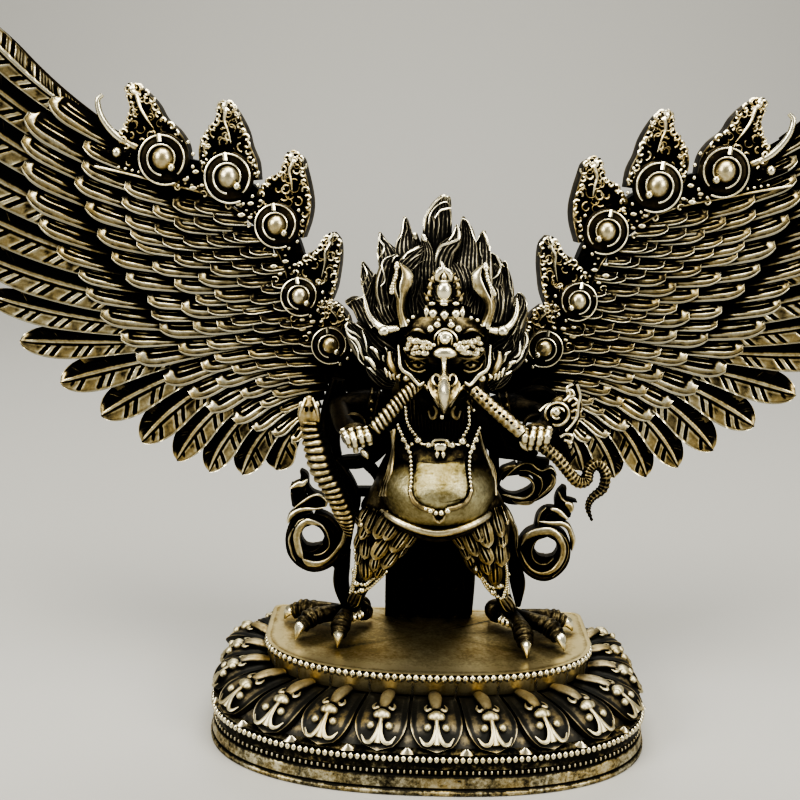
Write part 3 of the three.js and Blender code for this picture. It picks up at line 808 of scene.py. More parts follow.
    @staticmethod
    def stand_out(points: Array, normals: Array, edges: Array, rounds: int) -> Array:
        """How far each point stands above its smoothed surroundings.

        Args:
            points: The points.
            normals: Their normals.
            edges: Pairs of neighbours.
            rounds: Rounds of smoothing.

        Returns:
            Millimetres, positive on ridges.
        """
        count = len(points)
        a, b = edges[:, 0], edges[:, 1]
        degree = np.maximum(np.bincount(a, minlength=count) + np.bincount(b, minlength=count), 1)
        smooth = points.copy()
        for _ in range(rounds):
            total = np.stack([
                np.bincount(a, smooth[b, k], count) + np.bincount(b, smooth[a, k], count)
                for k in range(3)
            ], 1)
            smooth = 0.4 * smooth + 0.6 * total / degree[:, None]
        return np.einsum("ij,ij->i", normals, points - smooth)

    @staticmethod
    def blurred(grid: Array, reach: int) -> Array:
        """A grid averaged over a cube of cells.

        Args:
            grid: The grid.
            reach: Cells to each side.

        Returns:
            The averaged grid.
        """
        made = grid
        for axis in range(3):
            pad = [(0, 0)] * 3
            pad[axis] = (reach + 1, reach)
            total = np.cumsum(np.pad(made, pad), axis=axis, dtype=np.float32)
            size = made.shape[axis]
            high = np.take(total, np.arange(2 * reach + 1, 2 * reach + 1 + size), axis=axis)
            low = np.take(total, np.arange(0, size), axis=axis)
            made = (high - low) / (2 * reach + 1)
        return made


# ---------------------------------------------------------------- camera


@dataclass
class Lens:
    """The camera, and the places in the figure that its picture shows.

    Attributes:
        focal: Focal length in points of the picture.
        across: The camera's place to the side.
        distance: Its distance in front of the origin.
        height: Its height.
        pitch: How far it looks down, in radians.
        roll: How far the upright leans to the right in the picture, in radians.
    """

    focal: float = 1080.0
    across: float = -10.6
    distance: float = 295.0
    height: float = 167.0
    pitch: float = math.atan((PICTURE / 2 - HORIZON) / 1080.0)
    roll: float = math.radians(1.6)

    def spot(self, u: float, v: float, depth: float) -> Array:
        """The point behind a place in the picture.

        Args:
            u: Place to the right in the picture.
            v: Place down in the picture.
            depth: The point's Y.

        Returns:
            The point in millimetres.
        """
        a, b = u - PICTURE / 2, v - PICTURE / 2
        x = a * math.cos(self.roll) + b * math.sin(self.roll)
        w = (-a * math.sin(self.roll) + b * math.cos(self.roll)) / self.focal
        cos, sin = math.cos(self.pitch), math.sin(self.pitch)
        ahead = self.distance + depth
        drop = ahead * (w * cos + sin) / (cos - w * sin)
        reach = ahead * cos + drop * sin
        return np.array([self.across + x * reach / self.focal, depth, self.height - drop])

    def line(self, *spots: tuple[float, float, float]) -> Array:
        """Points behind several places in the picture."""
        return np.array([self.spot(*spot) for spot in spots])

    def build(self) -> None:
        """Adds the camera and makes it the scene's."""
        drop_selection()
        bpy.ops.object.camera_add()
        camera = bpy.context.object
        camera.name = "camera"
        camera.data.sensor_width = SENSOR
        camera.data.lens = SENSOR * self.focal / PICTURE
        camera.data.clip_start, camera.data.clip_end = 0.01, 20
        ahead = Vector((0, math.cos(self.pitch), -math.sin(self.pitch)))
        up = Vector((0, math.sin(self.pitch), math.cos(self.pitch)))
        right = Vector((1, 0, 0))
        leaned_right = right * math.cos(self.roll) + up * math.sin(self.roll)
        leaned_up = up * math.cos(self.roll) - right * math.sin(self.roll)
        turn = Matrix((leaned_right, leaned_up, -ahead)).transposed().to_4x4()
        place = Vector((self.across, -self.distance, self.height)) * MILLIMETRE
        camera.matrix_world = Matrix.Translation(place) @ turn
        bpy.context.scene.camera = camera


LENS = Lens()
spots = LENS.line


# ---------------------------------------------------------------- plinth


@dataclass(frozen=True)
class Plan:
    """Outline of a tier: bowed front, straight sides and round back corners."""

    half: float
    front: float
    back: float
    bow_start: float
    roundness: float
    corner: float

    def inside(self, x: Array, y: Array) -> Array:
        """Whether points lie inside the outline."""
        bow = (np.abs(x) / self.half) ** self.roundness + (
            np.clip(self.bow_start - y, 0, None) / (self.bow_start - self.front)
        ) ** self.roundness < 1
        dx, dy = np.abs(x) - (self.half - self.corner), y - (self.back - self.corner)
        corner = np.where((dx > 0) & (dy > 0), np.hypot(dx, dy), np.maximum(dx, dy)) < self.corner
        return np.where(y <= self.bow_start, bow, corner)


@dataclass
class Plinth:
    """The double lotus plinth."""

    blanks: Blanks
    finish: Brass
    dark_finish: Brass
    top_finish: Brass
    base_finish: Brass
    lower: Plan = Plan(64, -37.5, 37.5, 0, 2.4, 15)
    upper: Plan = Plan(49, -17.5, 28, 8, 2.25, 3)
    middle_y: float = 8.0
    petals: int = 22
    phase: float = 0.11
    petal_base: float = 12.2
    petal_rise: float = 6.4
    bead_pitch: float = 1.8
    top_bead_pitch: float = 2.03
    tick_count: int = 208
    corners: int = 300

    def toward(self, plan: Plan, points: Array) -> Array:
        """Where rays from the tiers' middle through points meet a plan's edge."""
        ray = points - [0, self.middle_y]
        low, high = np.zeros(len(ray)), 300 / np.linalg.norm(ray, axis=1)
        for _ in range(40):
            share = (low + high) / 2
            hit = plan.inside(ray[:, 0] * share, self.middle_y + ray[:, 1] * share)
            low, high = np.where(hit, share, low), np.where(hit, high, share)
        return ray * low[:, None] + [0, self.middle_y]

    def wall(self, points: Array) -> Array:
        """The foot of the upper tier's wall that belongs to points on the lower tier's edge."""
        return self.toward(self.upper, points * [1.4, 1])

    def outline(self, plan: Plan, count: int, phase: float = 0.5) -> Array:
        """Points at even steps along a plan's edge.

        Args:
            plan: The plan.
            count: How many points.
            phase: Where the first stands, in steps from the middle of the front.

        Returns:
            The points' X and Y.
        """
        angle = np.linspace(0, 2 * np.pi, 2881) - np.pi / 2
        edge = self.toward(plan, np.stack([np.cos(angle), self.middle_y + np.sin(angle)], 1))
        length = np.concatenate([[0], np.cumsum(np.linalg.norm(np.diff(edge, axis=0), axis=1))])
        wanted = (length[-1] * (np.arange(count) + phase) / count) % length[-1]
        return np.stack([np.interp(wanted, length, edge[:, k]) for k in range(2)], 1)

    def inset(self, points: Array, amount: float) -> Array:
        """Points drawn in toward the middle."""
        ray = points - [0, self.middle_y]
        return points - ray * (amount / np.linalg.norm(ray, axis=1))[:, None]

    def steps(self, plan: Plan, profile: Sequence[tuple[float, float]]) -> Form:
        """A tier with a moulded side, extruded ring by ring from its outline.

        Args:
            plan: The tier's plan.
            profile: Inset and height of each ring, from the bottom.

        Returns:
            The tier.
        """
        count = self.corners
        edge = self.outline(plan, count)
        drop_selection()
        bpy.ops.mesh.primitive_circle_add(vertices=count, radius=1, fill_type="NGON")
        tier = bpy.context.object
        rings = [np.column_stack([self.inset(edge, i), np.full(count, z)]) for i, z in profile]
        for vertex, place in zip(tier.data.vertices, rings[0]):
            vertex.co = place
        for ring in rings[1:]:
            bpy.ops.object.mode_set(mode="EDIT")
            bpy.ops.mesh.extrude_region_move()
            bpy.ops.object.mode_set(mode="OBJECT")
            moved = [v for v in tier.data.vertices if v.select]
            for vertex, place in zip(moved, ring):
                vertex.co = place
        bpy.ops.object.mode_set(mode="EDIT")
        bpy.ops.mesh.poke()
        bpy.ops.object.mode_set(mode="OBJECT")
        return taken_form()

    @staticmethod
    def shaded(tier: Form) -> Form:
        """The lower tier with a worn lip, a dull golden band and dark mouldings above."""
        height = tier.points[:, 2]
        lip, band = hump(height, 0.9, 0.7), fade(height, 1.6, 2.4) * fade(height, 5.3, 4.7)
        tier.tone = -0.46 + 0.3 * lip + 0.26 * band
        return tier

    def petal_point(self, centre: Array, side: Array, inner: Array, u: Array, share: Array, lift: Array) -> Array:
        """A point on a petal.

        Args:
            centre: The petal's place on the outer edge.
            side: Direction along the edge there.
            inner: Its place at the wall.
            u: Distance across in millimetres.
            share: 0 at the outer edge and 1 at the wall.
            lift: Height above the petal.

        Returns:
            The point or points.
        """
        u, share, lift = (np.asarray(k, float)[..., None] for k in (u, share, lift))
        flat = centre + (inner - centre) * share + side * u
        height = self.petal_base + 0.25 + (self.petal_rise - 0.45) * (1 - (1 - share) ** 5)
        outward = unit(centre - inner)
        steep = (1 - share) ** 4
        return np.concatenate([flat + outward * lift * 0.8 * steep, height + lift * (1 - 0.45 * steep)], -1)

    def petal(self, centre: Array, side: Array, inner: Array, half_out: float, half_in: float) -> list[Form]:
        """One petal with its ornament.

        Args:
            centre: Its place on the outer edge.
            side: Direction along the edge there.
            inner: Its place at the wall.
            half_out: Half its width at the outer edge.
            half_in: Half its width at the wall.

        Returns:
            Its forms.
        """
        def point(u: float, share: float, lift: float) -> Array:
            return self.petal_point(centre, side, inner, u, share, lift)

        rows, cols = 26, 17
        along = np.linspace(1, 0, rows)
        path = self.petal_point(centre, side, inner, np.zeros(rows), along, np.zeros(rows))
        facing = np.array([*(unit(centre - inner) * 0.75), 1.0])
        half = half_in + (half_out - half_in) * (1 - along)

        def bowl(u: Array, v: Array) -> tuple[Array, Array]:
            away, tip = np.abs(u), fade(v, 0.9, 0.99)
            lobe = np.sqrt(np.clip(1 - ((away - 0.46) / 0.46) ** 2, 0, 1)) * fade(v, 0.96, 0.76) * fade(v, -0.1, 0.2)
            rim = np.maximum(fade(away, 0.88, 0.95), tip)
            height = 1.0 * lobe + 0.3 * rim - 0.4 * (1 - away**2) * (1 - tip)
            return height, -0.48 + 0.1 * lobe + 0.3 * rim * fade(v, 0.2, 0.8) - 0.3 * (1 - lobe) * (1 - rim)

        forms = [
            strip(path, half, facing, bowl, rows, cols, thick=1.6, ends=round_end(np.linspace(0, 1, rows), 0.62, 2.4))
        ]
        bright = -0.08

        def bar(points: Sequence, radii: Sequence, rings: int = 9, sides: int = 6, flat: float = 0.8) -> Form:
            return rod([point(*p) for p in points], radii, sides, rings, facing=facing, flat=flat, tone=bright)

        ball = self.blanks.ball
        tongue = [(0, 1.0, 0.7), (0, 0.84, 1.3), (0, 0.66, 1.8), (0, 0.48, 1.6)]
        forms.append(bar(tongue, [1.5, 2.0, 1.8, 1.2], 12, 12, 0.6).toned(-0.24))
        forms.append(ball.placed(point(0, 0.37, 1.4), (1.9, 1.8, 1.5)).toned(bright))
        for sign in (-1, 1):
            forms.append(ball.placed(point(sign * 1.1, 0.36, 1.4), (1.35, 1.3, 1.2)).toned(bright))
            forms.append(ball.placed(point(sign * 2.5, 0.21, 1.4), 1.1).toned(bright + 0.08))
            forms.append(bar(
                [(sign * 1.4, 0.5, 1.6), (sign * 2.4, 0.47, 1.6), (sign * 2.9, 0.53, 1.5), (sign * 2.4, 0.6, 1.6)],
                [0.5, 0.5, 0.45, 0.2], 12))
            forms.append(bar(
                [(sign * 0.3, 0.24, 1.4), (sign * 0.6, 0.13, 1.4), (sign * 1.8, 0.06, 1.2), (sign * 3.4, 0.06, 1.0),
                 (sign * 4.6, 0.12, 0.7)],
                [0.4, 0.6, 0.65, 0.5, 0.15], 14))
        forms.append(bar([(0, 0.3, 1.4), (0, 0.18, 1.4), (0, 0.05, 1.1)], [0.7, 0.6, 1.0], 7, 8))
        return forms

    def held_in(self, forms: list[Form]) -> list[Form]:
        """Forms with no corner outside the lower tier's plan."""
        for form in forms:
            flat = form.points[:, :2]
            outside = ~self.lower.inside(flat[:, 0], flat[:, 1])
            if outside.any():
                form.points[outside, :2] = self.toward(self.lower, flat[outside])
        return forms

    def beads(self, plan: Plan, inset: float, height: float, pitch: float, size: Sequence[float]) -> list[Form]:
        """A row of beads round a tier."""
        rail = self.outline(plan, 400)
        around = np.linalg.norm(np.diff(rail, axis=0, append=rail[:1]), axis=1).sum()
        places = self.inset(self.outline(plan, round(around / pitch), 0.0), inset)
        return [self.blanks.bead.placed((*place, height), size).toned(0.16) for place in places]

    def ground(self) -> Form:
        """The dark floor that the petals lie on."""
        outer = self.inset(self.outline(self.lower, self.corners), 2.2)
        inner = self.inset(self.wall(outer), 1.2)
        rings = [
            np.column_stack([outer + (inner - outer) * s, np.full(self.corners, 11.6 + 5.4 * (1 - (1 - s) ** 5))])
            for s in np.linspace(0, 1, 10)
        ]
        return loft([rings[0] - [0, 0, 3], *rings]).toned(-0.32)

    def ring(self) -> list[Form]:
        """All petals, each square to the edge where it stands."""
        at, ahead, behind = (self.outline(self.lower, self.petals, self.phase + step) for step in (0, 0.02, -0.02))
        forms = []
        pitch = np.linalg.norm(np.roll(at, -1, 0) - at, axis=1)
        walls = self.wall(at)
        for i, centre in enumerate(at):
            side = unit(ahead[i] - behind[i])
            drawn = self.inset(centre[None], 0.9)[0]
            wall = self.inset(walls[i:i + 1], 0.4)[0]
            inner_pitch = np.linalg.norm(walls[(i + 1) % self.petals] - walls[i - 1]) / 2
            forms += self.petal(drawn, side, wall, pitch[i] * 0.47, min(max(inner_pitch * 0.46, 2.6), 7.2))
        return forms

    def spikes(self) -> list[Form]:
        """The small points between the petals' tips."""
        between = self.inset(self.outline(self.lower, self.petals, self.phase + 0.5), 1.25)
        return [self.blanks.spike.placed((*place, 11.9), (2.2, 0.8, 1.6)).toned(-0.14) for place in between]

    def top(self) -> Form:
        """The upper tier, brighter toward its lip: a worn lip, and painted light in a wider band that offsets the
        painted shade near its crowded edge.
        """
        tier = self.steps(self.upper, [
            (1.2, 14.5), (1.2, 18.2), (1.0, 18.6), (1.05, 22.6), (1.5, 22.9), (1.5, 24.9), (0.5, 25.0), (0.2, 25.1),
            (0.2, 25.25), (0.6, 25.3), (1.1, 25.25), (1.5, 25.2), (3, 25.2), (6, 25.2), (11, 25.2), (16, 25.2),
        ])
        flat = tier.points[:, :2]
        away = np.linalg.norm(self.toward(self.upper, flat) - flat, axis=1)
        # The 0.5 step at the lip is wear; the 0.34 band up to 9 mm in is painted light against the painted shade of the
        # crowded edge.
        tier.tone = (0.34 * fade(away, 9, 2) + 0.5 * fade(away, 1.2, 0.6)) * (tier.points[:, 2] > 24.95)
        return tier

    def build(self, bench: Bench) -> None:
        """Makes the plinth's pieces."""
        make = partial(bench.make, slot=Slot.PLINTH, node="lotus_plinth")
        base = self.shaded(self.steps(self.lower, [
            (0.5, 0), (0.05, 0.25), (0.05, 1.1), (0.35, 1.45), (0.7, 1.7), (0.7, 2.0), (0.5, 2.3),
            (0.75, 4.8), (1.0, 5.2), (1.35, 5.4), (1.4, 7.1), (1.15, 7.4), (1.25, 9.3), (1.9, 9.6),
            (1.9, 11.3), (1.0, 11.6), (0.9, 12.2), (2.2, 12.6),
        ]))
        make("plinth_base", [base], self.base_finish, 0.0, 35)
        make("petal_ground", [self.ground()], self.dark_finish, -0.1, 35)
        make("petals", self.held_in(self.ring()), self.dark_finish, 0.04, 50)
        beads = self.beads(self.lower, 0.95, 10.45, self.bead_pitch, (0.8, 0.8, 1.0))
        top_beads = self.beads(self.upper, 0.5, 23.7, self.top_bead_pitch, (0.96, 0.9, 1.3))
        make("bead_rows", self.held_in(beads) + top_beads, self.finish, 0.2)
        make("ticks_and_points", self.held_in(self.ticks() + self.spikes() + self.ribs()), self.finish, -0.04)
        make("plinth_top", [self.top()], self.top_finish, 0.2, 35)

    def ribs(self) -> list[Form]:
        """Thin upright ridges on the wall between the petals."""
        foot = self.inset(self.wall(self.outline(self.lower, self.petals, self.phase + 0.5)), 0.85)
        return [
            rod([(*p, 17.6), (*p, 20.0), (*p, 22.8)], [0.3, 0.4, 0.55], 5, 5, tone=0.1) for p in foot
        ]

    def ticks(self) -> list[Form]:
        """The row of small upright ticks on the lower band."""
        places = self.inset(self.outline(self.lower, self.tick_count, 0.0), 1.3)
        ahead = self.inset(self.outline(self.lower, self.tick_count, 0.3), 1.2)
        forms = []
        for place, other in zip(places, ahead):
            side = unit(other - place)
            turn = np.array([[side[0], -side[1], 0], [side[1], side[0], 0], [0, 0, 1]])
            forms.append(self.blanks.tick.placed((*place, 6.5), (0.55, 0.7, 1.0), turn).toned(-0.12))
        return forms


# ---------------------------------------------------------------- wings


# Root, tip and bow of a long feather along the fan, from its inner lower corner to its outer one: X from the
# figure's middle, Z from the seat's middle, and the bow as a share of the feather's length.
FAN_ROOT = np.array([[38, -17], [33.5, -9], [32, -1], [34, 7], [39, 15], [46, 29], [60, 45], [87, 61]], float)
FAN_TIP = np.array([
    [43.5, -34.5], [65.8, -37.5], [87.6, -29], [113, -9.4], [134.5, 19.5], [142.8, 50], [141, 80], [131.9, 102.5],
])
FAN_BOW = np.array([0.1, 0.3, 0.26, 0.05, -0.16, -0.2, -0.19, -0.13])
SEAT_MIDDLE = 105.6
PRIMARIES = 15


@dataclass(frozen=True)
class Row:
    """A row of short feathers: how long they are, how high they lie, how much darker they are painted as shade, and
    where their tips show.
    """

    length: float
    lift: float
    tone: float
    tips: tuple[tuple[float, float], ...]


# Rows nearer the arm get a darker tone: painted shade.
ROWS = (
    Row(27, 1.2, 0.0, (
        (51, 100), (26, 117), (22.5, 138), (24, 165), (28, 193), (40, 220), (57, 248), (79, 272), (87, 290),
        (101, 312), (122, 337), (138, 358), (167, 380), (191, 394), (211, 410), (236, 421), (255, 428.5),
        (274, 433), (293, 438))),
    Row(24, 2.0, 0.0, (
        (85, 144), (83, 163), (76, 179), (87, 205), (97.5, 232), (112.5, 255), (127.5, 275), (149, 297), (152, 311),
        (161, 326), (179, 347), (203, 366), (218.5, 381), (242, 393), (261, 403), (281, 407))),
    Row(19, 2.7, 0.0, (
        (126, 185), (123.5, 200), (127, 218), (132, 231), (137.5, 242), (154, 264), (176, 281), (183, 306),
        (195, 324), (208, 341), (215, 356), (234, 368), (257, 381), (274, 391))),
    Row(16, 3.3, -0.02, (
        (154, 208), (157, 226), (164, 240), (176, 256), (200, 276), (197, 296), (209, 307), (218, 323), (237, 336),
        (250, 351), (257, 363), (269, 372), (290, 378))),
    Row(13, 3.8, -0.05, (
        (175, 201), (176, 221), (184, 237), (195, 253), (212, 266), (216, 291), (227, 303), (232, 318), (254, 326),
        (262, 338), (276, 351), (286, 360))),
    Row(11, 4.2, -0.08, (
        (196, 203), (196, 219), (208, 236), (214, 251), (233, 261), (238, 279), (250, 297), (243, 309), (261, 316),
        (281, 336), (293, 346))),
    Row(10, 4.6, -0.1, (
        (215, 216), (225, 234), (241, 250), (253, 267), (261, 286), (274, 304), (280, 321), (300, 338))),
    Row(9, 5.0, -0.14, ((236, 234), (250, 247), (263, 263), (273, 282), (284, 302), (292, 322))),
)


@dataclass(frozen=True)
class Jewel:
    """A finial on the wing's arm: its boss, and both edges from the tip as the left wing shows them."""

    x: float
    z: float
    radius: float
    lean: float
    left: tuple[tuple[float, float], ...]
    right: tuple[tuple[float, float], ...]


JEWELS = (
    Jewel(31.8, 5.6, 4.6, 1.2,
          ((331, 303), (326, 307), (321, 314), (319, 324), (318, 340)),
          ((334, 303), (341, 309), (347, 316), (350, 326), (350, 342))),
    Jewel(40.9, 19.9, 4.7, 1.5,
          ((329, 233), (323, 242), (316, 249), (306, 256), (294, 268), (287, 284), (286, 300)),
          ((333, 233), (339, 242), (340, 258), (338, 275), (335, 290), (329, 304), (322, 312))),
    Jewel(47.8, 40.4, 5.3, 1.6,
          ((287, 152), (285, 163), (279, 172), (268, 180), (259, 190), (253, 206), (254, 226)),
          ((292, 152), (301, 158), (305, 171), (309, 188), (311, 204), (309, 220), (303, 238))),
    Jewel(61.5, 53.6, 5.9, 0.8,
          ((223, 101), (218, 110), (214, 122), (204, 135), (199, 148), (200, 164), (205, 184)),
          ((227, 101), (234, 108), (241, 119), (247, 132), (251, 147), (257, 162), (259, 180))),
    Jewel(80.0, 58.3, 5.9, 0.3,
          ((128, 83), (127, 95), (130, 110), (125, 124), (119, 137), (121, 150), (126, 168)),
          ((133, 83), (146, 92), (157, 104), (165, 118), (178, 130), (187, 145), (190, 166))),
)


@dataclass
class Wing:
    """One wing: rows of feathers on an arm that carries five jewelled finials."""

    name: str
    side: int
    blanks: Blanks
    finish: Brass
    tip_reach: float = 1.0
    tip_lift: float = 0.0
    sheet_depth: float = 28.0
    dish: float = 10.0
    dish_start: float = 45.0
    dish_reach: float = 98.0

    def place(self, span: float, share: Array) -> Array:
        """Points along a feather's line, in the wing's own plane."""
        root, tip = blend(FAN_ROOT, span), blend(FAN_TIP, span)
        tip = tip * [self.tip_reach, 1] + [0, self.tip_lift]
        bow = blend(FAN_BOW, span)
        way = tip - root
        bend = (root + tip) / 2 + np.array([-way[1], way[0]]) * bow
        share = np.asarray(share, float)[:, None]
        return (1 - share) ** 2 * root + 2 * (1 - share) * share * bend + share**2 * tip

    def sheet(self, flat: Array, lift: Array | float) -> Array:
        """Points of the wing's curved sheet, lifted toward the front."""
        flat = np.atleast_2d(flat)
        out = np.clip(flat[:, 0] - self.dish_start, 0, None) / self.dish_reach
        return np.stack([flat[:, 0], self.sheet_depth - self.dish * out**2 - lift, SEAT_MIDDLE + flat[:, 1]], 1)

    def seated(self, tips: Sequence[tuple[float, float]]) -> list[tuple[float, float]]:
        """The spans and shares of feather tips that are given by their places in the picture.

        Args:
            tips: Places in the picture of the wing on the left.

        Returns:
            Span and share of each.
        """
        spans = np.linspace(0, 1, 221)
        shares = np.linspace(0.02, 1, 160)
        first = Wing("pattern", -1, self.blanks, self.finish)
        table = np.stack([first.place(span, shares) for span in spans])
        found = []
        for u, v in tips:
            depth = 24.0
            for _ in range(3):
                spot = LENS.spot(u, v, depth)
                depth = first.sheet(np.array([[abs(spot[0]), 0]]), 2.0)[0, 1]
            gap = np.linalg.norm(table - [abs(spot[0]), spot[2] - SEAT_MIDDLE], axis=2)
            i, j = np.unravel_index(gap.argmin(), gap.shape)
            found.append((float(spans[i]), float(shares[j])))
        return sorted(found)

    def primary(self, index: int, back: bool = False) -> Form:
        """One long feather.

        Args:
            index: Its number, from the inner lower corner.
            back: Whether it is on the wing's plainer back.

        Returns:
            The feather.
        """
        width = 1 / PRIMARIES
        span = width * (index + 0.5)
        last = index == PRIMARIES - 1
        rows, cols = (30, 7) if back else (104, 17)
        v = np.linspace(0, 1, rows)
        begin = 0.3 if last else 0.42
        share = begin + (0.99 - begin) * v
        line, pitch = self.lane(span, width, share)
        half = pitch / 2 * 1.16
        length = np.linalg.norm(np.diff(line, axis=0), axis=1).sum()
        ends = round_end(v, 0.62, 1.75)
        if back:
            plain: Relief = lambda u, w: 0.5 * (1 - u**2) + 0.35 * hump(u, 0, 0.12) - 0.45 * u
            return strip(self.sheet(line, -1.0), half, BACK, plain, rows, cols, thick=0.9, ends=ends)
        slant = float(half.mean()) * 0.85 / length
        relief = self.vane(length, slant, last)
        return strip(
            self.sheet(line, 0.2 + 0.4 * v), half, FRONT, relief, rows, cols, thick=1.2, ends=ends, slant=slant)

    def lane(self, span: float, width: float, share: Array) -> tuple[Array, Array]:
        """A feather's line and how wide its lane is, square to the line.

        Args:
            span: Its place in the fan.
            width: How much of the fan it takes.
            share: Places along it.

        Returns:
            The line's points and the width at each.
        """
        low, high = max(span - width / 2, 0.0), min(span + width / 2, 1.0)
        line = self.place(span, share)
        ahead = unit(np.gradient(line, axis=0))
        gap = self.place(high, share) - self.place(low, share)
        return line, np.abs(gap[:, 0] * ahead[:, 1] - gap[:, 1] * ahead[:, 0]) * width / (high - low)

    def covert(self, row: Row, seats: Sequence[tuple[float, float]], index: int) -> Form:
        """One short feather of a row.

        Args:
            row: The row.
            seats: Span and share of each tip of the row.
            index: Its number in the row.

        Returns:
            The feather.
        """
        span, reach = seats[index]
        below = seats[index - 1][0] if index else 2 * span - seats[1][0]
        above = seats[index + 1][0] if index < len(seats) - 1 else 2 * span - seats[-2][0]
        whole = np.linalg.norm(np.diff(self.place(span, np.linspace(0, 1, 30)), axis=0), axis=1).sum()
        start = max(reach - row.length / whole, 0.0)
        rows = int(row.length * 1.2)
        v = np.linspace(0, 1, rows)
        line, pitch = self.lane(span, max((above - below) / 2, 0.02), start + (reach - start) * v)
        half = np.clip(pitch / 2, row.length * (0.075 if row.length > 20 else 0.125), row.length * 0.21) * 1.14
        ends = round_end(v, 1 - min(float(half[-1]) * 2.1 / row.length, 0.6), 2.2)
        ahead = unit(np.gradient(line, axis=0))
        line = line - np.stack([ahead[:, 1], -ahead[:, 0]], 1) * (0.38 * half * (1 - ends))[:, None]
        relief = self.grooved(row.length, float(half[-1]), index)
        return strip(
            self.sheet(line, row.lift - 0.3 + 1.1 * v), half, FRONT, relief, rows, 17, thick=1.0, ends=ends,
            tone=row.tone)

    @staticmethod
    def vane(length: float, slant: float, outer: bool) -> Relief:
        """Front of a long feather: a double shaft, a dark upper vane and a notched golden lower one."""
        def relief(u: Array, v: Array) -> tuple[Array, Array]:
            place, away = (v - slant * np.abs(u)) * length, np.abs(u)
            beat = place % 9.2
            slot = fade(np.abs(beat - 2.0), 0.85, 0.4) + fade(np.abs(beat - 5.0), 0.85, 0.4)
            held = fade(away, 0.2, 0.3) * fade(away, 0.9, 0.8) * fade(v, 0.95, 0.88)
            lower = fade(u, 0.1, 0.17)
            sliver = slot * held * (1 - lower) * fade(v, 0.55, 0.7) * (1 - outer)
            slot = slot * held * np.maximum(lower, 1.0 * outer)
            barbs = np.cos(place * 5.5) * (1 - lower) * held
            shaft = fade(np.abs(u + 0.06), 0.085, 0.04) * fade(v, 1.0, 0.92)
            second = fade(np.abs(u - 0.2), 0.06, 0.03) * fade(v, 0.99, 0.9)
            groove = hump(u, 0.1, 0.05)
            rim = fade(u, 0.88, 0.96) + 0.7 * fade(-u, 0.9, 0.97) * np.maximum(fade(v, 0.7, 0.85), 1.0 * outer)
            height = 0.45 * (1 - u**2) + 0.5 * shaft + 0.2 * second - 0.4 * slot + 0.16 * rim + 0.7 * u + 0.05 * barbs
            tip = fade(v, 0.9, 0.97)
            golden = np.maximum(lower, 0.9 * outer)
            tone = (
                -0.5 + 0.07 * barbs + 0.66 * golden + 0.4 * tip * (1 - golden) + 0.34 * sliver
                + (0.9 - 0.2 * golden) * shaft + 0.3 * second + 0.35 * rim * (1 - 0.3 * tip) - 1.0 * slot - 0.7 * groove
            )
            return height, tone
        return relief

    @staticmethod
    def grooved(length: float, half: float, index: int) -> Relief:
        """Front of a short feather: a golden lower band with a bright rim, and thin lines on black above, which is
        patina and painted shadow under the feather above; all of it is painted darker toward the root, as shade under
        the row that lies over it.
        """
        jitter = 0.05 * math.sin(index * 1.7)
        short = length < 14

        def relief(u: Array, v: Array) -> tuple[Array, Array]:
            left = (1 - v) * length / half
            top = 0.2 + 0.03 * left
            band = fade(u, top + 0.02, top + 0.12)
            cap = fade(left - 0.35 * u, 1.0, 0.5)
            lines = np.zeros_like(u)
            for middle, first, last in ((-0.16, 0.6, 4.4), (-0.54, 0.8, 3.4)):
                shift = middle + jitter + 0.03 * left
                drawn = fade(np.abs(u - shift), 0.13, 0.05) * fade(left, last, last - 1.6)
                lines = lines + drawn * fade(left, first, first + 0.4)
            rim = fade(u, 0.78, 0.9) * fade(left, 8.0, 5.0) * fade(left, 0.1, 0.5)
            pale = np.maximum(band, cap)
            height = 0.5 * (1 - (u - 0.3) ** 2) + 0.36 * pale + 0.3 * lines * (1 - pale) + 0.26 * rim + 0.7 * u
            # The band, lines and rim fade out toward the root, and shade lightens the band toward its lower edge and
            # tip: painted shade and light. Short inner feathers are painted a little darker as shade.
            pale = pale * fade(left, 5.4, 4.0)
            shade = np.maximum(fade(u, top - 0.1, 0.95), fade(left, 1.2, 0.3)) * fade(left, 5.0, 2.0)
            tone = (
                -0.6 + (0.68 + 0.16 * shade) * pale + 0.62 * lines * (1 - pale)
                + 0.28 * rim * (1 - 0.5 * pale) - 0.05 * short
            )
            return height, tone
        return relief

    def web(self) -> Form:
        """The thin plate that all feathers lie on."""
        spans, shares = np.linspace(0.02, 0.98, 40), np.linspace(0.03, 0.86, 26)
        grid = np.stack([self.place(span, shares) for span in spans])
        front = np.stack([self.sheet(line, 0.2) for line in grid])
        back = np.stack([self.sheet(line, -1.2) for line in grid])
        rows, cols = front.shape[:2]
        points = np.concatenate([front.reshape(-1, 3), back.reshape(-1, 3)])
        face = grid_faces(rows, cols)
        loop = [*range(cols), *[(k + 1) * cols - 1 for k in range(1, rows)],
                *[(rows - 1) * cols + k for k in range(cols - 2, -1, -1)], *[k * cols for k in range(rows - 2, 0, -1)]]
        edge = np.array(loop)
        after, shift = np.roll(edge, -1), rows * cols
        wall = np.stack([after, edge, edge + shift, after + shift], -1)
        return Form(points, [face, face[:, ::-1] + shift, wall], np.full(len(points), -0.5)).outward()

    def finial(self, jewel: Jewel) -> list[Form]:
        """A flame-shaped jewel with scrolled edges on a dark pebbled ground."""
        depth = self.front_of(jewel)

        def traced(edge: Sequence[tuple[float, float]]) -> Array:
            return LENS.line(*[(u, v, depth) for u, v in edge]) * [-1, 1, 1]

        inner, outer = traced(jewel.right), traced(jewel.left)
        tall = float(np.linalg.norm(np.diff(outer, axis=0), axis=1).sum())
        rows = max(int(tall * 1.6), 20)

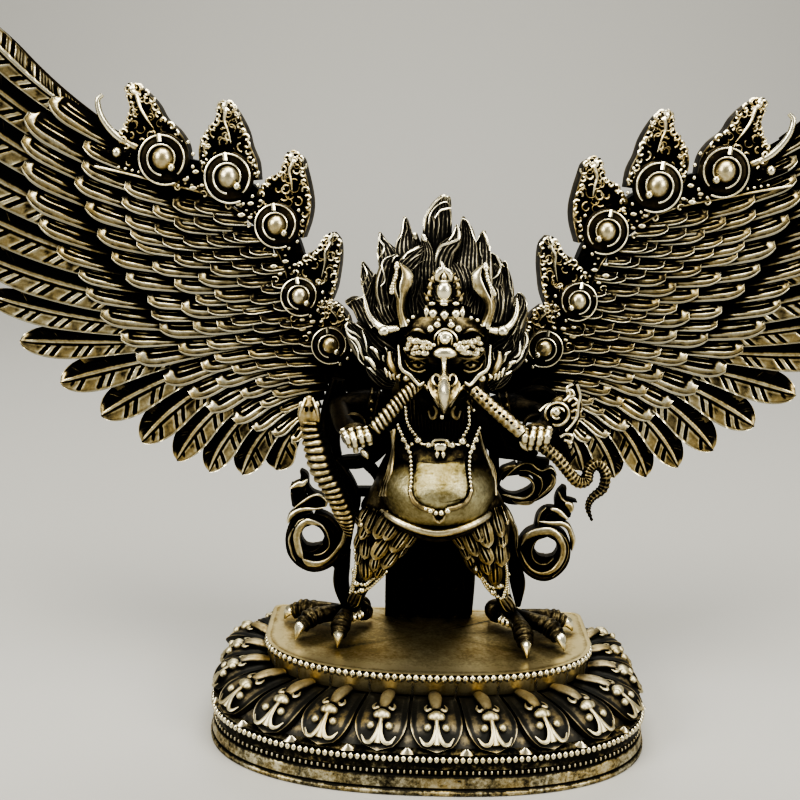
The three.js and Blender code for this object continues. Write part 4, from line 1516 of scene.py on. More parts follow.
        def ground(u: Array, v: Array) -> tuple[Array, Array]:
            rim = fade(np.abs(u), 0.78, 0.94)
            bumps = pebbles(u * 3.4 + jewel.x, v * tall, 1.0)
            return -0.5 + 0.75 * rim + 0.3 * bumps, -0.42 + 0.2 * rim + 0.12 * bumps

        forms = [panel(outer, inner, FRONT, ground, rows, 17, (-0.5 * jewel.lean, 5.4, 0.0))]

        def spot(p: float, q: float, lift: float) -> Array:
            one, other = blend(outer, np.array([q]))[0], blend(inner, np.array([q]))[0]
            return one * (1 - p) / 2 + other * (1 + p) / 2 - [0, lift, 0]

        steps = int(tall / 2.1)
        for i in range(steps):
            q = 0.1 + 0.86 * i / max(steps - 1, 1)
            size = 0.85 + 0.4 * math.sin(i * 2.1 + jewel.x) ** 2
            for sign in (-1, 1):
                middle = spot(sign * (0.84 + 0.05 * math.sin(i * 1.3)), q, 0.25)
                forms.append(hoop(
                    middle, size, 0.4, FRONT, 5, 10, 1.1 * i + (0.4 if sign > 0 else 2.7), sign * 4.4, size * 0.3,
                    tone=0.04))
        rng = np.random.default_rng(int(jewel.x))
        count = int(tall * 1.3)
        for i in range(count):
            q, p = 0.08 + 0.84 * i / count, rng.uniform(-0.66, 0.66)
            size = rng.uniform(0.8, 1.7)
            forms.append(hoop(
                spot(p, q, 0.35), size, 0.36, FRONT, 5, 10, rng.uniform(0, 6.28),
                rng.choice([-1, 1]) * rng.uniform(2.4, 4.8),
                size * rng.uniform(0.25, 0.75), tone=rng.uniform(-0.34, -0.02)))
        stem = [spot(0.25, 0.62, 0.2), spot(0.1, 0.46, 0.4), spot(-0.2, 0.33, 0.5), spot(-0.05, 0.2, 0.6),
            spot(0.0, 0.1, 0.5)]
        forms.append(rod(stem, [0.15, 0.4, 0.5, 0.6, 0.4], 6, 26, tone=0.0))
        tip = [spot(0.3, 0.2, 0.3), spot(-0.2, 0.13, 0.6), spot(0.1, 0.06, 0.6), spot(0, 0.0, 0.2)]
        forms.append(rod(tip, [0.45, 0.8, 0.8, 0.35], 7, 16, tone=0.16))
        return forms

    def front_of(self, jewel: Jewel) -> float:
        """Y of a finial's front."""
        return float(self.sheet(np.array([jewel.x, 0.0]), 5.0)[0, 1])

    def boss(self, jewel: Jewel) -> list[Form]:
        """The ringed ball at a finial's foot, with rings that run into a comma."""
        r = jewel.radius
        middle = np.array([jewel.x, self.front_of(jewel) - 1.0, SEAT_MIDDLE + jewel.z])
        front = middle + [0, -0.9, 0]
        gap = 3.9
        ball, bead = self.blanks.ball, self.blanks.bead
        toward = np.array([math.cos(gap), 0, math.sin(gap)])
        over = np.array([math.cos(1.4), 0, math.sin(1.4)])
        last = jewel is JEWELS[0]
        forms = [
            ball.placed(middle, (r * 1.24, 1.3, r * 1.24)).toned(-0.62),
            hoop(front, r * 1.27, r * 0.055, FRONT, 7, 48, gap + 0.35, 2 * math.pi - 0.3, r * 0.98, tone=0.12),
            hoop(front + [0, -0.7, 0], r * 0.8, r * 0.055, FRONT, 7, 40, gap + 0.9, 2 * math.pi - 1.2, r * 0.56,
                tone=0.14),
            ball.placed(front + [0, -0.5, 0], (r * 0.52, r * 0.44, r * 0.55)).toned(-0.34 if last else -0.27),
            bead.placed(front + toward * r * 0.6 + [0, -r * 0.24, 0], (r * 0.2, r * 0.18, r * 0.2)).toned(0.16),
            rod([front + over * r * 0.78 + [0, -0.5, 0], front + over * r * 1.16], [r * 0.12] * 2, 6, 4, tone=0.14),
        ]
        for k in range(5):
            angle = gap - 1.35 + 0.42 * k
            place = front + np.array([math.cos(angle), 0.12, math.sin(angle)]) * r * 1.44
            forms.append(bead.placed(place, (0.6, 0.5, 0.6)).toned(-0.02))
        if last:
            for k in range(3):
                forms.append(hoop(
                    front + [(-0.5 + 0.5 * k) * r * 0.4, -r * 0.36, (0.3 - 0.3 * k) * r * 0.5],
                    r * 0.2, 0.3, FRONT, 5, 12,
                    1.5 * k, 4.6, r * 0.06, tone=0.2))
        return forms

    def arm(self) -> list[Form]:
        """The dark pebbled arm behind the finials, with small leaves between them and a thin lower edge."""
        xs = [2.5, 14, 27, 36, 41, 47, 62, 84, 98]
        zs = [2, 2, 1, 10, 21, 38, 51, 57, 60]
        half = [9.6, 9.6, 9.6, 5, 4, 4, 4, 3, 0.5]
        share = np.linspace(0, 1, 60)
        flat = np.stack([blend(xs, share), blend(zs, share)], 1)

        def ground(u: Array, v: Array) -> Array:
            return 0.35 * (1 - u**2) + 0.4 * pebbles(u * 6, v * 110, 1.6)

        forms = [strip(self.sheet(flat, 4.6), blend(half, share), FRONT, ground, 96, 15, back=(0, 6.0, 0)).toned(-0.5)]
        edge = self.sheet(flat[20:] + [1.6, -4.4], 4.8)
        forms.append(rod(edge, [0.36] * 40, 6, 70, tone=-0.02))
        forms += beaded(self.blanks.seed, edge[2:-3] + [-1.4, -0.2, 1.0], 1.9, (0.55, 0.4, 0.45))
        for first, second in zip(JEWELS[:-1], JEWELS[1:]):
            way = np.array([second.x - first.x, second.z - first.z])
            off = unit(np.array([way[1], -way[0]]))
            for t, aside, size in ((0.36, 0.75, 0.9), (0.48, 1.0, 1.25), (0.62, 0.7, 1.0), (0.5, 0.2, 1.1),
                    (0.42, -0.3, 0.8)):
                place = np.array([first.x, first.z]) + way * t + off * aside * first.radius
                forms.append(self.blanks.bead.placed(self.sheet(place, 6.2)[0], (size, 0.6, size * 0.62)).toned(-0.12))
            for t, sign in ((0.3, 1), (0.7, -1)):
                place = self.sheet(np.array([first.x, first.z]) + way * t + off * 1.15 * first.radius, 6.0)[0]
                forms.append(hoop(place, 1.1, 0.3, FRONT, 5, 12, 2.0 * t, sign * 4.5, 0.4, tone=0.0))
        return forms

    def crest(self) -> list[Form]:
        """The small curl and bead beyond the outer finial."""
        curl = self.sheet(np.array([[88, 61], [93.5, 64], [97.5, 69], [98.6, 73.6], [97.2, 75.5]]), 3.4)
        return [
            rod(curl, [1.3, 1.1, 0.9, 0.8, 0.6], 8, 22, tone=0.1),
            self.blanks.bead.placed(self.sheet(np.array([93.4, 59.6]), 4.6)[0], 1.5),
        ]

    def build(self, bench: Bench) -> None:
        """Makes the wing's pieces."""
        groups: dict[str, list[Form]] = {
            "primaries": [self.primary(i) for i in range(PRIMARIES)],
            "back": [self.primary(i, True) for i in range(PRIMARIES)] + [self.web().toned(0.36)],
        }
        for row in ROWS:
            seats = self.seated(row.tips)
            kept = groups.setdefault("coverts" if row.length > 17 else "scales", [])
            kept += [self.covert(row, seats, i) for i in range(len(seats))]
        rise = (0, 0, 0.8 if self.side > 0 else 0.0)
        groups["finials"] = [form.placed(rise) for jewel in JEWELS for form in self.finial(jewel)]
        groups["bosses"] = [form.placed(rise) for jewel in JEWELS for form in self.boss(jewel)]
        groups["arm"] = self.arm() + self.crest()
        levels = {"primaries": -0.02, "coverts": 0.0, "scales": -0.04, "back": -0.1, "finials": 0.0, "arm": -0.05}
        for name, forms in groups.items():
            placed = forms if self.side > 0 else mirrored(forms)
            bench.make(f"{self.name}_{name}", placed, self.finish, levels.get(name, 0.0), node=self.name)


# ---------------------------------------------------------------- figure


def high(x: float, y: float, h: float) -> Array:
    """A point by its height above the figure's foot."""
    return np.array([x, y, FIGURE_FOOT + h])


def raised(*places: tuple[float, float, float]) -> Array:
    """Points by their heights above the figure's foot."""
    return np.array([high(*place) for place in places])


class Skin:
    """A surface that details are laid on, found from places in the picture."""

    def __init__(self, forms: Sequence[Form]) -> None:
        """Gathers the surface.

        Args:
            forms: The forms that it is made of.
        """
        points, faces = joined(forms)
        self.tree = BVHTree.FromPolygons(points.tolist(), faces)

    def touch(self, u: float, v: float, depth: float = 0.0, middle: tuple | None = None) -> tuple[Array, Array]:
        """The point seen at a place in the picture, and the way that it looks.

        Args:
            u: Place to the right in the picture.
            v: Place down in the picture.
            depth: Rough Y of the surface, for places just beside it.
            middle: Where a place that misses is drawn toward in the picture.

        Returns:
            The point and the direction.
        """
        eye = Vector((LENS.across, -LENS.distance, LENS.height))
        for share in np.linspace(0, 0.4, 21 if middle else 1):
            goal = LENS.spot(*(np.array([u, v]) * (1 - share) + np.array(middle or (u, v)) * share), depth)
            ray = (Vector(goal) - eye).normalized()
            place, normal, _, _ = self.tree.ray_cast(eye, ray)
            if place is not None:
                break
        if place is None:
            place, normal, _, _ = self.tree.find_nearest(Vector(LENS.spot(u, v, depth)))
        if normal.dot(ray) > 0:
            normal = -normal
        return np.array(place), np.array(normal)

    def line(self, places: Sequence[tuple[float, float]], lift: float = 0.0, depth: float = 0.0) -> tuple[Array, Array]:
        """Points on the surface and their facings.

        Args:
            places: Places in the picture.
            lift: Height above the surface.
            depth: Rough Y of the surface.

        Returns:
            The points and the facings.
        """
        found = [self.touch(u, v, depth) for u, v in places]
        facing = np.array([normal for _, normal in found])
        return np.array([place for place, _ in found]) + facing * lift, facing


def beaded(blank: Form, path: Array, pitch: float, size: float | Sequence[float]) -> list[Form]:
    """Beads at even steps along a path."""
    line = blend(path, np.linspace(0, 1, 160))
    gone = np.concatenate([[0], np.cumsum(np.linalg.norm(np.diff(line, axis=0), axis=1))])
    count = max(int(round(gone[-1] / pitch)), 1)
    wanted = np.linspace(0, gone[-1], count + 1)
    places = np.stack([np.interp(wanted, gone, line[:, k]) for k in range(3)], 1)
    return [blank.placed(place, size) for place in places]


def lock(
    path: Sequence, half: Sequence, rows: int = 40, grooves: float = 3.0, facing: Sequence = FRONT,
    thick: float = 2.0, twist: float = 0.0, tone: float = 0.0, swell: float = 1.2, rims: float = 0.25,
) -> Form:
    """A dark flame-like lock of hair with fine strands along it.

    Args:
        path: Points that its middle passes through.
        half: Half its width at even steps.
        rows: Points along it.
        grooves: How many grooves lie side by side.
        facing: The way that its front looks.
        thick: Distance from its edges to its back.
        twist: How far the strands slant across it.
        tone: How much brighter it is all over.
        swell: Height of its middle.
        rims: How bright its edges are toward the tip.

    Returns:
        The lock.
    """
    def strands(u: Array, v: Array) -> tuple[Array, Array]:
        wave = np.cos((u + twist * v + 0.1 * np.sin(v * 7)) * math.pi * grooves * 1.6)
        edge = fade(np.abs(u), 0.76, 0.94)
        height = swell * np.sqrt(np.clip(1 - u**2, 0, 1)) * 0.9 + 0.12 * wave * (1 - edge) + 0.2 * edge
        return height, -0.2 + 0.15 * wave * (1 - edge) + rims * edge * fade(v, 0.25, 0.8) + 0.2 * fade(v, 0.86, 1.0)

    cols = max(int(grooves * 6) | 1, 11)
    return strip(path, half, facing, strands, rows, cols, thick, tone=tone)


def stroke(
    skin: "Skin", places: Sequence[tuple[float, float]], width: float, tone: float = 0.12, depth: float = 0.0,
    lift: float = 0.1,
) -> Form:
    """A raised line along a surface, pointed at both ends.

    Args:
        skin: The surface that it lies on.
        places: Where it runs in the picture.
        width: Its width in the picture.
        tone: How much brighter it is.
        depth: Rough Y of the surface.
        lift: How far its middle stands before the surface.

    Returns:
        The line.
    """
    steps = blend(places, np.linspace(0, 1, 4 * len(places) - 3))
    path = np.array([skin.touch(u, v, depth, (444, 300))[0] for u, v in steps])
    wide = np.pad(path[:, 1], 1, "edge")
    near = np.minimum(np.minimum(wide[:-2], wide[1:-1]), wide[2:])
    path[:, 1] = np.convolve(np.pad(near, 2, "edge"), [0.15, 0.22, 0.26, 0.22, 0.15], "valid") - lift
    radius = width * 0.15
    return rod(path, [radius * 0.4, radius, radius * 1.05, radius, radius * 0.4], 6, len(steps) + 2, tone=tone)


def leaf(
    path: Sequence, half: Sequence, facing: Sequence, rows: int = 20, cuts: int = 2, thick: float = 1.0,
    tone: float = 0.0, swell: float = 0.7,
) -> Form:
    """A rounded leaf with a bright rim and grooves that run to its tip.

    Args:
        path: Points from root to tip.
        half: Half its width at even steps.
        facing: The way that its front looks.
        rows: Points along it.
        cuts: How many grooves.
        thick: Distance from its edges to its back.
        tone: How much brighter it is all over.
        swell: Height of its middle.

    Returns:
        The leaf.
    """
    middles = np.linspace(-0.45, 0.45, cuts) if cuts > 1 else [0.0]

    def front(u: Array, v: Array) -> Array:
        groove = sum(hump(u, middle * (0.8 + 0.3 * v), 0.11) for middle in middles)
        return swell * (1 - 0.8 * u**2) - 0.55 * groove * fade(v, 0.86, 0.7) + 0.25 * fade(np.abs(u), 0.7, 0.9)

    return strip(path, half, facing, front, rows, 15, thick, tone=tone,
        ends=round_end(np.linspace(0, 1, rows), 0.6, 2.0))


@dataclass
class Torso:
    """The round body with its chest panel, necklaces, navel and belt."""

    blanks: Blanks
    finish: Brass
    dark: Brass
    levels: tuple = (
        (37.4, 11, 10, 9), (39.6, 15, 15.2, 13), (43, 17.2, 17.6, 15), (50, 17.6, 19, 15.5), (57, 14.6, 13.5, 14),
        (69, 12.5, 6.5, 12), (76, 8, 5, 8),
    )
    middle: tuple = (0.6, 7.0)

    def ring(self, h: float, grow: float = 0.0, count: int = 64) -> Array:
        """The body's outline at a height."""
        known = np.array(self.levels, float)
        share = np.interp(h, known[:, 0], np.linspace(0, 1, len(known)))
        _, half, front, back = blend(known, np.array([share]))[0] + [0, grow, grow, grow]
        angle = np.linspace(0, 2 * np.pi, count, endpoint=False)
        depth = np.where(np.sin(angle) < 0, front, back)
        return np.stack([
            self.middle[0] + half * np.cos(angle), self.middle[1] + depth * np.sin(angle),
            np.full(count, FIGURE_FOOT + h)], 1)

    def body(self) -> Form:
        """The smooth body."""
        return loft([self.ring(h) for h in np.linspace(37.4, 76, 44)])

    def shaded(self, body: Form) -> Form:
        """The body with a worn belly and dark back and chest, and painted shade on the belly's left flank, its right
        edge and just above the belt.
        """
        x, y, z = body.points.T
        belly = fade(z - FIGURE_FOOT, 64, 52) * fade(y, 4, -6)
        low = fade(z - FIGURE_FOOT, 42, 39)
        # The belly is painted darker as shade toward its left flank, at its right edge and just above the belt.
        painted_flank_shade = 0.34 * fade(x + 0.35 * (z - 70), -6, -15) + 0.16 * fade(x, 13, 17) + 0.1 * low
        body.tone = -0.5 + (0.4 - painted_flank_shade) * belly
        return body

    def panel(self, skin: Skin) -> Form:
        """The worn panel over the belly, with painted shade at its top and sides and a painted highlight in its upper
        part.
        """
        def front(u: Array, v: Array) -> tuple[Array, Array]:
            height = 0.9 * (1 - np.abs(u) ** 2.6) * fade(v, -0.05, 0.2) + 0.3 * hump(v, 0.4, 0.5) - 0.4
            # shade paints the top and sides darker; the hump term adds a painted highlight.
            shade = 0.1 - 0.3 * fade(np.abs(u), 0.75, 1) - 0.5 * fade(v, 0.2, 0.02)
            return height, shade + 0.12 * hump(u - 0.2, 0.1, 0.5) * hump(v, 0.3, 0.2)

        rows = 40
        path, _ = skin.line([(BODY_MIDDLE, v) for v in (456, 466, 478, 490, 499, 505)], -0.6)
        return strip(
            path, np.array([23, 24, 25, 25, 22, 9]) / POINTS_PER_MM, (0, -1, 0.02), front, rows, 25, 1.5,
            ends=round_end(np.linspace(0, 1, rows), 0.85, 2))

    def studs(self, skin: Skin, places: Sequence[tuple[float, float, float]]) -> list[Form]:
        """Beads on the body, by their places in the picture and their sizes."""
        forms = []
        for u, v, size in places:
            place, normal = skin.touch(u, v)
            forms.append(self.blanks.bead.placed(place + normal * 0.9, size))
        return forms

    def ropes(self, skin: Skin) -> list[Form]:
        """The ropes beside the panel and the beads between their ends."""
        forms: list[Form] = []
        for side_path in (
            [(411, 453), (412, 466), (412, 480), (411, 491), (415, 501), (424, 507), (434, 510)],
            [(469, 453), (468, 466), (469, 480), (470, 491), (465, 501), (456, 506), (447, 508)],
        ):
            rope, _ = skin.line(side_path, 0.6)
            forms.append(rod(rope, [0.3, 0.35, 0.45, 0.7, 0.85, 0.85, 0.8], 8, 60, tone=-0.26))
            forms += beaded(self.blanks.seed, rope[:4] + [0, -0.2, 0], 1.25, 0.62)
        return forms + self.studs(
            skin, ((431, 509, 0.8), (436, 511, 0.7), (441, 511, 0.85), (447, 509, 0.9), (426, 507, 0.6)))

    def chains(self, skin: Skin) -> list[Form]:
        """The strings of beads on the chest, with larger beads between them."""
        forms: list[Form] = []
        for chain in (
            [(407, 408), (408, 420), (412, 430), (418, 438)],
            [(400, 414), (400, 426), (403, 434), (408, 446), (410, 452)],
            [(467, 408), (468, 420), (467, 428), (461, 439)],
            [(482, 408), (480, 420), (477, 430), (472, 444), (470, 452)],
        ):
            path, _ = skin.line(chain, 0.7)
            forms += beaded(self.blanks.seed, path, 1.15, 0.62)
            forms.append(rod(path, [0.35] * len(path), 6, 30, tone=-0.2))
        studs = self.studs(skin, (
            (419, 441, 1.15), (429, 446, 1.0), (451, 446, 1.1), (461, 442, 1.25), (405, 440, 0.9),
            (409, 448, 0.95), (474, 440, 1.0), (471, 448, 0.95), (413, 445, 0.6), (466, 446, 0.6)))
        return forms + [stud.toned(0.05) for stud in studs]

    def clasp(self, skin: Skin) -> list[Form]:
        """The box in the middle of the necklace, with its handle, drops and links."""
        box, normal = skin.touch(440, 448)
        box = box + normal * 1.2
        handle = box + [[-2.3, 0, 0.2], [-1.9, -0.4, 1.8], [0, -0.5, 2.2], [1.9, -0.4, 1.8], [2.3, 0, 0.2]]
        forms = [
            self.blanks.tick.placed(box, (3.3, 1.8, 2.3)).toned(0.1),
            rod(handle, [0.4] * 5, 6, 16, tone=0.08),
        ]
        for u in (437, 443):
            path, _ = skin.line([(u, 451), (u, 455), (u, 459)], 0.8)
            forms.append(rod(path, [0.25, 0.75, 0.15], 8, 8, tone=0.15))
        for start, end in ((419, 429), (429, 436), (445, 451), (451, 461)):
            path, _ = skin.line([(start, 443), ((start + end) / 2, 445), (end, 445)], 0.5)
            forms.append(rod(path, [0.4] * 3, 6, 8, tone=0.05))
        return forms

    def belt(self) -> list[Form]:
        """The rolled belt below the belly."""
        angle = np.linspace(0, 2 * np.pi, 97)
        rolls = []
        for drop, reach, thick, tone in ((0.0, 0.5, 1.15, -0.16), (1.9, 0.2, 0.5, -0.7), (-2.1, -0.6, 1.0, -0.5)):
            hang = 38.4 + drop + 4.6 * np.abs(np.cos(angle)) ** 1.5
            lift = np.stack([
                0.6 + (17.6 + reach - 0.4 * abs(drop)) * np.cos(angle),
                7 + (15.4 + reach) * np.sin(angle), FIGURE_FOOT + hang], 1)
            rolls.append(rod(lift, [thick] * 9, 10, 150, facing=UP, tone=tone))
        return rolls

    def creases(self, skin: Skin) -> list[Form]:
        """The navel and the lines down both flanks."""
        navel, normal = skin.touch(439, 517)
        forms = [self.blanks.seed.placed(navel + normal * 0.1, (1.1, 0.5, 0.8)).toned(-0.9)]
        for sign in (-1, 1):
            path, _ = skin.line([(439 + sign * 6, 514), (439 + sign * 4, 519), (439, 522)], 0.2)
            forms.append(rod(path, [0.2, 0.5, 0.5], 6, 10, tone=-0.05))
        for sign in (-1, 1):
            for k, lean in enumerate((0, 5, 10)):
                away = ((44 + lean * 0.4, 425 + k * 3), (56 - k, 448), (52 - lean * 0.3, 470), (60 - lean * 0.5, 496))
                path, _ = skin.line([(BODY_MIDDLE + sign * a, v) for a, v in away], 0.3)
                forms.append(rod(path, [0.5] * 4, 6, 30, tone=-0.1))
        return forms

    def nape(self, skin: Skin) -> list[Form]:
        """Fine hair down the neck."""
        forms = []
        for k in range(22):
            away = 404 + k * 3.5 - BODY_MIDDLE
            places = [(BODY_MIDDLE + away * share, v) for share, v in ((1, 400), (0.97, 420), (0.9, 436))]
            path, _ = skin.line(places, 0.15)
            forms.append(rod(path, [0.5, 0.45, 0.1], 5, 16, tone=-0.3))
        return forms

    def build(self, bench: Bench) -> None:
        """Makes the body's pieces."""
        body = self.body()
        skin = Skin([body])
        bench.make("body", [self.shaded(body)], self.dark)
        bench.make("chest_panel", [self.panel(skin)], self.dark, 0.06)
        bench.make("necklaces", self.ropes(skin) + self.chains(skin) + self.clasp(skin), self.finish, -0.08)
        bench.make("belt", self.belt(), self.finish)
        bench.make("body_lines", self.creases(skin), self.finish, -0.1)
        bench.make("neck_hair", self.nape(skin), self.finish, -0.15)


@dataclass
class Hair:
    """Flame-like locks that stand up from the head."""

    blanks: Blanks
    finish: Brass

    def front_locks(self) -> list[Form]:
        """The dark locks that the front shows, traced one by one."""
        d = 6.0
        listed = [
            ([(437, 275, d), (437, 258, d), (437, 240, 7), (438, 222, 8), (441, 208, 9), (445, 196, 9)],
             [3.6, 3.9, 4.0, 3.9, 3.0, 1.2], 4, 0.6, 2.8),
            ([(414, 300, 2), (412, 272, 3), (405, 250, 6), (406, 232, 9), (405, 217, 10)],
             [3.4, 3.6, 3.0, 1.6, 0.4], 3, 0.2, 2.4),
            ([(398, 300, 3), (394, 275, 5), (387, 256, 8), (383, 244, 10), (380, 233, 11)],
             [3.4, 3.4, 2.8, 1.6, 0.4], 3, 0.2, 2.4),
            ([(384, 318, 3), (378, 300, 5), (370, 283, 8), (366, 272, 10), (363, 262, 11)],
             [3.2, 3.2, 2.6, 1.5, 0.4], 3, 0, 2.4),
            ([(376, 335, 4), (368, 318, 6), (360, 306, 9), (354, 301, 11), (347, 303, 12)],
             [3, 3, 2.4, 1.5, 0.6], 3, 0, 2.2),
            ([(388, 312, 1), (383, 292, 2), (384, 275, 3), (388, 262, 4), (398, 255, 4)],
             [2.0, 2.2, 2.0, 1.4, 0.5], 2, 0, 1.8),
            ([(448, 290, 2), (442, 268, 3), (446, 251, 4), (455, 240, 5), (457, 225, 6)],
             [2.8, 2.9, 2.6, 1.8, 0.4], 3, 0.3, 2.0),
            ([(468, 295, 3), (466, 270, 4), (466, 250, 7), (466, 232, 9), (463, 217, 10)],
             [3.4, 3.5, 3.2, 2.2, 0.4], 4, 0, 2.4),
            ([(482, 300, 3), (482, 275, 5), (482, 258, 8), (482, 244, 10), (484, 231, 11)],
             [3.2, 3.2, 2.8, 1.9, 0.5], 3, 0, 2.4),
            ([(492, 310, 3), (494, 290, 5), (494, 275, 8), (497, 264, 9), (492, 254, 10)],
             [3, 3, 2.4, 1.6, 0.5], 3, 0, 2.2),
            ([(500, 325, 3), (503, 305, 5), (505, 288, 8), (504, 274, 10), (504, 262, 11)],
             [3, 3, 2.5, 1.8, 0.5], 3, 0, 2.4),
            ([(508, 338, 4), (514, 322, 6), (519, 310, 9), (520, 301, 11), (519, 294, 12)],
             [3, 3, 2.6, 1.9, 0.7], 3, 0, 2.2),
            ([(403, 290, 1), (403, 273, 2), (409, 262, 3), (418, 253, 4), (427, 247, 5)],
             [2.2, 2.6, 2.5, 2.0, 0.8], 3, 0, 1.6),
            ([(434, 300, 1), (428, 284, 2), (426, 266, 3), (427, 252, 4), (423, 236, 6)],
             [2.0, 2.4, 2.3, 1.7, 0.7], 3, 0, 1.6),
            ([(424, 310, 0), (416, 292, 1), (416, 272, 3), (418, 254, 5), (415, 234, 7)],
             [2.0, 2.4, 2.3, 1.7, 0.7], 3, 0, 1.6),
            ([(456, 300, 0), (458, 286, 1), (452, 272, 3), (446, 264, 4), (438, 256, 5)],
             [2.0, 2.5, 2.4, 1.7, 0.5], 3, 0, 1.6),
            ([(464, 305, 0), (470, 288, 1), (466, 274, 3), (460, 264, 5), (452, 254, 6)],
             [2.0, 2.5, 2.4, 1.7, 0.5], 3, 0, 1.6),
            ([(474, 315, 0), (476, 300, 1), (474, 284, 3), (474, 268, 5), (470, 252, 7)],
             [2.0, 2.5, 2.4, 1.7, 0.5], 3, 0, 1.6),
            ([(412, 318, -1), (410, 302, 0), (412, 288, 1), (414, 274, 3), (416, 262, 4)],
             [2.2, 2.5, 2.3, 1.6, 0.5], 3, 0, 1.6),
            ([(492, 322, 1), (496, 306, 2), (494, 290, 4), (497, 276, 6), (494, 264, 7)],
             [2.2, 2.5, 2.3, 1.6, 0.5], 3, 0, 1.6),
            ([(392, 322, 0), (386, 308, 1), (388, 294, 3), (386, 282, 4), (388, 270, 5)],
             [2.2, 2.5, 2.3, 1.6, 0.5], 3, 0, 1.6),
            ([(378, 326, 1), (372, 312, 3), (372, 300, 4), (374, 288, 5), (376, 274, 6)],
             [2.2, 2.5, 2.3, 1.6, 0.5], 3, 0, 1.6),
        ]
        return [
            lock(spots(*path), half, 38, grooves, twist=twist, thick=thick + 1.2, tone=-0.14, rims=0.12)
            for path, half, grooves, twist, thick in listed
        ]

    def side_locks(self) -> list[Form]:
        """The dark flame beside each cheek."""
        listed = [
            ([(392, 372, 4), (376, 362, 3), (364, 348, 3), (355, 334, 4), (348, 322, 5)], [2.0, 3.0, 3.2, 2.6, 0.9]),
            ([(394, 356, 4), (382, 350, 3), (372, 342, 3), (364, 332, 3.5), (358, 322, 4.5)],
             [2.2, 2.8, 2.6, 2.0, 0.5]),
            ([(394, 384, 3), (384, 380, 2), (374, 372, 2.5), (366, 364, 4)], [1.6, 2.2, 1.9, 0.5]),
            ([(490, 372, 4), (504, 366, 3), (514, 356, 3), (521, 345, 4), (525, 332, 5)], [2.0, 3.0, 3.2, 2.4, 0.9]),
            ([(490, 356, 4), (500, 350, 3), (508, 343, 3), (513, 335, 3.5), (516, 326, 4.5)],
             [2.2, 2.8, 2.6, 2.0, 0.5]),
            ([(490, 386, 3), (498, 382, 2), (505, 376, 2.5), (512, 370, 4)], [1.6, 2.0, 1.7, 0.5]),
        ]
        return [lock(spots(*path), half, 34, 3, thick=2.8, tone=-0.2, rims=0.05) for path, half in listed]

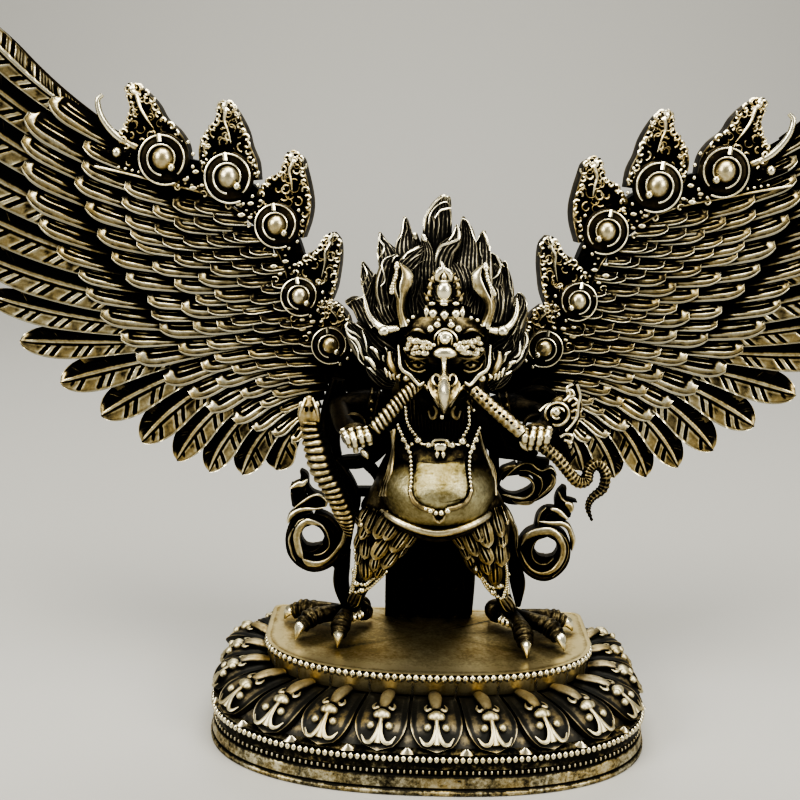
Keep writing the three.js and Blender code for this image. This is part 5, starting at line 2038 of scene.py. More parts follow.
    def ridges(self, locks: Sequence[Form]) -> list[Form]:
        """The polished ridges that run along the locks, traced as width and places."""
        skin = Skin(locks)
        lines = (
            (2.4, (424, 231), (424, 221), (428, 212), (434, 204), (441, 197)),
            (1.3, (428, 224), (431, 213), (438, 205), (446, 202), (450, 206)),
            (1.9, (435, 218), (440, 211), (446, 209), (451, 208)),
            (2.2, (441, 196), (444, 193), (449, 197), (451, 206)),
            (1.1, (439, 200), (443, 197), (446, 197)), (0.9, (432, 216), (434, 224), (433, 233)),
            (0.9, (438, 214), (439, 226), (436, 240)), (0.9, (450, 210), (451, 220), (450, 232)),
            (4.2, (415, 232), (415, 236), (417, 240)), (4.4, (422, 234), (424, 238), (426, 242)),
            (1.6, (397, 241), (401, 236), (403, 228), (404, 220), (406, 217)),
            (1.2, (409, 222), (411, 230), (413, 236)),
            (0.9, (406, 222), (407, 229), (404, 238)), (2.0, (403, 259), (408, 253), (414, 250), (419, 247)),
            (1.0, (409, 262), (415, 257), (421, 254)), (1.0, (412, 270), (418, 264), (425, 260)),
            (1.9, (380, 233), (380, 240), (384, 246), (382, 254), (377, 261)),
            (1.4, (379, 236), (378, 245), (376, 251), (372, 258), (370, 263)),
            (1.2, (381, 235), (386, 240), (392, 242)),
            (1.7, (363, 264), (366, 270), (367, 276), (364, 283), (360, 290), (356, 297)),
            (1.2, (362, 266), (361, 276), (360, 284)),
            (2.1, (400, 256), (395, 257), (392, 263)),
            (1.9, (391, 256), (385, 259), (382, 265), (384, 273), (385, 281), (381, 286)),
            (2.6, (457, 225), (459, 232), (458, 239), (450, 243), (441, 246), (437, 253), (435, 262)),
            (1.6, (456, 227), (453, 235), (449, 240)),
            (1.6, (462, 218), (467, 221), (470, 227), (473, 236), (476, 242)),
            (1.0, (462, 219), (461, 230), (462, 240)),
            (1.5, (476, 241), (480, 235), (483, 231)), (2.8, (483, 231), (486, 238), (488, 244), (491, 250)),
            (1.3, (480, 242), (480, 251), (482, 258)),
            (2.4, (491, 252), (497, 257), (500, 266), (498, 274), (491, 280)),
            (1.6, (503, 262), (506, 262), (508, 271), (509, 281), (511, 291), (513, 298)),
            (2.2, (501, 264), (504, 267)),
            (1.0, (494, 285), (498, 292), (498, 302)), (1.0, (500, 284), (503, 292), (504, 304)),
            (1.6, (515, 296), (519, 293), (524, 297), (527, 304), (531, 311)),
            (1.5, (345, 305), (352, 301), (358, 295)),
            (0.9, (374, 300), (377, 308), (382, 316)), (0.9, (383, 296), (384, 306), (388, 316)),
            (0.9, (416, 284), (412, 294), (414, 306)), (0.9, (422, 280), (420, 292), (424, 302)),
            (0.9, (468, 286), (466, 296), (470, 306)), (0.9, (478, 280), (474, 290), (476, 302)),
            (2.0, (348, 322), (346, 327), (350, 331), (356, 334), (361, 338)),
            (2.6, (346, 325), (347, 332), (351, 337), (356, 340), (359, 345), (361, 352), (364, 360)),
            (1.4, (350, 339), (355, 345), (358, 352), (359, 359), (364, 365)),
            (1.6, (362, 330), (364, 336), (366, 343), (367, 352)),
            (3.2, (370, 347), (374, 349), (377, 353), (380, 360)),
            (3.8, (365, 357), (369, 359), (373, 364), (376, 370)),
            (2.0, (367, 367), (371, 369), (376, 375)), (1.1, (353, 322), (360, 327), (365, 331)),
            (1.3, (385, 347), (387, 351), (388, 357)), (2.8, (388, 357), (391, 356), (392, 352)),
            (2.6, (383, 355), (384, 362)),
            (2.1, (525, 332), (527, 338), (526, 345), (523, 351), (521, 357), (516, 363)),
            (2.1, (520, 341), (520, 348), (519, 354), (514, 358)), (1.2, (524, 337), (524, 344), (522, 350)),
            (2.8, (511, 351), (506, 354), (504, 360), (501, 364)),
            (3.8, (516, 361), (511, 363), (508, 367), (505, 371)),
            (2.6, (512, 371), (508, 373), (504, 376)), (1.0, (504, 377), (500, 382), (495, 389)),
            (1.6, (517, 326), (515, 330), (512, 335)), (1.1, (513, 339), (514, 346), (512, 351)),
            (1.0, (509, 340), (505, 346), (501, 351)), (1.7, (499, 359), (498, 364), (501, 364)),
            (1.6, (493, 352), (494, 359), (497, 357), (498, 350)),
        )
        return [stroke(skin, places, width, 0.1 if width > 1.2 else -0.16, 6) for width, *places in lines]

    def back_locks(self) -> list[Form]:
        """Rows of locks down the back of the head."""
        forms = []
        for row, (base, reach, count) in enumerate(((99, 17, 9), (93, 16, 10), (86, 15, 9), (79, 13, 8))):
            for i in range(count):
                angle = math.pi * (0.12 + 0.76 * (i + 0.5) / count)
                wide, deep = 13.5 - 0.8 * row, 8.5
                foot = high(0.6 + wide * math.cos(angle), 9 + deep * math.sin(angle), base)
                out = np.array([math.cos(angle), math.sin(angle), 0])
                sway = 1.4 * (-1) ** (i + row)
                across = np.array([-out[1], out[0], 0])
                lean = 0.5 * (row < 2)
                path = np.array([
                    foot - [0, 0, 9], foot + out * 1.2, foot + out * 1.8 + across * sway + [0, 0, reach * 0.4],
                    foot + out * (1.6 - lean * 5) - across * sway + [0, 0, reach * 0.75],
                    foot + out * (0.4 - lean * 9) + [0, 0, reach]])
                path[:, 1] = np.minimum(path[:, 1], 20.0)
                forms.append(lock(path, [2.2, 2.6, 2.3, 1.4, 0.2],
                    19, 3, facing=out + [0, 0, 0.1], thick=2.2, tone=0.0))
        return forms

    def build(self, bench: Bench) -> None:
        """Makes the hair's pieces."""
        mass = self.blanks.ball.placed(high(0.2, 9.5, 96), (15.5, 8.4, 17.5)).toned(-0.6)
        front, sides = self.front_locks(), self.side_locks()
        bench.make("hair_mass", [mass], self.finish, -0.3)
        bench.make("hair_front", front, self.finish, 0.02)
        bench.make("hair_sides", sides, self.finish)
        bench.make("hair_ridges", self.ridges([mass, *front, *sides]), self.finish, 0.05)
        bench.make("hair_back", self.back_locks(), self.finish, -0.1)


@dataclass
class Head:
    """The beaked face with its crown, leaf-shaped ears and horns."""

    blanks: Blanks
    finish: Brass

    def bead(self, u: float, v: float, depth: float, size: float | Sequence[float], tone: float = 0.0) -> Form:
        """A bead at a place in the picture."""
        return self.blanks.bead.placed(LENS.spot(u, v, depth), size).toned(tone)

    @staticmethod
    def beside(sign: int) -> Callable[[float], float]:
        """Gives places across the picture by their distance from the face's middle, to one side."""
        return lambda offset: FACE_MIDDLE + sign * offset

    def skull(self) -> list[Form]:
        """The dark inner head, jaws and sockets."""
        ball = self.blanks.ball
        return [
            ball.placed(high(0.8, 5, 87), (12.2, 8.8, 12.5)).toned(-0.5),
            ball.placed(high(1.1, -0.5, 78.5), (8.2, 5.6, 4.6)).toned(-0.5),
            ball.placed(LENS.spot(444, 352, -1.5), (10.2, 5.0, 4.4)).toned(-0.16),
            ball.placed(LENS.spot(444, 328, -0.5), (11.2, 4.6, 4.6)).toned(-0.14),
            ball.placed(high(0.8, 4, 97.5), (12.6, 7.6, 5.2)).toned(-0.5),
            ball.placed(high(0.8, 6, 72), (8.5, 7.5, 7)).toned(-0.5),
        ]

    def beak(self) -> list[Form]:
        """The hooked beak with its ridge, dull flanges and nostrils."""
        line = spots((444, 373, -9), (444, 381, -11), (444, 391, -12.4), (444, 401, -12.7), (444, 408, -12),
            (444, 413, -11))

        def edged(angle: Array, v: Array) -> Array:
            return 0.35 * np.exp(-((angle / 0.35) ** 2)) + 0.35 * np.exp(-(((angle - 2 * np.pi) / 0.35) ** 2))

        flange = spots((444, 376, -6.4), (444, 384, -8.6), (444, 393, -10.4), (444, 402, -11.4), (444, 411, -11))

        def dull(u: Array, v: Array) -> tuple[Array, Array]:
            return 1.7 * (1 - np.abs(u)) ** 1.2, 0.16 - 0.34 * fade(np.abs(u), 0.6, 1.0)

        forms = [
            rod(line, [0.9, 1.5, 1.7, 1.4, 0.9, 0.3], 18, 36, edged, flat=1.0, tone=0.0),
            strip(flange, [3.4, 4.4, 3.6, 2.0, 0.4], FRONT, dull, 30, 17, 2.0),
            rod(spots((444, 353, -7.4), (444, 362, -7.4), (444, 371, -9), (444, 379, -12)), [1.3, 0.8, 0.9, 1.3],
                10, 20, tone=-0.04),
        ]
        for sign in (-1, 1):
            u = self.beside(sign)
            forms.append(rod(spots(
                (u(3), 387, -12.6), (u(8), 385, -10.8), (u(11.5), 380, -9.8), (u(9), 375, -9.8), (u(5), 377, -11),
                (u(5), 381, -12)), [0.3, 0.45, 0.5, 0.5, 0.4, 0.3], 7, 30, tone=-0.16))
            forms.append(self.bead(u(7), 380.5, -10.4, (0.9, 0.8, 1.1), -0.75))
            forms.append(rod(spots(
                (u(16), 411, -3), (u(13), 418, -4), (u(9), 416.5, -5), (u(8), 411, -5), (u(11), 406, -4.6)),
                [0.3, 0.5, 0.5, 0.45, 0.2], 7, 24, tone=-0.28))
            forms.append(rod(spots(
                (u(20), 386, -6.2), (u(14), 391, -7.6), (u(9), 399, -9.6), (u(5), 407, -10.6)),
                [0.5, 0.6, 0.6, 0.3], 6, 18, tone=-0.1))
        forms.append(self.bead(442, 417, -6, (0.65, 0.6, 0.8), -0.12))
        return forms

    def face(self) -> list[Form]:
        """Eyes, brows, cheeks and jaw."""
        ball = self.blanks.ball
        forms = [self.bead(445, 338, -6.6, (1.9, 1.5, 1.9), 0.02)]
        forms.append(hoop(LENS.spot(445, 338, -7.9), 1.3, 0.34, (0, -1, 0.25), 6, 22, 0.5, 5.2, 0.7, tone=0.1))
        forms.append(rod(spots((434, 346, -6), (436, 335, -6.2), (445, 329, -6.2), (455, 335, -6.2), (458, 346, -6)),
                         [0.4] * 5, 6, 26, tone=-0.02))
        forms.append(rod(spots((438, 345, -6.6), (439, 336, -7), (445, 332, -7), (451, 336, -7), (452, 345, -6.6)),
                         [0.35] * 5, 6, 24, tone=-0.04))
        forms.append(ball.placed(LENS.spot(445, 353, -6.8), (3.6, 1.8, 1.8)).toned(-0.18))
        rng = np.random.default_rng(7)
        brow = (
            (34.5, 344), (29, 341), (24, 342.5), (19, 342), (32, 350), (27.5, 346.5), (21, 348), (16, 348.5),
            (25, 352.5),
            (20, 353), (30.5, 354), (36.5, 349), (34, 339),
        )
        for sign in (-1, 1):
            u = self.beside(sign)
            for away, down in brow:
                size = rng.uniform(0.85, 1.4)
                away, down = away + rng.uniform(-0.8, 0.8), down + rng.uniform(-0.8, 0.8)
                depth = -7.0 + 0.09 * (away - 20)
                forms.append(self.bead(u(away), down, depth, (size * rng.uniform(0.8, 1.4), 0.9, size * 0.8),
                    rng.uniform(-0.25, 0.05)))
                forms.append(rod(spots((u(away - 2.4), down + 1, depth - 0.3), (u(away), down - 1.4, depth - 0.8),
                                       (u(away + 2), down + 1.2, depth - 0.2)), [0.2, 0.42, 0.15], 6, 7, tone=0.1))
            for away, down in ((20.5, 342), (15.5, 343), (22.5, 347), (16.5, 348), (11, 345)):
                forms.append(self.bead(u(away), down, -7.4, (0.8, 0.7, 0.6), 0.06))
            for places, radii, tone in (
                ([(14, 357, -6.0), (24, 358, -6.0), (33, 356.5, -5.2), (40, 351, -3.6)], [0.3, 0.7, 0.7, 0.3], -0.3),
                ([(18, 334, -5.4), (28, 330, -4.8), (39, 336, -3.2)], [0.4, 0.7, 0.3], -0.34),
                ([(40, 360, -3), (34, 369, -4.2), (26, 372, -5), (19, 370, -5.2)], [0.3, 0.5, 0.5, 0.3], -0.22),
                ([(34, 362, -4.2), (27, 359.5, -5.2), (19, 363, -5.2)], [0.3, 0.5, 0.3], -0.26),
                ([(46, 345, -2.6), (45, 356, -3.8), (44.5, 365, -4.6), (41, 371, -5.2), (34.5, 375, -5.8),
                 (29.5, 381, -6.4),
                  (25, 385, -7), (20, 382, -7.4)], [0.3, 0.5, 0.55, 0.6, 0.6, 0.6, 0.6, 0.4], 0.0),
                ([(55, 352, -0.6), (54, 362, -1.6), (50, 370, -2.6), (46, 376, -3.2)], [0.6, 1.1, 1.1, 0.5], -0.3),
            ):
                forms.append(rod(spots(*[(u(a), b, c) for a, b, c in places]), radii, 8, 34, tone=tone))
            forms.append(ball.placed(LENS.spot(u(26), 365, -3.4), (2.0, 1.6, 1.5)).toned(-0.36))
            forms.append(self.blanks.seed.placed(LENS.spot(u(26), 365, -5.1), (0.55, 0.3, 0.55)).toned(-0.8))
            forms.append(self.bead(u(37), 378.5, -4.8, (1.3, 1.0, 1.2), -0.04))
            for places, size in (
                ([(55, 371), (54, 375), (53, 380)], 0.6), ([(48, 371), (50.5, 375), (49.5, 380)], 0.6),
                ([(43.5, 374), (45.5, 377), (44, 381)], 0.9), ([(57, 377), (58, 372), (60, 368)], 0.5),
            ):
                forms.append(rod(spots(*[(u(a), b, -3.6 + 0.12 * (a - 44)) for a, b in places]), [0.25, size, 0.25],
                    7, 10, tone=0.02))
        return forms

    def crown(self) -> list[Form]:
        """Jewels, petals and beads of the crown."""
        forms = [self.blanks.ball.placed(LENS.spot(444, 291, -5.0), (2.3, 1.9, 2.75)).toned(0.04)]
        for v, wide, thick in ((281.5, 8, 0.45), (301.5, 8, 0.5)):
            forms.append(rod(spots((444 - wide, v - 1, -4.4), (444, v, -6.0), (444 + wide, v - 1, -4.4)),
                             [thick * 0.7, thick, thick * 0.7], 7, 14, tone=-0.02))
        for path, radii in (
            ([(437, 280), (438, 273), (443, 268), (441, 261)], [0.7, 1.1, 0.9, 0.2]),
            ([(450, 280), (450, 274), (446, 270), (444, 266)], [0.7, 1.0, 0.7, 0.2]),
            ([(444, 280), (444, 276), (444, 272)], [0.8, 0.9, 0.3]),
        ):
            forms.append(rod(spots(*[(u, v, -4.4) for u, v in path]), radii, 9, 18, tone=0.06))
        for sign in (-1, 1):
            for path, radii in (
                ([(8, 284), (11, 280), (9.5, 276), (11.5, 273)], [0.5, 0.8, 0.6, 0.2]),
                ([(9, 290), (13.5, 287), (12.5, 282), (15.5, 279)], [0.4, 0.8, 0.6, 0.2]),
                ([(9, 297), (14, 295), (14, 290), (17, 287)], [0.4, 0.8, 0.6, 0.2]),
                ([(10, 302), (16, 300), (17, 296), (20, 293)], [0.4, 0.7, 0.5, 0.2]),
            ):
                forms.append(rod(spots(*[(444 + sign * a, b, -4) for a, b in path]), radii, 7, 16, tone=-0.34))
        for u, v, size in ((432, 303.5, (1.1, 0.7, 0.55)), (444, 304, (1.3, 0.7, 0.55)),
                (456, 303.5, (1.1, 0.7, 0.55))):
            forms.append(self.bead(u, v, -5.8, size, 0.1))
        for u, v in ((433, 314), (444.5, 315.5), (456, 314.5), (426.5, 312), (462.5, 313)):
            petal = spots((u, v - 6, -5.0), (u, v - 1, -6.2), (u, v + 5.5, -6))
            forms.append(rod(petal, [0.4, 1.15 if 430 < u < 460 else 0.7, 0.2], 10, 14, flat=0.6, tone=0.02))
        for u, v in ((438.5, 320), (450.5, 320.5)):
            forms.append(self.bead(u, v, -5.6, (0.6, 0.6, 0.6), -0.05))
        for u, v, lean in ((431, 329, -2), (437.5, 325, -1), (451, 325, 1), (458, 329, 2)):
            forms.append(rod(spots((u - lean, v - 4, -5.6), (u, v - 0.5, -6.4), (u + lean * 0.6, v + 4, -6)),
                             [0.3, 1.05, 0.4], 9, 12, flat=0.7, tone=0.06))
        for sign, trail in (
            (-1, [(413, 317), (408, 321), (403, 325), (398, 329)]),
            (1, [(471, 318), (477, 320), (482, 325), (488, 328)]),
        ):
            path = spots(*[(u, v, -5.2 + 0.05 * abs(u - 444)) for u, v in trail])
            forms += beaded(self.blanks.bead, path, 1.7, (0.7, 0.65, 0.62))
        return forms

    def ear(self, sign: int) -> list[Form]:
        """A tall leaf-shaped ear with a beaded edge."""
        if sign < 0:
            path = spots((405, 326, -3.5), (401, 311, -3.2), (401, 298, -2.8), (401, 286, -2.4), (403.5, 275, -2),
                (400, 263, -1.4))
            half = [1.4, 1.15, 1.4, 2.6, 2.6, 1.1]
            edge = spots((392, 292, -2.6), (392.5, 285, -3.0), (395.5, 278, -3.2), (396.5, 271, -3.0), (397, 264, -2.4))
        else:
            path = spots((485, 326, -3.5), (490, 311, -3.2), (489, 299, -2.8), (483, 287, -2.4), (479.5, 276, -2),
                (483, 264, -1.4))
            half = [1.4, 1.25, 1.5, 2.5, 2.3, 1.0]
            edge = spots((494, 294, -2.6), (491, 287, -3.0), (488, 280, -3.2), (486.5, 272, -3.0), (485.5, 265, -2.4))

        def shell(u: Array, v: Array) -> tuple[Array, Array]:
            crease = hump(u * sign, 0.35, 0.14) * fade(v, 0.35, 0.5) * fade(v, 1.0, 0.9)
            return 1.2 * (1 - u**2) - 0.7 * crease, 0.06 - 0.35 * crease - 0.12 * fade(v, 0.5, 0.2) * np.abs(u)

        forms = [strip(path, half, FRONT, shell, 44, 19, 1.6, ends=round_end(np.linspace(0, 1, 44), 0.8, 1.8))]
        rng = np.random.default_rng(5)
        for place in blend(edge, np.linspace(0, 1, 11)):
            size = rng.uniform(0.55, 0.95)
            forms.append(self.blanks.bead.placed(place, (size, 0.7, size * 0.9)).toned(0.1))
        return forms

    def horn(self, sign: int) -> list[Form]:
        """A thin horn that sweeps out and up from a knob."""
        path = (
            spots((399, 328, -1.5), (386, 329, 0), (376, 323, 1.2), (369, 314, 2), (366, 304, 2.8), (364, 294, 3.2))
            if sign < 0 else
            spots((488, 330, -1.5), (500, 331, 0), (509, 326, 1.2), (515, 317, 2), (517, 308, 2.8), (517, 298, 3.2))
        )
        knob = LENS.spot(384.5 if sign < 0 else 502, 331, -0.6)
        return [
            rod(path, [0.9, 1.35, 1.05, 0.85, 0.75, 0.25], 9, 34, tone=0.0),
            self.blanks.ball.placed(knob, (1.9, 1.5, 1.5)).toned(0.02),
        ]

    def build(self, bench: Bench) -> None:
        """Makes the head's pieces."""
        bench.make("skull", self.skull(), self.finish, -0.25)
        bench.make("beak", self.beak(), self.finish, 0.05)
        bench.make("face", self.face(), self.finish, 0.05)
        bench.make("crown", self.crown(), self.finish, 0.08)
        sides = [form for sign in (-1, 1) for form in self.ear(sign) + self.horn(sign)]
        bench.make("ears_and_horns", sides, self.finish, 0.06)


@dataclass
class Arms:
    """Both arms with fists, bracelets and the ornament at the elbow."""

    blanks: Blanks
    finish: Brass

    def arm(self, sign: int) -> list[Form]:
        """Upper arm and forearm with their bands."""
        fist = (-22.6, 65.0) if sign < 0 else (27.5, 66.7)
        shoulder = high(0.6 + sign * 10, 9, 66)
        elbow = high(0.6 + sign * 28.5, 8.6, 70)
        wrist = high(fist[0], -4.5, fist[1])
        forms = [
            rod([shoulder, (shoulder + elbow) / 2 + [0, 0.5, 2.6], elbow], [5.0, 4.3, 3.4], 18, 28, tone=-0.15),
            rod([elbow + [0, 0.5, 0], high(fist[0] + sign * 3.4, 1, fist[1] + 1.8), wrist],
                [3.3, 3.2, 2.6], 16, 24, tone=-0.12),
            self.blanks.ball.placed(shoulder + [0, -1.5, 1.5], (6.2, 6.0, 5.6)).toned(-0.3),
        ]
        for share, size in ((0.45, 4.9), (0.56, 4.8)):
            place = shoulder * (1 - share) + elbow * share + [0, 0.4, 2.0]
            forms.append(hoop(place, size, 0.5, elbow - shoulder, 6, 30, tone=0.0))
        for step in range(12):
            angle = step / 12 * 2 * math.pi
            place = shoulder * 0.5 + elbow * 0.5 + [0, 0.4 + 4.7 * math.cos(angle), 2.0 + 4.7 * math.sin(angle)]
            forms.append(self.blanks.seed.placed(place, 0.75))
        lower = high(fist[0], -2.2, fist[1]) * 0.8 + elbow * 0.2
        for shift in (0.0, 1.3):
            forms.append(hoop(lower + [0, shift, 0.2], 3.3, 0.5, (0, -1, 0), 6, 26, tone=0.02))
        return forms

    def fist(self, sign: int) -> list[Form]:
        """Four fingers and a thumb closed round a snake."""
        if sign < 0:
            bars = [((343, 431), (347, 438), (350, 447)), ((351, 430), (354, 440), (356, 452)),
                    ((359, 429), (361, 437), (363, 446)), ((366, 429), (368, 436), (370, 444))]
            claw, palm = [(361, 450), (365, 454), (368, 459)], (-22.6, -5.0, 65.0)
        else:
            bars = [((526, 431), (525, 437), (525, 444)), ((534, 429), (532, 438), (530, 449)),
                    ((541, 429), (540, 438), (537, 449)), ((549, 429), (547, 437), (545, 447))]
            claw, palm = [(520, 441), (524, 446), (528, 451)], (27.3, -5.6, 66.5)
        forms = [self.blanks.ball.placed(high(*palm), (4.2, 3.6, 3.6)).toned(-0.4)]
        for first, second, third in bars:
            forms.append(rod(
                spots((*first, -8.2), (*second, -10.4), (*third, -9.6)), [1.0, 1.15, 0.7], 10, 18,
                lambda a, v: 0.12 * np.cos(v * 26), tone=0.1))
        forms.append(rod(spots(*[(*place, -9.4) for place in claw]), [0.5, 0.95, 0.2], 8, 12, tone=0.12))
        return forms

    def elbow_leaf(self) -> list[Form]:
        """The ringed leaf that stands at the right elbow."""
        forms = [
            hoop(LENS.spot(557, 414, -2.5), 3.2, 0.45, FRONT, 6, 30, tone=0.02),
            hoop(LENS.spot(557, 414, -3.2), 2.0, 0.4, FRONT, 6, 24, 0.4, 5.0, 1.2, tone=0.05),
            self.blanks.bead.placed(LENS.spot(556, 412, -3.2), (1.3, 0.8, 1.3)).toned(0.05),
            self.blanks.ball.placed(LENS.spot(560, 412, 0.5), (3.6, 2.4, 4.6)).toned(-0.45),
        ]
        body = spots((566, 432, 1), (570, 415, 0.5), (573, 400, 0.5), (577, 381, 1))
        forms.append(strip(
            body, [2.0, 3.0, 2.6, 0.4], FRONT,
            lambda u, v: 0.4 * (1 - u**2) + 0.5 * pebbles(u * 2.8, v * 14, 1.0) + 0.4 * fade(np.abs(u), 0.7, 0.9),
            44, 15, 2.0, tone=-0.08))
        for places in (
            [(540, 411), (547, 405), (556, 403), (564, 401), (570, 394), (567, 388), (573, 384)],
            [(566, 431), (572, 424), (577, 416), (578, 405), (580, 396), (577, 384)],
            [(560, 437), (566, 434), (572, 436), (570, 441), (564, 440)],
            [(568, 402), (573, 398), (577, 402), (572, 406)], [(566, 392), (571, 390), (574, 395), (569, 397)],
            [(571, 412), (576, 410), (576, 417), (571, 418)],
        ):
            forms.append(rod(spots(*[(*place, -0.6) for place in places]), [0.45] * len(places), 6, 30, tone=0.06))
        return forms

    def build(self, bench: Bench) -> None:
        """Makes the arms' pieces."""
        bench.make("arms", self.arm(-1) + self.arm(1), self.finish, -0.5)
        bench.make("fists", self.fist(-1) + self.fist(1), self.finish, -0.18)
        bench.make("elbow_leaf", self.elbow_leaf(), self.finish, -0.02)


@dataclass
class Snakes:
    """The snakes that are held in the beak and the fists."""

    blanks: Blanks
    finish: Brass

    @staticmethod
    def ribbed(count: float, depth: float, lean: float = 0.0) -> Relief:
        """Ribs across a body that fade on its back."""
        def relief(angle: Array, v: Array) -> Array:
            belly = 0.35 + 0.65 * fade(np.cos(angle - lean), -0.3, 0.3)
            return depth * np.abs(np.sin(v * count * math.pi + 1.1 * np.sin(angle))) * belly - depth * 0.5
        return relief

    @staticmethod
    def scaly(count: float, around: float, depth: float) -> Relief:
        """Small scales in crossing rows."""
        def relief(angle: Array, v: Array) -> Array:
            return depth * np.cos(v * count + angle * around) * np.cos(v * count - angle * around)
        return relief

    def build(self, bench: Bench) -> None:
        """Makes the snakes' pieces."""
        bitten = [
            rod(spots((418, 383, -4), (409, 391, -6.4), (398, 402, -7.4), (386, 416, -8.6), (374, 429, -9)),
                [1.6, 1.75, 1.85, 1.95, 1.9], 18, 120, self.ribbed(13, 0.75), tone=0.08),
            rod(spots((469, 386, -4), (478, 394, -6.4), (492, 407, -7.6), (506, 419, -8.8), (522, 433, -9.6)),
                [1.6, 1.75, 1.85, 1.95, 1.9], 20, 120, self.scaly(36, 3, 0.2), tone=0.06),
        ]
        pits = blend(spots((476, 391, -8.1), (492, 407, -9.6), (506, 419, -10.8), (519, 430, -11.2)),
            np.linspace(0.02, 0.98, 11))
        bitten += [self.blanks.seed.placed(place + [0.1, 0.25, 0], (0.55, 0.35, 0.5)).toned(-0.9) for place in pits]
        bench.make("bitten_snake", bitten, self.finish, -0.16)
        hanging = [
            rod(spots((309, 412, -11), (312, 430, -11.5), (318, 448, -12), (324, 468, -12), (333, 485, -12),
                      (339.5, 499, -11.6), (345.5, 513, -10.6), (348.5, 525, -9.6), (349, 536, -9)),
                [2.5, 3.0, 3.6, 3.7, 3.2, 2.95, 2.9, 1.9, 0.6], 24, 240, self.ribbed(22, 0.8, 0.7)),
            rod(spots((310, 424, -11.5), (309, 414, -12), (309, 405, -12), (309, 396, -11.5)),
                [2.7, 3.1, 2.5, 0.8], 20, 30, flat=0.72, tone=-0.02),
        ]
        body = hanging[0]
        axis = np.array(spots((309, 412, -11), (312, 430, -11.5), (318, 448, -12), (324, 468, -12), (333, 485, -12),
                              (345.5, 513, -10.6), (349, 536, -9)))[::-1]
        aside = body.points[:, 0] - np.interp(body.points[:, 2], axis[:, 2], axis[:, 0])
        # The snake's right side, beyond its axis, is painted dark as shade.
        body.tone = -0.06 - 0.55 * fade(aside, 1.3, 2.6)
        for sign in (-1, 1):
            hanging.append(self.blanks.bead.placed(LENS.spot(309 + sign * 8, 404, -13.2), (0.8, 0.7, 0.8)).toned(0.1))
            hanging.append(rod(spots((309 + sign * 3, 398, -13.2), (309 + sign * 7, 408, -13.8),
                (309 + sign * 9, 419, -12.8)),
                               [0.35, 0.5, 0.35], 6, 14, tone=0.1))
            hanging.append(self.blanks.seed.placed(LENS.spot(309 + sign * 2.6, 409, -14.3),
                (0.5, 0.3, 0.9)).toned(-0.8))
        bench.make("hanging_snake", hanging, self.finish, -0.16)
        tail = [
            rod(spots((542, 446, -8.6), (556, 457, -9.4), (567, 470, -10), (577, 481, -10), (586, 480, -9.4),
                      (589, 470, -8.6), (597, 464, -8), (605, 473, -7.6), (603, 488, -7), (592, 498, -7),
                      (588, 508, -7), (592, 521, -7)),
                [1.8, 1.7, 1.65, 1.65, 1.6, 1.5, 1.5, 1.45, 1.3, 1.0, 0.7, 0.2], 18, 220, self.scaly(124, 3, 0.24)),
        ]
        bench.make("right_snake", tail, self.finish, -0.3)


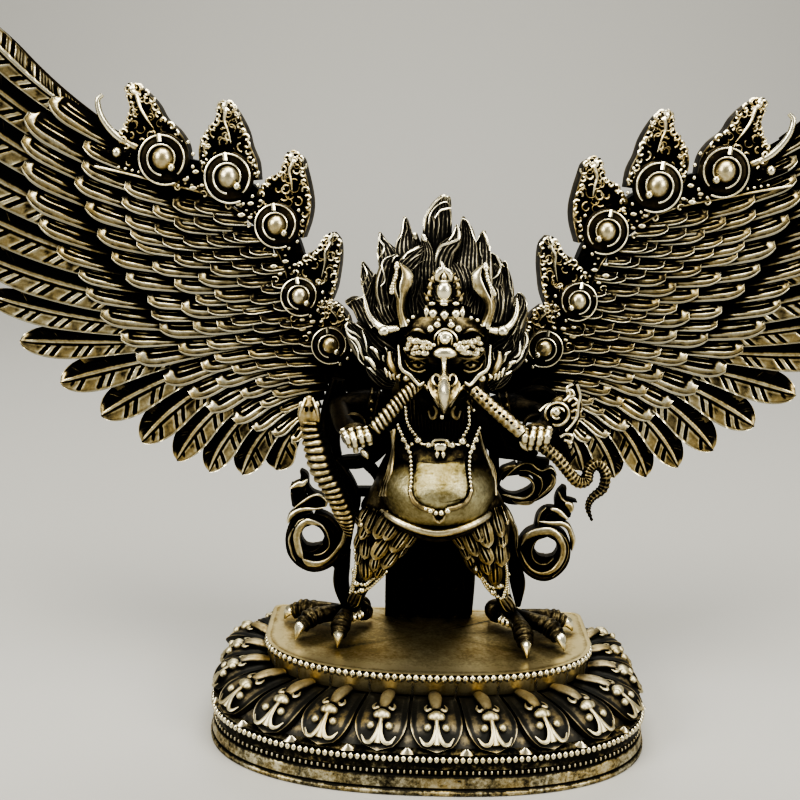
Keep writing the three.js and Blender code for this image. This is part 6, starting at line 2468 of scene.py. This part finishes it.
@dataclass
class Scarves:
    """The scarf that coils at each side and its blown ends."""

    finish: Brass

    @staticmethod
    def dark(depth: float, *places: tuple[float, float, float], thick: float = 3.0) -> Form:
        """A broad dark fold.

        Args:
            depth: Its Y.
            places: Places of its middle in the picture, each with half the width there.
            thick: Distance from its edges to its back.

        Returns:
            The fold.
        """
        def folds(u: Array, v: Array) -> tuple[Array, Array]:
            crease = np.cos(u * 10 + 0.5)
            return 0.5 * (1 - u**2) + 0.12 * crease, -0.52 + 0.12 * crease

        line = spots(*[(u, v, depth) for u, v, _ in places])
        return strip(line, np.array([w for _, _, w in places]) / POINTS_PER_MM, FRONT, folds, len(places) * 7, 13,
            thick)

    @staticmethod
    def edge(depth: float, tone: float, *places: tuple[float, float, float]) -> Form:
        """A worn edge that stands before a fold.

        Args:
            depth: Its Y.
            tone: How much brighter it is.
            places: Places of its middle in the picture, each with half the width there.

        Returns:
            The edge.
        """
        def worn(u: Array, v: Array) -> tuple[Array, Array]:
            return 0.8 * np.sqrt(np.clip(1 - 0.9 * u**2, 0, 1)), -0.1 * fade(np.abs(u), 0.5, 0.9) + 0 * v

        line = spots(*[(u, v, depth) for u, v, _ in places])
        rows = len(places) * 6
        ends = round_end(np.linspace(0, 1, rows), 0.9) * round_end(1 - np.linspace(0, 1, rows), 0.9)
        return strip(line, np.array([w for _, _, w in places]) / POINTS_PER_MM * 1.4, FRONT, worn, rows, 9, 2.2,
            tone=tone, ends=ends)

    def left(self) -> list[Form]:
        """The coil and the blown end at the left."""
        dark, edge = self.dark, self.edge
        return [
            dark(8.5, (313, 517, 8), (326, 523, 9), (334, 536, 10.5), (330, 552, 13), (314, 559, 15), (299, 552, 12),
                 (293.5, 537, 8.5), (299, 523, 8), (313, 517, 8)),
            dark(9, (352, 498, 5), (350, 520, 5), (347, 540, 5), (343, 556, 5), (334, 567, 4)),
            dark(9.5, (298, 507, 3), (308, 502.5, 6), (316, 501.5, 7), (325, 503, 4)),
            dark(9.8, (300, 486, 9.5), (298, 496, 8), (296, 507, 4)),
            dark(10, (304, 490, 5), (304.5, 482, 4.6), (304, 476, 4), (300.5, 471, 1)),
            dark(10, (305, 486, 3.5), (311, 493, 3), (322, 497, 2.5)),
            edge(7.4, 0.02, (304, 559, 1.4), (300, 553, 2.8), (297.5, 543.3, 3), (296.8, 535, 3), (300, 526.7, 2.8),
                 (306, 521.5, 2.4), (312.5, 522, 2.2), (320.8, 524.5, 1.2), (325.8, 530, 0.9), (328.3, 536, 0.8),
                 (329.6, 542.5, 0.8), (328.3, 547.5, 0.8), (324, 551.7, 0.8), (319, 554, 0.8), (313, 554, 0.5)),
            edge(7.4, 0.0, (304.5, 518, 0.6), (299, 520.8, 0.9), (295, 526, 0.6)),
            edge(7.6, 0.04, (294, 527, 0.6), (290.8, 534, 1), (289.4, 540, 1.1), (290.8, 547.5, 1.1), (293, 555, 1),
                 (296, 560, 0.6)),
            edge(7.4, 0.0, (302.5, 558, 1.5), (308, 562.5, 2.4), (315, 564, 2.6), (321.7, 562.5, 2.2), (328, 559, 1.6),
                 (333, 554, 1.4), (338, 548, 1.6), (342, 543, 2), (344, 537.5, 2), (344.5, 529, 1.4)),
            edge(8.0, -0.34, (303, 549, 0.8), (310, 551.5, 1), (317, 549, 0.9), (323, 543, 0.7)),
            edge(8.4, 0.06, (326, 506.5, 0.8), (316, 508.5, 1), (306, 509, 1.7), (298, 511, 2.2), (291, 516, 2.1),
                 (287.5, 523, 1)),
            edge(8.8, 0.0, (293.5, 508, 0.9), (302.5, 501.7, 1.3), (310, 496.7, 1.3), (316.7, 494.6, 1),
                 (322.5, 496.7, 1),
                 (326.7, 501.7, 1), (325, 507, 0.8)),
            edge(8.9, 0.1, (289.5, 488.5, 0.8), (297, 484.5, 2.2), (303, 483.5, 2.2), (307.5, 478.5, 0.8)),
            edge(9.2, -0.3, (292, 492, 1), (293, 499, 1.2), (296, 505, 0.8)),
            lock(spots((345, 552, 9), (342, 568, 11), (341, 584, 12), (345, 599, 13), (351, 610, 13.5)),
                [1.6, 2.3, 2.3, 1.9, 1.4], 36, 3, tone=-0.3),
        ]

    def right(self) -> list[Form]:
        """The coil, the loop and the blown end at the right."""
        dark, edge = self.dark, self.edge
        return [
            dark(8.5, (548, 530.5, 6.5), (560, 537, 7), (564, 549, 7), (559, 562, 10), (545, 569, 14), (531, 563, 12),
                 (525.5, 549, 9.5), (532, 536, 8), (548, 530.5, 6.5)),
            dark(11, (518, 468.5, 7), (534, 469, 8), (545, 479, 12), (537, 492, 9), (519, 499, 6.5), (505, 497, 5.5),
                 (497.5, 486, 2.5), (502, 474, 4.5), (518, 468.5, 7)),
            dark(9.5, (497, 504, 4), (506, 522, 4.5), (511, 540, 4.5), (514, 556, 4.5), (520, 570, 5)),
            dark(9.8, (538, 528, 4), (541, 517, 4.5), (548, 513, 6.5), (557, 515, 7), (566, 519, 4)),
            dark(10, (566, 518, 5), (564, 510, 8), (561, 502, 6.5), (562, 494, 5), (565, 487, 2)),
            dark(10.4, (562, 502, 3), (570, 501, 2), (577, 502, 0.6)),
            edge(7.4, 0.0, (520.5, 545, 1.4), (527, 536, 2.6), (538, 531.7, 3), (550, 531, 3), (557.5, 535, 2.6),
                 (562, 542, 2.3), (563.5, 549, 2.2), (562, 557.5, 2.3), (557, 566, 2.2), (550, 571.5, 1.8),
                 (541.7, 573, 1.3),
                 (533, 570, 1.1), (526.7, 563.5, 1), (522.5, 555.8, 0.9), (519.5, 549, 0.6)),
            edge(7.6, 0.0, (541, 537, 0.4), (535, 541.5, 0.6), (532, 547, 0.7), (531.5, 553, 0.7), (534, 559.5, 0.7),
                 (540, 563.5, 0.7), (547, 563, 0.7), (554, 557, 0.4)),
            edge(7.8, -0.04, (559, 531, 0.5), (565.5, 539, 0.8), (568, 548, 0.8), (566, 559, 0.7), (560, 569, 0.6),
                 (551, 577, 0.4)),
            edge(8.2, 0.0, (538.5, 520.5, 0.8), (550, 523.3, 1.9), (561.7, 523.6, 2), (568, 527, 2), (571.5, 534, 2),
                 (573, 541, 1.8), (571.5, 551, 0.5)),
            edge(8.6, 0.06, (550, 508.5, 1.2), (557.5, 510.5, 2), (563, 515, 2), (568, 519.5, 0.9)),
            edge(8.6, -0.02, (546, 507, 0.6), (541, 512, 0.8), (538.5, 519, 0.8), (538, 526, 0.7), (530, 533, 0.4)),
            edge(9.0, -0.2, (545, 518, 0.6), (547, 514, 0.7), (551, 513, 0.5)),
            edge(8.8, -0.06, (571, 512, 1.2), (570, 506, 2.8), (565, 502.5, 1.4)),
            edge(9.0, 0.06, (558.5, 491, 0.6), (561.5, 498, 0.9), (567, 502.5, 0.7)),
            edge(9.9, 0.06, (502, 480, 0.4), (512, 470, 0.9), (522, 463.6, 1), (530, 463, 1.1), (536.7, 468, 1),
                 (542, 470, 1),
                 (548, 468, 0.9), (553, 469, 0.8), (557, 476, 0.5)),
            edge(10, 0.0, (519, 469.8, 0.5), (526.7, 470, 0.8), (533, 472.8, 0.9), (540, 477.5, 1), (542, 483.5, 0.9),
                 (541, 489, 0.8), (537.5, 495.5, 0.5)),
            edge(10, 0.04, (519, 475.5, 0.5), (526.7, 477, 0.9), (531.7, 481, 0.9), (533.8, 486, 1), (531.7, 493, 1),
                 (525, 497.8, 1), (518, 498, 1), (508, 495.8, 0.8), (501, 493.5, 0.4)),
            edge(9.9, -0.06, (551, 473, 0.8), (553.5, 479, 1.8), (551, 486, 2), (543, 493, 1.2), (536, 498.5, 0.8),
                 (529, 502.5, 1.8), (518, 502.5, 1.4), (512, 500, 0.5)),
            edge(9.9, -0.06, (498.5, 480, 0.8), (501.7, 471, 1.9), (508, 467.4, 1.9), (516, 464.6, 0.8)),
            edge(8.4, -0.04, (498, 502, 1.2), (504, 509, 2.4), (509, 517, 2.6), (513, 526, 2.2), (515.3, 535, 1.8),
                 (516, 546, 1.6), (518, 557, 1)),
            edge(8.0, 0.08, (513, 521, 0.4), (516.8, 530, 0.8), (517.4, 540, 0.8), (517, 548, 0.5)),
            lock(spots((513, 556, 9), (516, 572, 11), (518, 586, 12), (518, 605, 13.5)), [1.4, 2.2, 2.2, 0.8],
                34, 3, tone=-0.3),
        ]

    def build(self, bench: Bench) -> None:
        """Makes the scarves' pieces."""
        dark, edge = self.dark, self.edge
        strands = [
            dark(6.5, (333, 462, 6), (342, 474, 7), (350, 488, 7), (353, 502, 8), (352, 516, 5)),
            dark(7.5, (346, 492, 3), (358, 492.5, 4.5), (370, 492.5, 4.5), (381, 492, 4)),
            dark(7.5, (358, 459, 3), (368, 466, 5), (376, 475, 4.5), (380, 486, 4), (382, 496, 3)),
            dark(8.5, (332, 464, 4), (346, 463, 6.5), (360, 462, 7), (372, 456, 8), (384, 446, 7)),
            dark(8.5, (494, 452, 5), (495, 470, 4.5), (495, 488, 4), (498, 506, 4)),
            dark(8.5, (494, 448, 10), (508, 452, 8), (518, 456, 5), (532, 460, 3), (549, 463, 3)),
            dark(8.5, (334, 400, 9), (348, 414, 12), (360, 428, 14), (374, 442, 13), (384, 452, 9)),
            dark(8.5, (484, 412, 8), (490, 428, 11), (496, 442, 12), (503, 454, 8)),
            dark(9.5, (338, 380, 7), (336, 392, 10), (333, 410, 12), (330, 428, 11), (331, 444, 9), (336, 458, 6)),
            dark(9.5, (516, 400, 6), (530, 397, 9), (543, 396, 9), (556, 400, 6)),
            dark(9.5, (494, 416, 6), (504, 428, 9), (514, 439, 10), (525, 448, 8), (536, 456, 4)),
            dark(9.5, (550, 424, 6), (556, 436, 9), (561, 448, 8), (567, 460, 6)),
            edge(5.8, -0.36, (372, 497, 0.4), (366, 500, 1.2), (361, 507, 0.6)),
            edge(6.8, -0.4, (361, 460, 0.4), (365, 467, 0.8), (371, 473, 0.5)),
            edge(7.8, -0.4, (387, 440, 0.4), (389, 448, 0.6), (387, 456, 0.4)),
        ]
        bench.make("left_scarf", self.left(), self.finish, -0.02)
        bench.make("right_scarf", self.right(), self.finish, -0.02)
        bench.make("scarf_strands", strands, self.finish, -0.1)


@dataclass
class Legs:
    """Feathered thighs, beaded shins and clawed feet."""

    blanks: Blanks
    finish: Brass

    def limb(self, sign: int) -> Form:
        """Thigh, knee and shin."""
        if sign < 0:
            path = raised((-9, 6, 45), (-13.6, 5, 36), (-16.6, 4, 27.5), (-19.2, 8, 19), (-21.6, 12.2, 11.3),
                (-24.2, 14, 3.4))
        else:
            path = raised((9, 6, 45), (14, 5, 37), (16.6, 4, 28.5), (19.3, 8, 20), (22, 12.2, 12.2), (25.8, 14, 3.4))
        return rod(path, [9.2, 8.4, 5.9, 3.7, 2.4, 2.6], 24, 50, tone=-0.3)

    @staticmethod
    def veined(u: Array, v: Array) -> tuple[Array, Array]:
        """Front of a leaf: a pale broad rim and a vein between two dark grooves, painted darker toward its root as
        shade.
        """
        groove = sum(fade(np.abs(u - k), 0.17, 0.08) for k in (-0.27, 0.25)) * fade(v, 0.84, 0.66)
        height = 0.8 * (1 - u**2) - 0.4 * groove + 0.15 * fade(v, 0.7, 0.9)
        # The last term paints shade toward the root, where the leaf above lies over it.
        return height, -0.04 - 0.62 * groove - 0.4 * fade(np.abs(u), 0.86, 1) - 0.3 * fade(v, 0.5, 0.1)

    def leaves(self, skin: Skin, sign: int) -> list[Form]:
        """Leaf-shaped feathers in rows down the thigh."""
        if sign < 0:
            listed = [
                ((360, 512), (357, 526), 3.6), ((370, 508), (363, 522), 4.0), ((378, 510), (369, 532), 4.6),
                ((370, 522), (363, 538), 4.2), ((391, 512), (376, 537), 5.4), ((410, 524), (390, 550), 5.8),
                ((421, 534), (405, 547), 5.0), ((398, 519), (384, 538), 5.0), ((364, 530), (358, 547), 3.8),
                ((368, 538), (366, 557), 4.6), ((388, 536), (374, 557), 5.4), ((414, 546), (400, 558), 4.4),
                ((398, 546), (382, 566), 5.2), ((377, 552), (374, 568), 4.2), ((362, 548), (360, 562), 3.6),
                ((366, 558), (367, 577), 5.0), ((384, 562), (376, 574), 4.0),
            ]
        else:
            listed = [
                ((500, 506), (505, 524), 3.8), ((493, 508), (500, 536), 4.4), ((481, 516), (488, 546), 5.4),
                ((466, 526), (478, 554), 5.8), ((450, 532), (463, 549), 5.0), ((474, 520), (482, 540), 5.0),
                ((500, 528), (501, 546), 4.4), ((452, 545), (463, 562), 4.4), ((480, 542), (490, 562), 5.2),
                ((498, 538), (500, 564), 4.6), ((466, 550), (478, 571), 4.8), ((484, 558), (488, 571), 4.0),
                ((505, 548), (504, 560), 3.4), ((494, 560), (495, 582), 5.0), ((474, 562), (482, 574), 4.0),
            ]
        forms = []
        for root, tip, half in listed:
            steps = [(root[0] + (tip[0] - root[0]) * t, root[1] + (tip[1] - root[1]) * t) for t in (0, 0.35, 0.7, 1)]
            path, facing = skin.line(steps, 0.2, 0)
            facing = unit(facing.mean(0)) + [0, -1.6, 0]
            path = path + np.outer([0.0, 0.35, 0.7, 1.0], unit(facing)) * 0.9
            wide = half / POINTS_PER_MM * 1.5
            forms.append(strip(
                path, [wide * 0.7, wide, wide, wide * 0.9], unit(facing), self.veined, 26, 19, 1.6,
                ends=round_end(np.linspace(0, 1, 26), 0.62, 2.2)))
        return forms

    def shin(self, skin: Skin, sign: int) -> list[Form]:
        """Beaded strings, the golden plate and the ring above the foot."""
        if sign < 0:
            strings = [
                [(357, 550), (358, 564), (356, 576), (354, 590)], [(353, 570), (352, 580), (352, 592)],
                [(385, 570), (376, 579), (367, 587), (357, 591)], [(380, 573), (372, 577), (366, 583), (359, 582)],
            ]
            plate, ring = [(358, 592), (354, 600), (351, 607)], (349, 609)
        else:
            strings = [
                [(503, 558), (505, 570), (505, 584), (503, 596)], [(508, 574), (508, 582), (507, 592)],
                [(474, 570), (483, 580), (492, 590), (501, 597)], [(480, 574), (488, 582), (494, 586), (501, 585)],
            ]
            plate, ring = [(503, 597), (508, 604), (513, 612)], (513, 615)
        forms = []
        for string in strings:
            path, _ = skin.line(string, 0.5, 6)
            forms += beaded(self.blanks.seed, path, 1.2, 0.68)
        path, facing = skin.line(plate, 0.0, 10)
        forms.append(leaf(path, [1.5, 1.9, 1.6], unit(facing.mean(0)), 18, 1, 1.2, 0.0, 0.9))
        for u, v in ((499, 584), (494, 590)) if sign > 0 else ((358, 582), (362, 588)):
            place, normal = skin.touch(u, v, 6)
            forms.append(self.blanks.bead.placed(place + normal * 0.6, 1.1))
        place = LENS.spot(*ring, 12.5)
        forms.append(hoop(place, 3.1, 0.7, (0, -0.35, 1), 8, 34, tone=0.0))
        forms.append(hoop(place + [0, 0, -1.6], 3.0, 0.5, (0, -0.35, 1), 8, 34, tone=-0.05))
        for k in range(7):
            angle = math.pi * (1.08 + 0.84 * k / 6)
            foot = place + [3.3 * math.cos(angle), 3.0 * math.sin(angle), 0]
            out = np.array([math.cos(angle), math.sin(angle), 0])
            forms.append(rod([foot, foot + out * 0.9 + [0, 0, -1.2], foot + out * 0.6 + [0, 0, -2.6]],
                             [0.4, 0.75, 0.15], 6, 9, tone=0.02))
        return forms

    def foot(self, sign: int) -> tuple[list[Form], list[Form]]:
        """Four toes with wrinkled knuckles, and their claws."""
        toes = {
            -1: [
                [(-24.8, 13, 4.2), (-26, 4, 5.2), (-26.6, -0.5, 3.8), (-26.9, -3.6, 0.3)],
                [(-26, 13, 4.2), (-34, 7.5, 5.2), (-37.6, 4.4, 3.8), (-39.6, 1.0, 0.3)],
                [(-27, 14, 3.8), (-36, 14.5, 4.4), (-41, 15, 3.4), (-44.4, 15.4, 0.3)],
                [(-24.6, 14, 3.4), (-21, 15.5, 3.6), (-19.2, 16.6, 2.6), (-17.6, 18, 0.3)],
            ],
            1: [
                [(26, 13, 4.2), (27.2, 2, 5.2), (27.8, -3.4, 3.8), (28.2, -6.9, 0.3)],
                [(27, 13, 4.2), (34.6, 5.4, 5.2), (37.8, 1.6, 3.8), (39.8, -2.1, 0.3)],
                [(28, 14, 3.8), (36.6, 12.6, 4.4), (40.6, 12.4, 3.4), (44.2, 12.2, 0.3)],
                [(25.6, 14, 3.4), (22, 16.5, 3.6), (20.4, 18.2, 2.6), (19, 20, 0.3)],
            ],
        }[sign]
        flesh, claws = [], []
        for toe in toes:
            path = raised(*toe)
            line = blend(path, np.linspace(0, 0.72, 5))
            flesh.append(rod(line, [2.4, 2.5, 2.6, 2.5, 2.1], 18, 60, self.wrinkled, facing=UP, tone=-0.42))
            end = blend(path, np.array([0.66, 0.8, 0.9, 1.0]))
            end[1:3, 2] += 0.9
            claws.append(rod(end, [1.6, 1.6, 1.05, 0.15], 14, 26, self.bladed, facing=UP, tone=-0.1))
            claws.append(hoop(end[0] + [0, 0, 0.1], 1.75, 0.4, end[1] - end[0], 6, 22, tone=-0.3))
        return flesh, claws

    @staticmethod
    def wrinkled(angle: Array, v: Array) -> Array:
        """Folds of skin along a toe, and its two knuckles."""
        folds = 0.2 * np.cos(v * 44) * fade(v, 0.25, 0.5)
        return folds + 0.35 * hump(v, 0.66, 0.1) + 0.3 * hump(v, 0.93, 0.06)

    @staticmethod
    def bladed(angle: Array, v: Array) -> Array:
        """A low ridge along a claw."""
        return 0.3 * np.exp(-((angle / 0.4) ** 2)) * fade(v, 1, 0.7)

    def build(self, bench: Bench) -> None:
        """Makes the legs' pieces."""
        for name, sign in (("left", -1), ("right", 1)):
            limb = self.limb(sign)
            skin = Skin([limb])
            flesh, claws = self.foot(sign)
            bench.make(f"{name}_leg", [limb], self.finish, -0.15)
            bench.make(f"{name}_thigh_leaves", self.leaves(skin, sign), self.finish, 0.04)
            bench.make(f"{name}_shin_beads", self.shin(skin, sign), self.finish, 0.04)
            bench.make(f"{name}_toes", flesh, self.finish, -0.06)
            bench.make(f"{name}_claws", claws, self.finish, 0.1)


@dataclass
class Tail:
    """The broad tail that stands on the plinth behind the legs, painted dark as shade, and the plain back."""

    blanks: Blanks
    finish: Brass

    def feather(self, x: float, half: float, facing: Sequence, y_shift: float) -> Form:
        """One long feather of the tail."""
        path = raised((x * 0.3, 13 + y_shift, 42), (x * 0.6, 17.8 + y_shift, 31.5), (x * 0.92, 20.2 + y_shift, 23.5),
                      (x, 21.6 + y_shift, 12), (x, 22.4 + y_shift, 0.4))

        def vane(u: Array, v: Array) -> Array:
            return 0.5 * (1 - u**2) + 0.4 * hump(u, 0, 0.12) - 0.25 * np.clip(np.sin(v * 90 - np.abs(u) * 5), 0, 1)

        return strip(path, [half * 0.7, half, half * 1.05, half, half * 0.95], facing, vane, 84, 13, 1.2)

    def build(self, bench: Bench) -> None:
        """Makes the tail's and the back's pieces."""
        levels = [(44, 13, 5, 3.6), (33, 18, 7.6, 3.6), (27.5, 19.6, 10.6, 3.4), (21, 21, 13.4, 3), (12, 22, 14, 2.8),
            (0.1, 22.8, 13.6, 2.6)]
        share = np.linspace(0, 1, 24)
        table = blend(np.array(levels, float), share)
        angle = np.linspace(0, 2 * np.pi, 36, endpoint=False)
        rings = [
            np.stack([0.4 + half * np.cos(angle), y + thick * np.sin(angle), np.full(36, FIGURE_FOOT + h)], 1)
            for h, y, half, thick in table
        ]
        # The tail's tones paint it dark as shade, as it stands in shadow behind the legs.
        forms = [loft(rings).toned(-0.3)]
        for x in (-10.6, -5.4, 0, 5.4, 10.6):
            forms.append(self.feather(x, 2.9, FRONT, -3.0).toned(-0.25))
            forms.append(self.feather(x, 2.9, BACK, 2.6).toned(-0.1))
        for x in (-21, 20.6):
            forms.append(self.blanks.ball.placed(high(x, 17.0, 4.6), (3.3, 2.6, 3.4)).toned(-0.35))
            forms.append(hoop(high(x, 15.2, 4.8), 2.2, 0.6, FRONT, 6, 24, 0.4, 5.4, 1.0, tone=-0.2))
        # The level of -0.25 adds more painted shade to the whole tail.
        bench.make("tail", forms, self.finish, -0.25)
        back = []
        for row, h in enumerate(range(40, 74, 6)):
            count = 5 + row % 2
            for i in range(count):
                x = (i - (count - 1) / 2) * 5.2
                path = raised((x * 0.9, 18.2, h + 7.5), (x, 20.2, h + 3), (x, 21.6, h - 1.5))
                back.append(leaf(path, [2.2, 2.9, 2.6], BACK, 18, 2, 1.4, -0.05))
        block = self.blanks.tick.placed(high(0.4, 16.4, 79.5), (27, 10, 24)).toned(-0.35)
        bench.make("back_feathers", back + [block], self.finish, -0.1)


# ---------------------------------------------------------------- studio


class Studio:
    """Pale floor and backdrop, soft lights and the camera."""

    def build(self) -> None:
        """Adds all of it."""
        LENS.build()
        self.sweep()
        self.lights()

    def sweep(self) -> None:
        """A floor that curves up into a backdrop."""
        drop_selection()
        bpy.ops.mesh.primitive_grid_add(x_subdivisions=2, y_subdivisions=60, size=2)
        floor = bpy.context.object
        floor.name = "floor_sweep"
        for vertex in floor.data.vertices:
            along = (vertex.co.y + 1) / 2 * 4.6 - 1.6
            bend = min(max(along - 0.75, 0.0) / 0.8, 1.0) * math.pi / 2
            rest = max(along - 1.55, 0.0)
            radius = 0.8 / (math.pi / 2)
            y = min(along, 0.75) + radius * math.sin(bend)
            vertex.co = (vertex.co.x * 2.4, y, radius * (1 - math.cos(bend)) + rest)
        bpy.ops.object.shade_smooth()
        made = bpy.data.materials.new("pale_paper")
        made.use_nodes = True
        shader = made.node_tree.nodes["Principled BSDF"]
        shader.inputs["Base Color"].default_value = (0.42, 0.41, 0.375, 1)
        shader.inputs["Roughness"].default_value = 0.6
        floor.data.materials.append(made)

    def lights(self) -> None:
        """A broad light above, one to each side in front, and a dim surround."""
        for name, place, size, power, colour in (
            ("top_light", (0.05, -0.3, 1.1), (1.1, 0.7), 14.0, (1.0, 0.985, 0.95)),
            ("left_light", (-0.9, -0.75, 0.7), (0.5, 0.7), 10.0, (1.0, 0.99, 0.96)),
            ("right_light", (0.9, -0.8, 0.6), (0.5, 0.7), 8.0, (1.0, 0.98, 0.93)),
            ("back_light", (0.0, 1.0, 1.3), (1.2, 0.5), 8.0, (0.98, 0.99, 1.0)),
        ):
            data = bpy.data.lights.new(name, "AREA")
            data.shape = "RECTANGLE"
            data.size, data.size_y = size
            data.energy = power
            data.color = colour
            lamp = bpy.data.objects.new(name, data)
            lamp.location = place
            way = Vector((0, 0, 0.1)) - Vector(place)
            lamp.rotation_euler = way.to_track_quat("-Z", "Y").to_euler()
            bpy.context.scene.collection.objects.link(lamp)
        world = bpy.data.worlds.new("dim_room")
        world.use_nodes = True
        world.node_tree.nodes["Background"].inputs["Color"].default_value = (0.72, 0.72, 0.7, 1)
        world.node_tree.nodes["Background"].inputs["Strength"].default_value = 0.34
        bpy.context.scene.world = world
        bpy.context.scene.view_settings.look = "AgX - High Contrast"


def main() -> None:
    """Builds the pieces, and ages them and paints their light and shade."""
    logging.basicConfig(level=logging.INFO, format="%(name)s %(message)s")
    blanks, bench = Blanks(), Bench()
    cast = Brass("cast_brass")
    # hair_brass's deep is a dark grey rather than near black: patina with a painted sheen in the dark.
    hair_metal = Brass(
        "hair_brass", deep=(0.010, 0.0096, 0.0085), brown=(0.05, 0.045, 0.033), warm=(0.30, 0.265, 0.18),
        gold=(0.31, 0.255, 0.14), gilded=-0.5, stain=0.14)
    belly = Brass(
        "belly_brass", warm=(0.165, 0.14, 0.068), bright=(0.49, 0.455, 0.29), gold=(0.22, 0.178, 0.07), gilded=0.4,
        rough=0.42, stain=0.3, grain=0.8)
    plinth_metal = Brass("plinth_metal", warm=(0.27, 0.205, 0.105), bright=(0.80, 0.74, 0.55), stain=0.2)
    # petal_metal's deep is a dark grey rather than near black: the petals' patina with a painted sheen.
    petal_metal = Brass(
        "petal_metal", deep=(0.026, 0.0255, 0.022), brown=(0.05, 0.046, 0.037), warm=(0.30, 0.25, 0.155),
        bright=(0.66, 0.6, 0.4), rough=0.46, stain=0.16)
    top_metal = Brass(
        "plinth_top_metal", brown=(0.125, 0.1, 0.045), warm=(0.305, 0.245, 0.118), bright=(0.6, 0.51, 0.29),
        gold=(0.27, 0.19, 0.065), gilded=0.4, rough=0.42, stain=0.34)
    base_metal = Brass(
        "plinth_base_metal", deep=(0.012, 0.011, 0.008), brown=(0.04, 0.034, 0.022), warm=(0.195, 0.168, 0.095),
        bright=(0.62, 0.57, 0.41), stain=0.7, rough=0.36)
    Studio().build()
    Plinth(blanks, plinth_metal, petal_metal, top_metal, base_metal).build(bench)
    Wing("left_wing", -1, blanks, cast).build(bench)
    Wing("right_wing", 1, blanks, cast, 0.96, 2.4).build(bench)
    Tail(blanks, cast).build(bench)
    Torso(blanks, cast, belly).build(bench)
    Legs(blanks, cast).build(bench)
    Arms(blanks, cast).build(bench)
    Snakes(blanks, cast).build(bench)
    Scarves(cast).build(bench)
    Hair(blanks, hair_metal).build(bench)
    Head(blanks, cast).build(bench)
    bench.age()


if __name__ == "__main__":
    main()
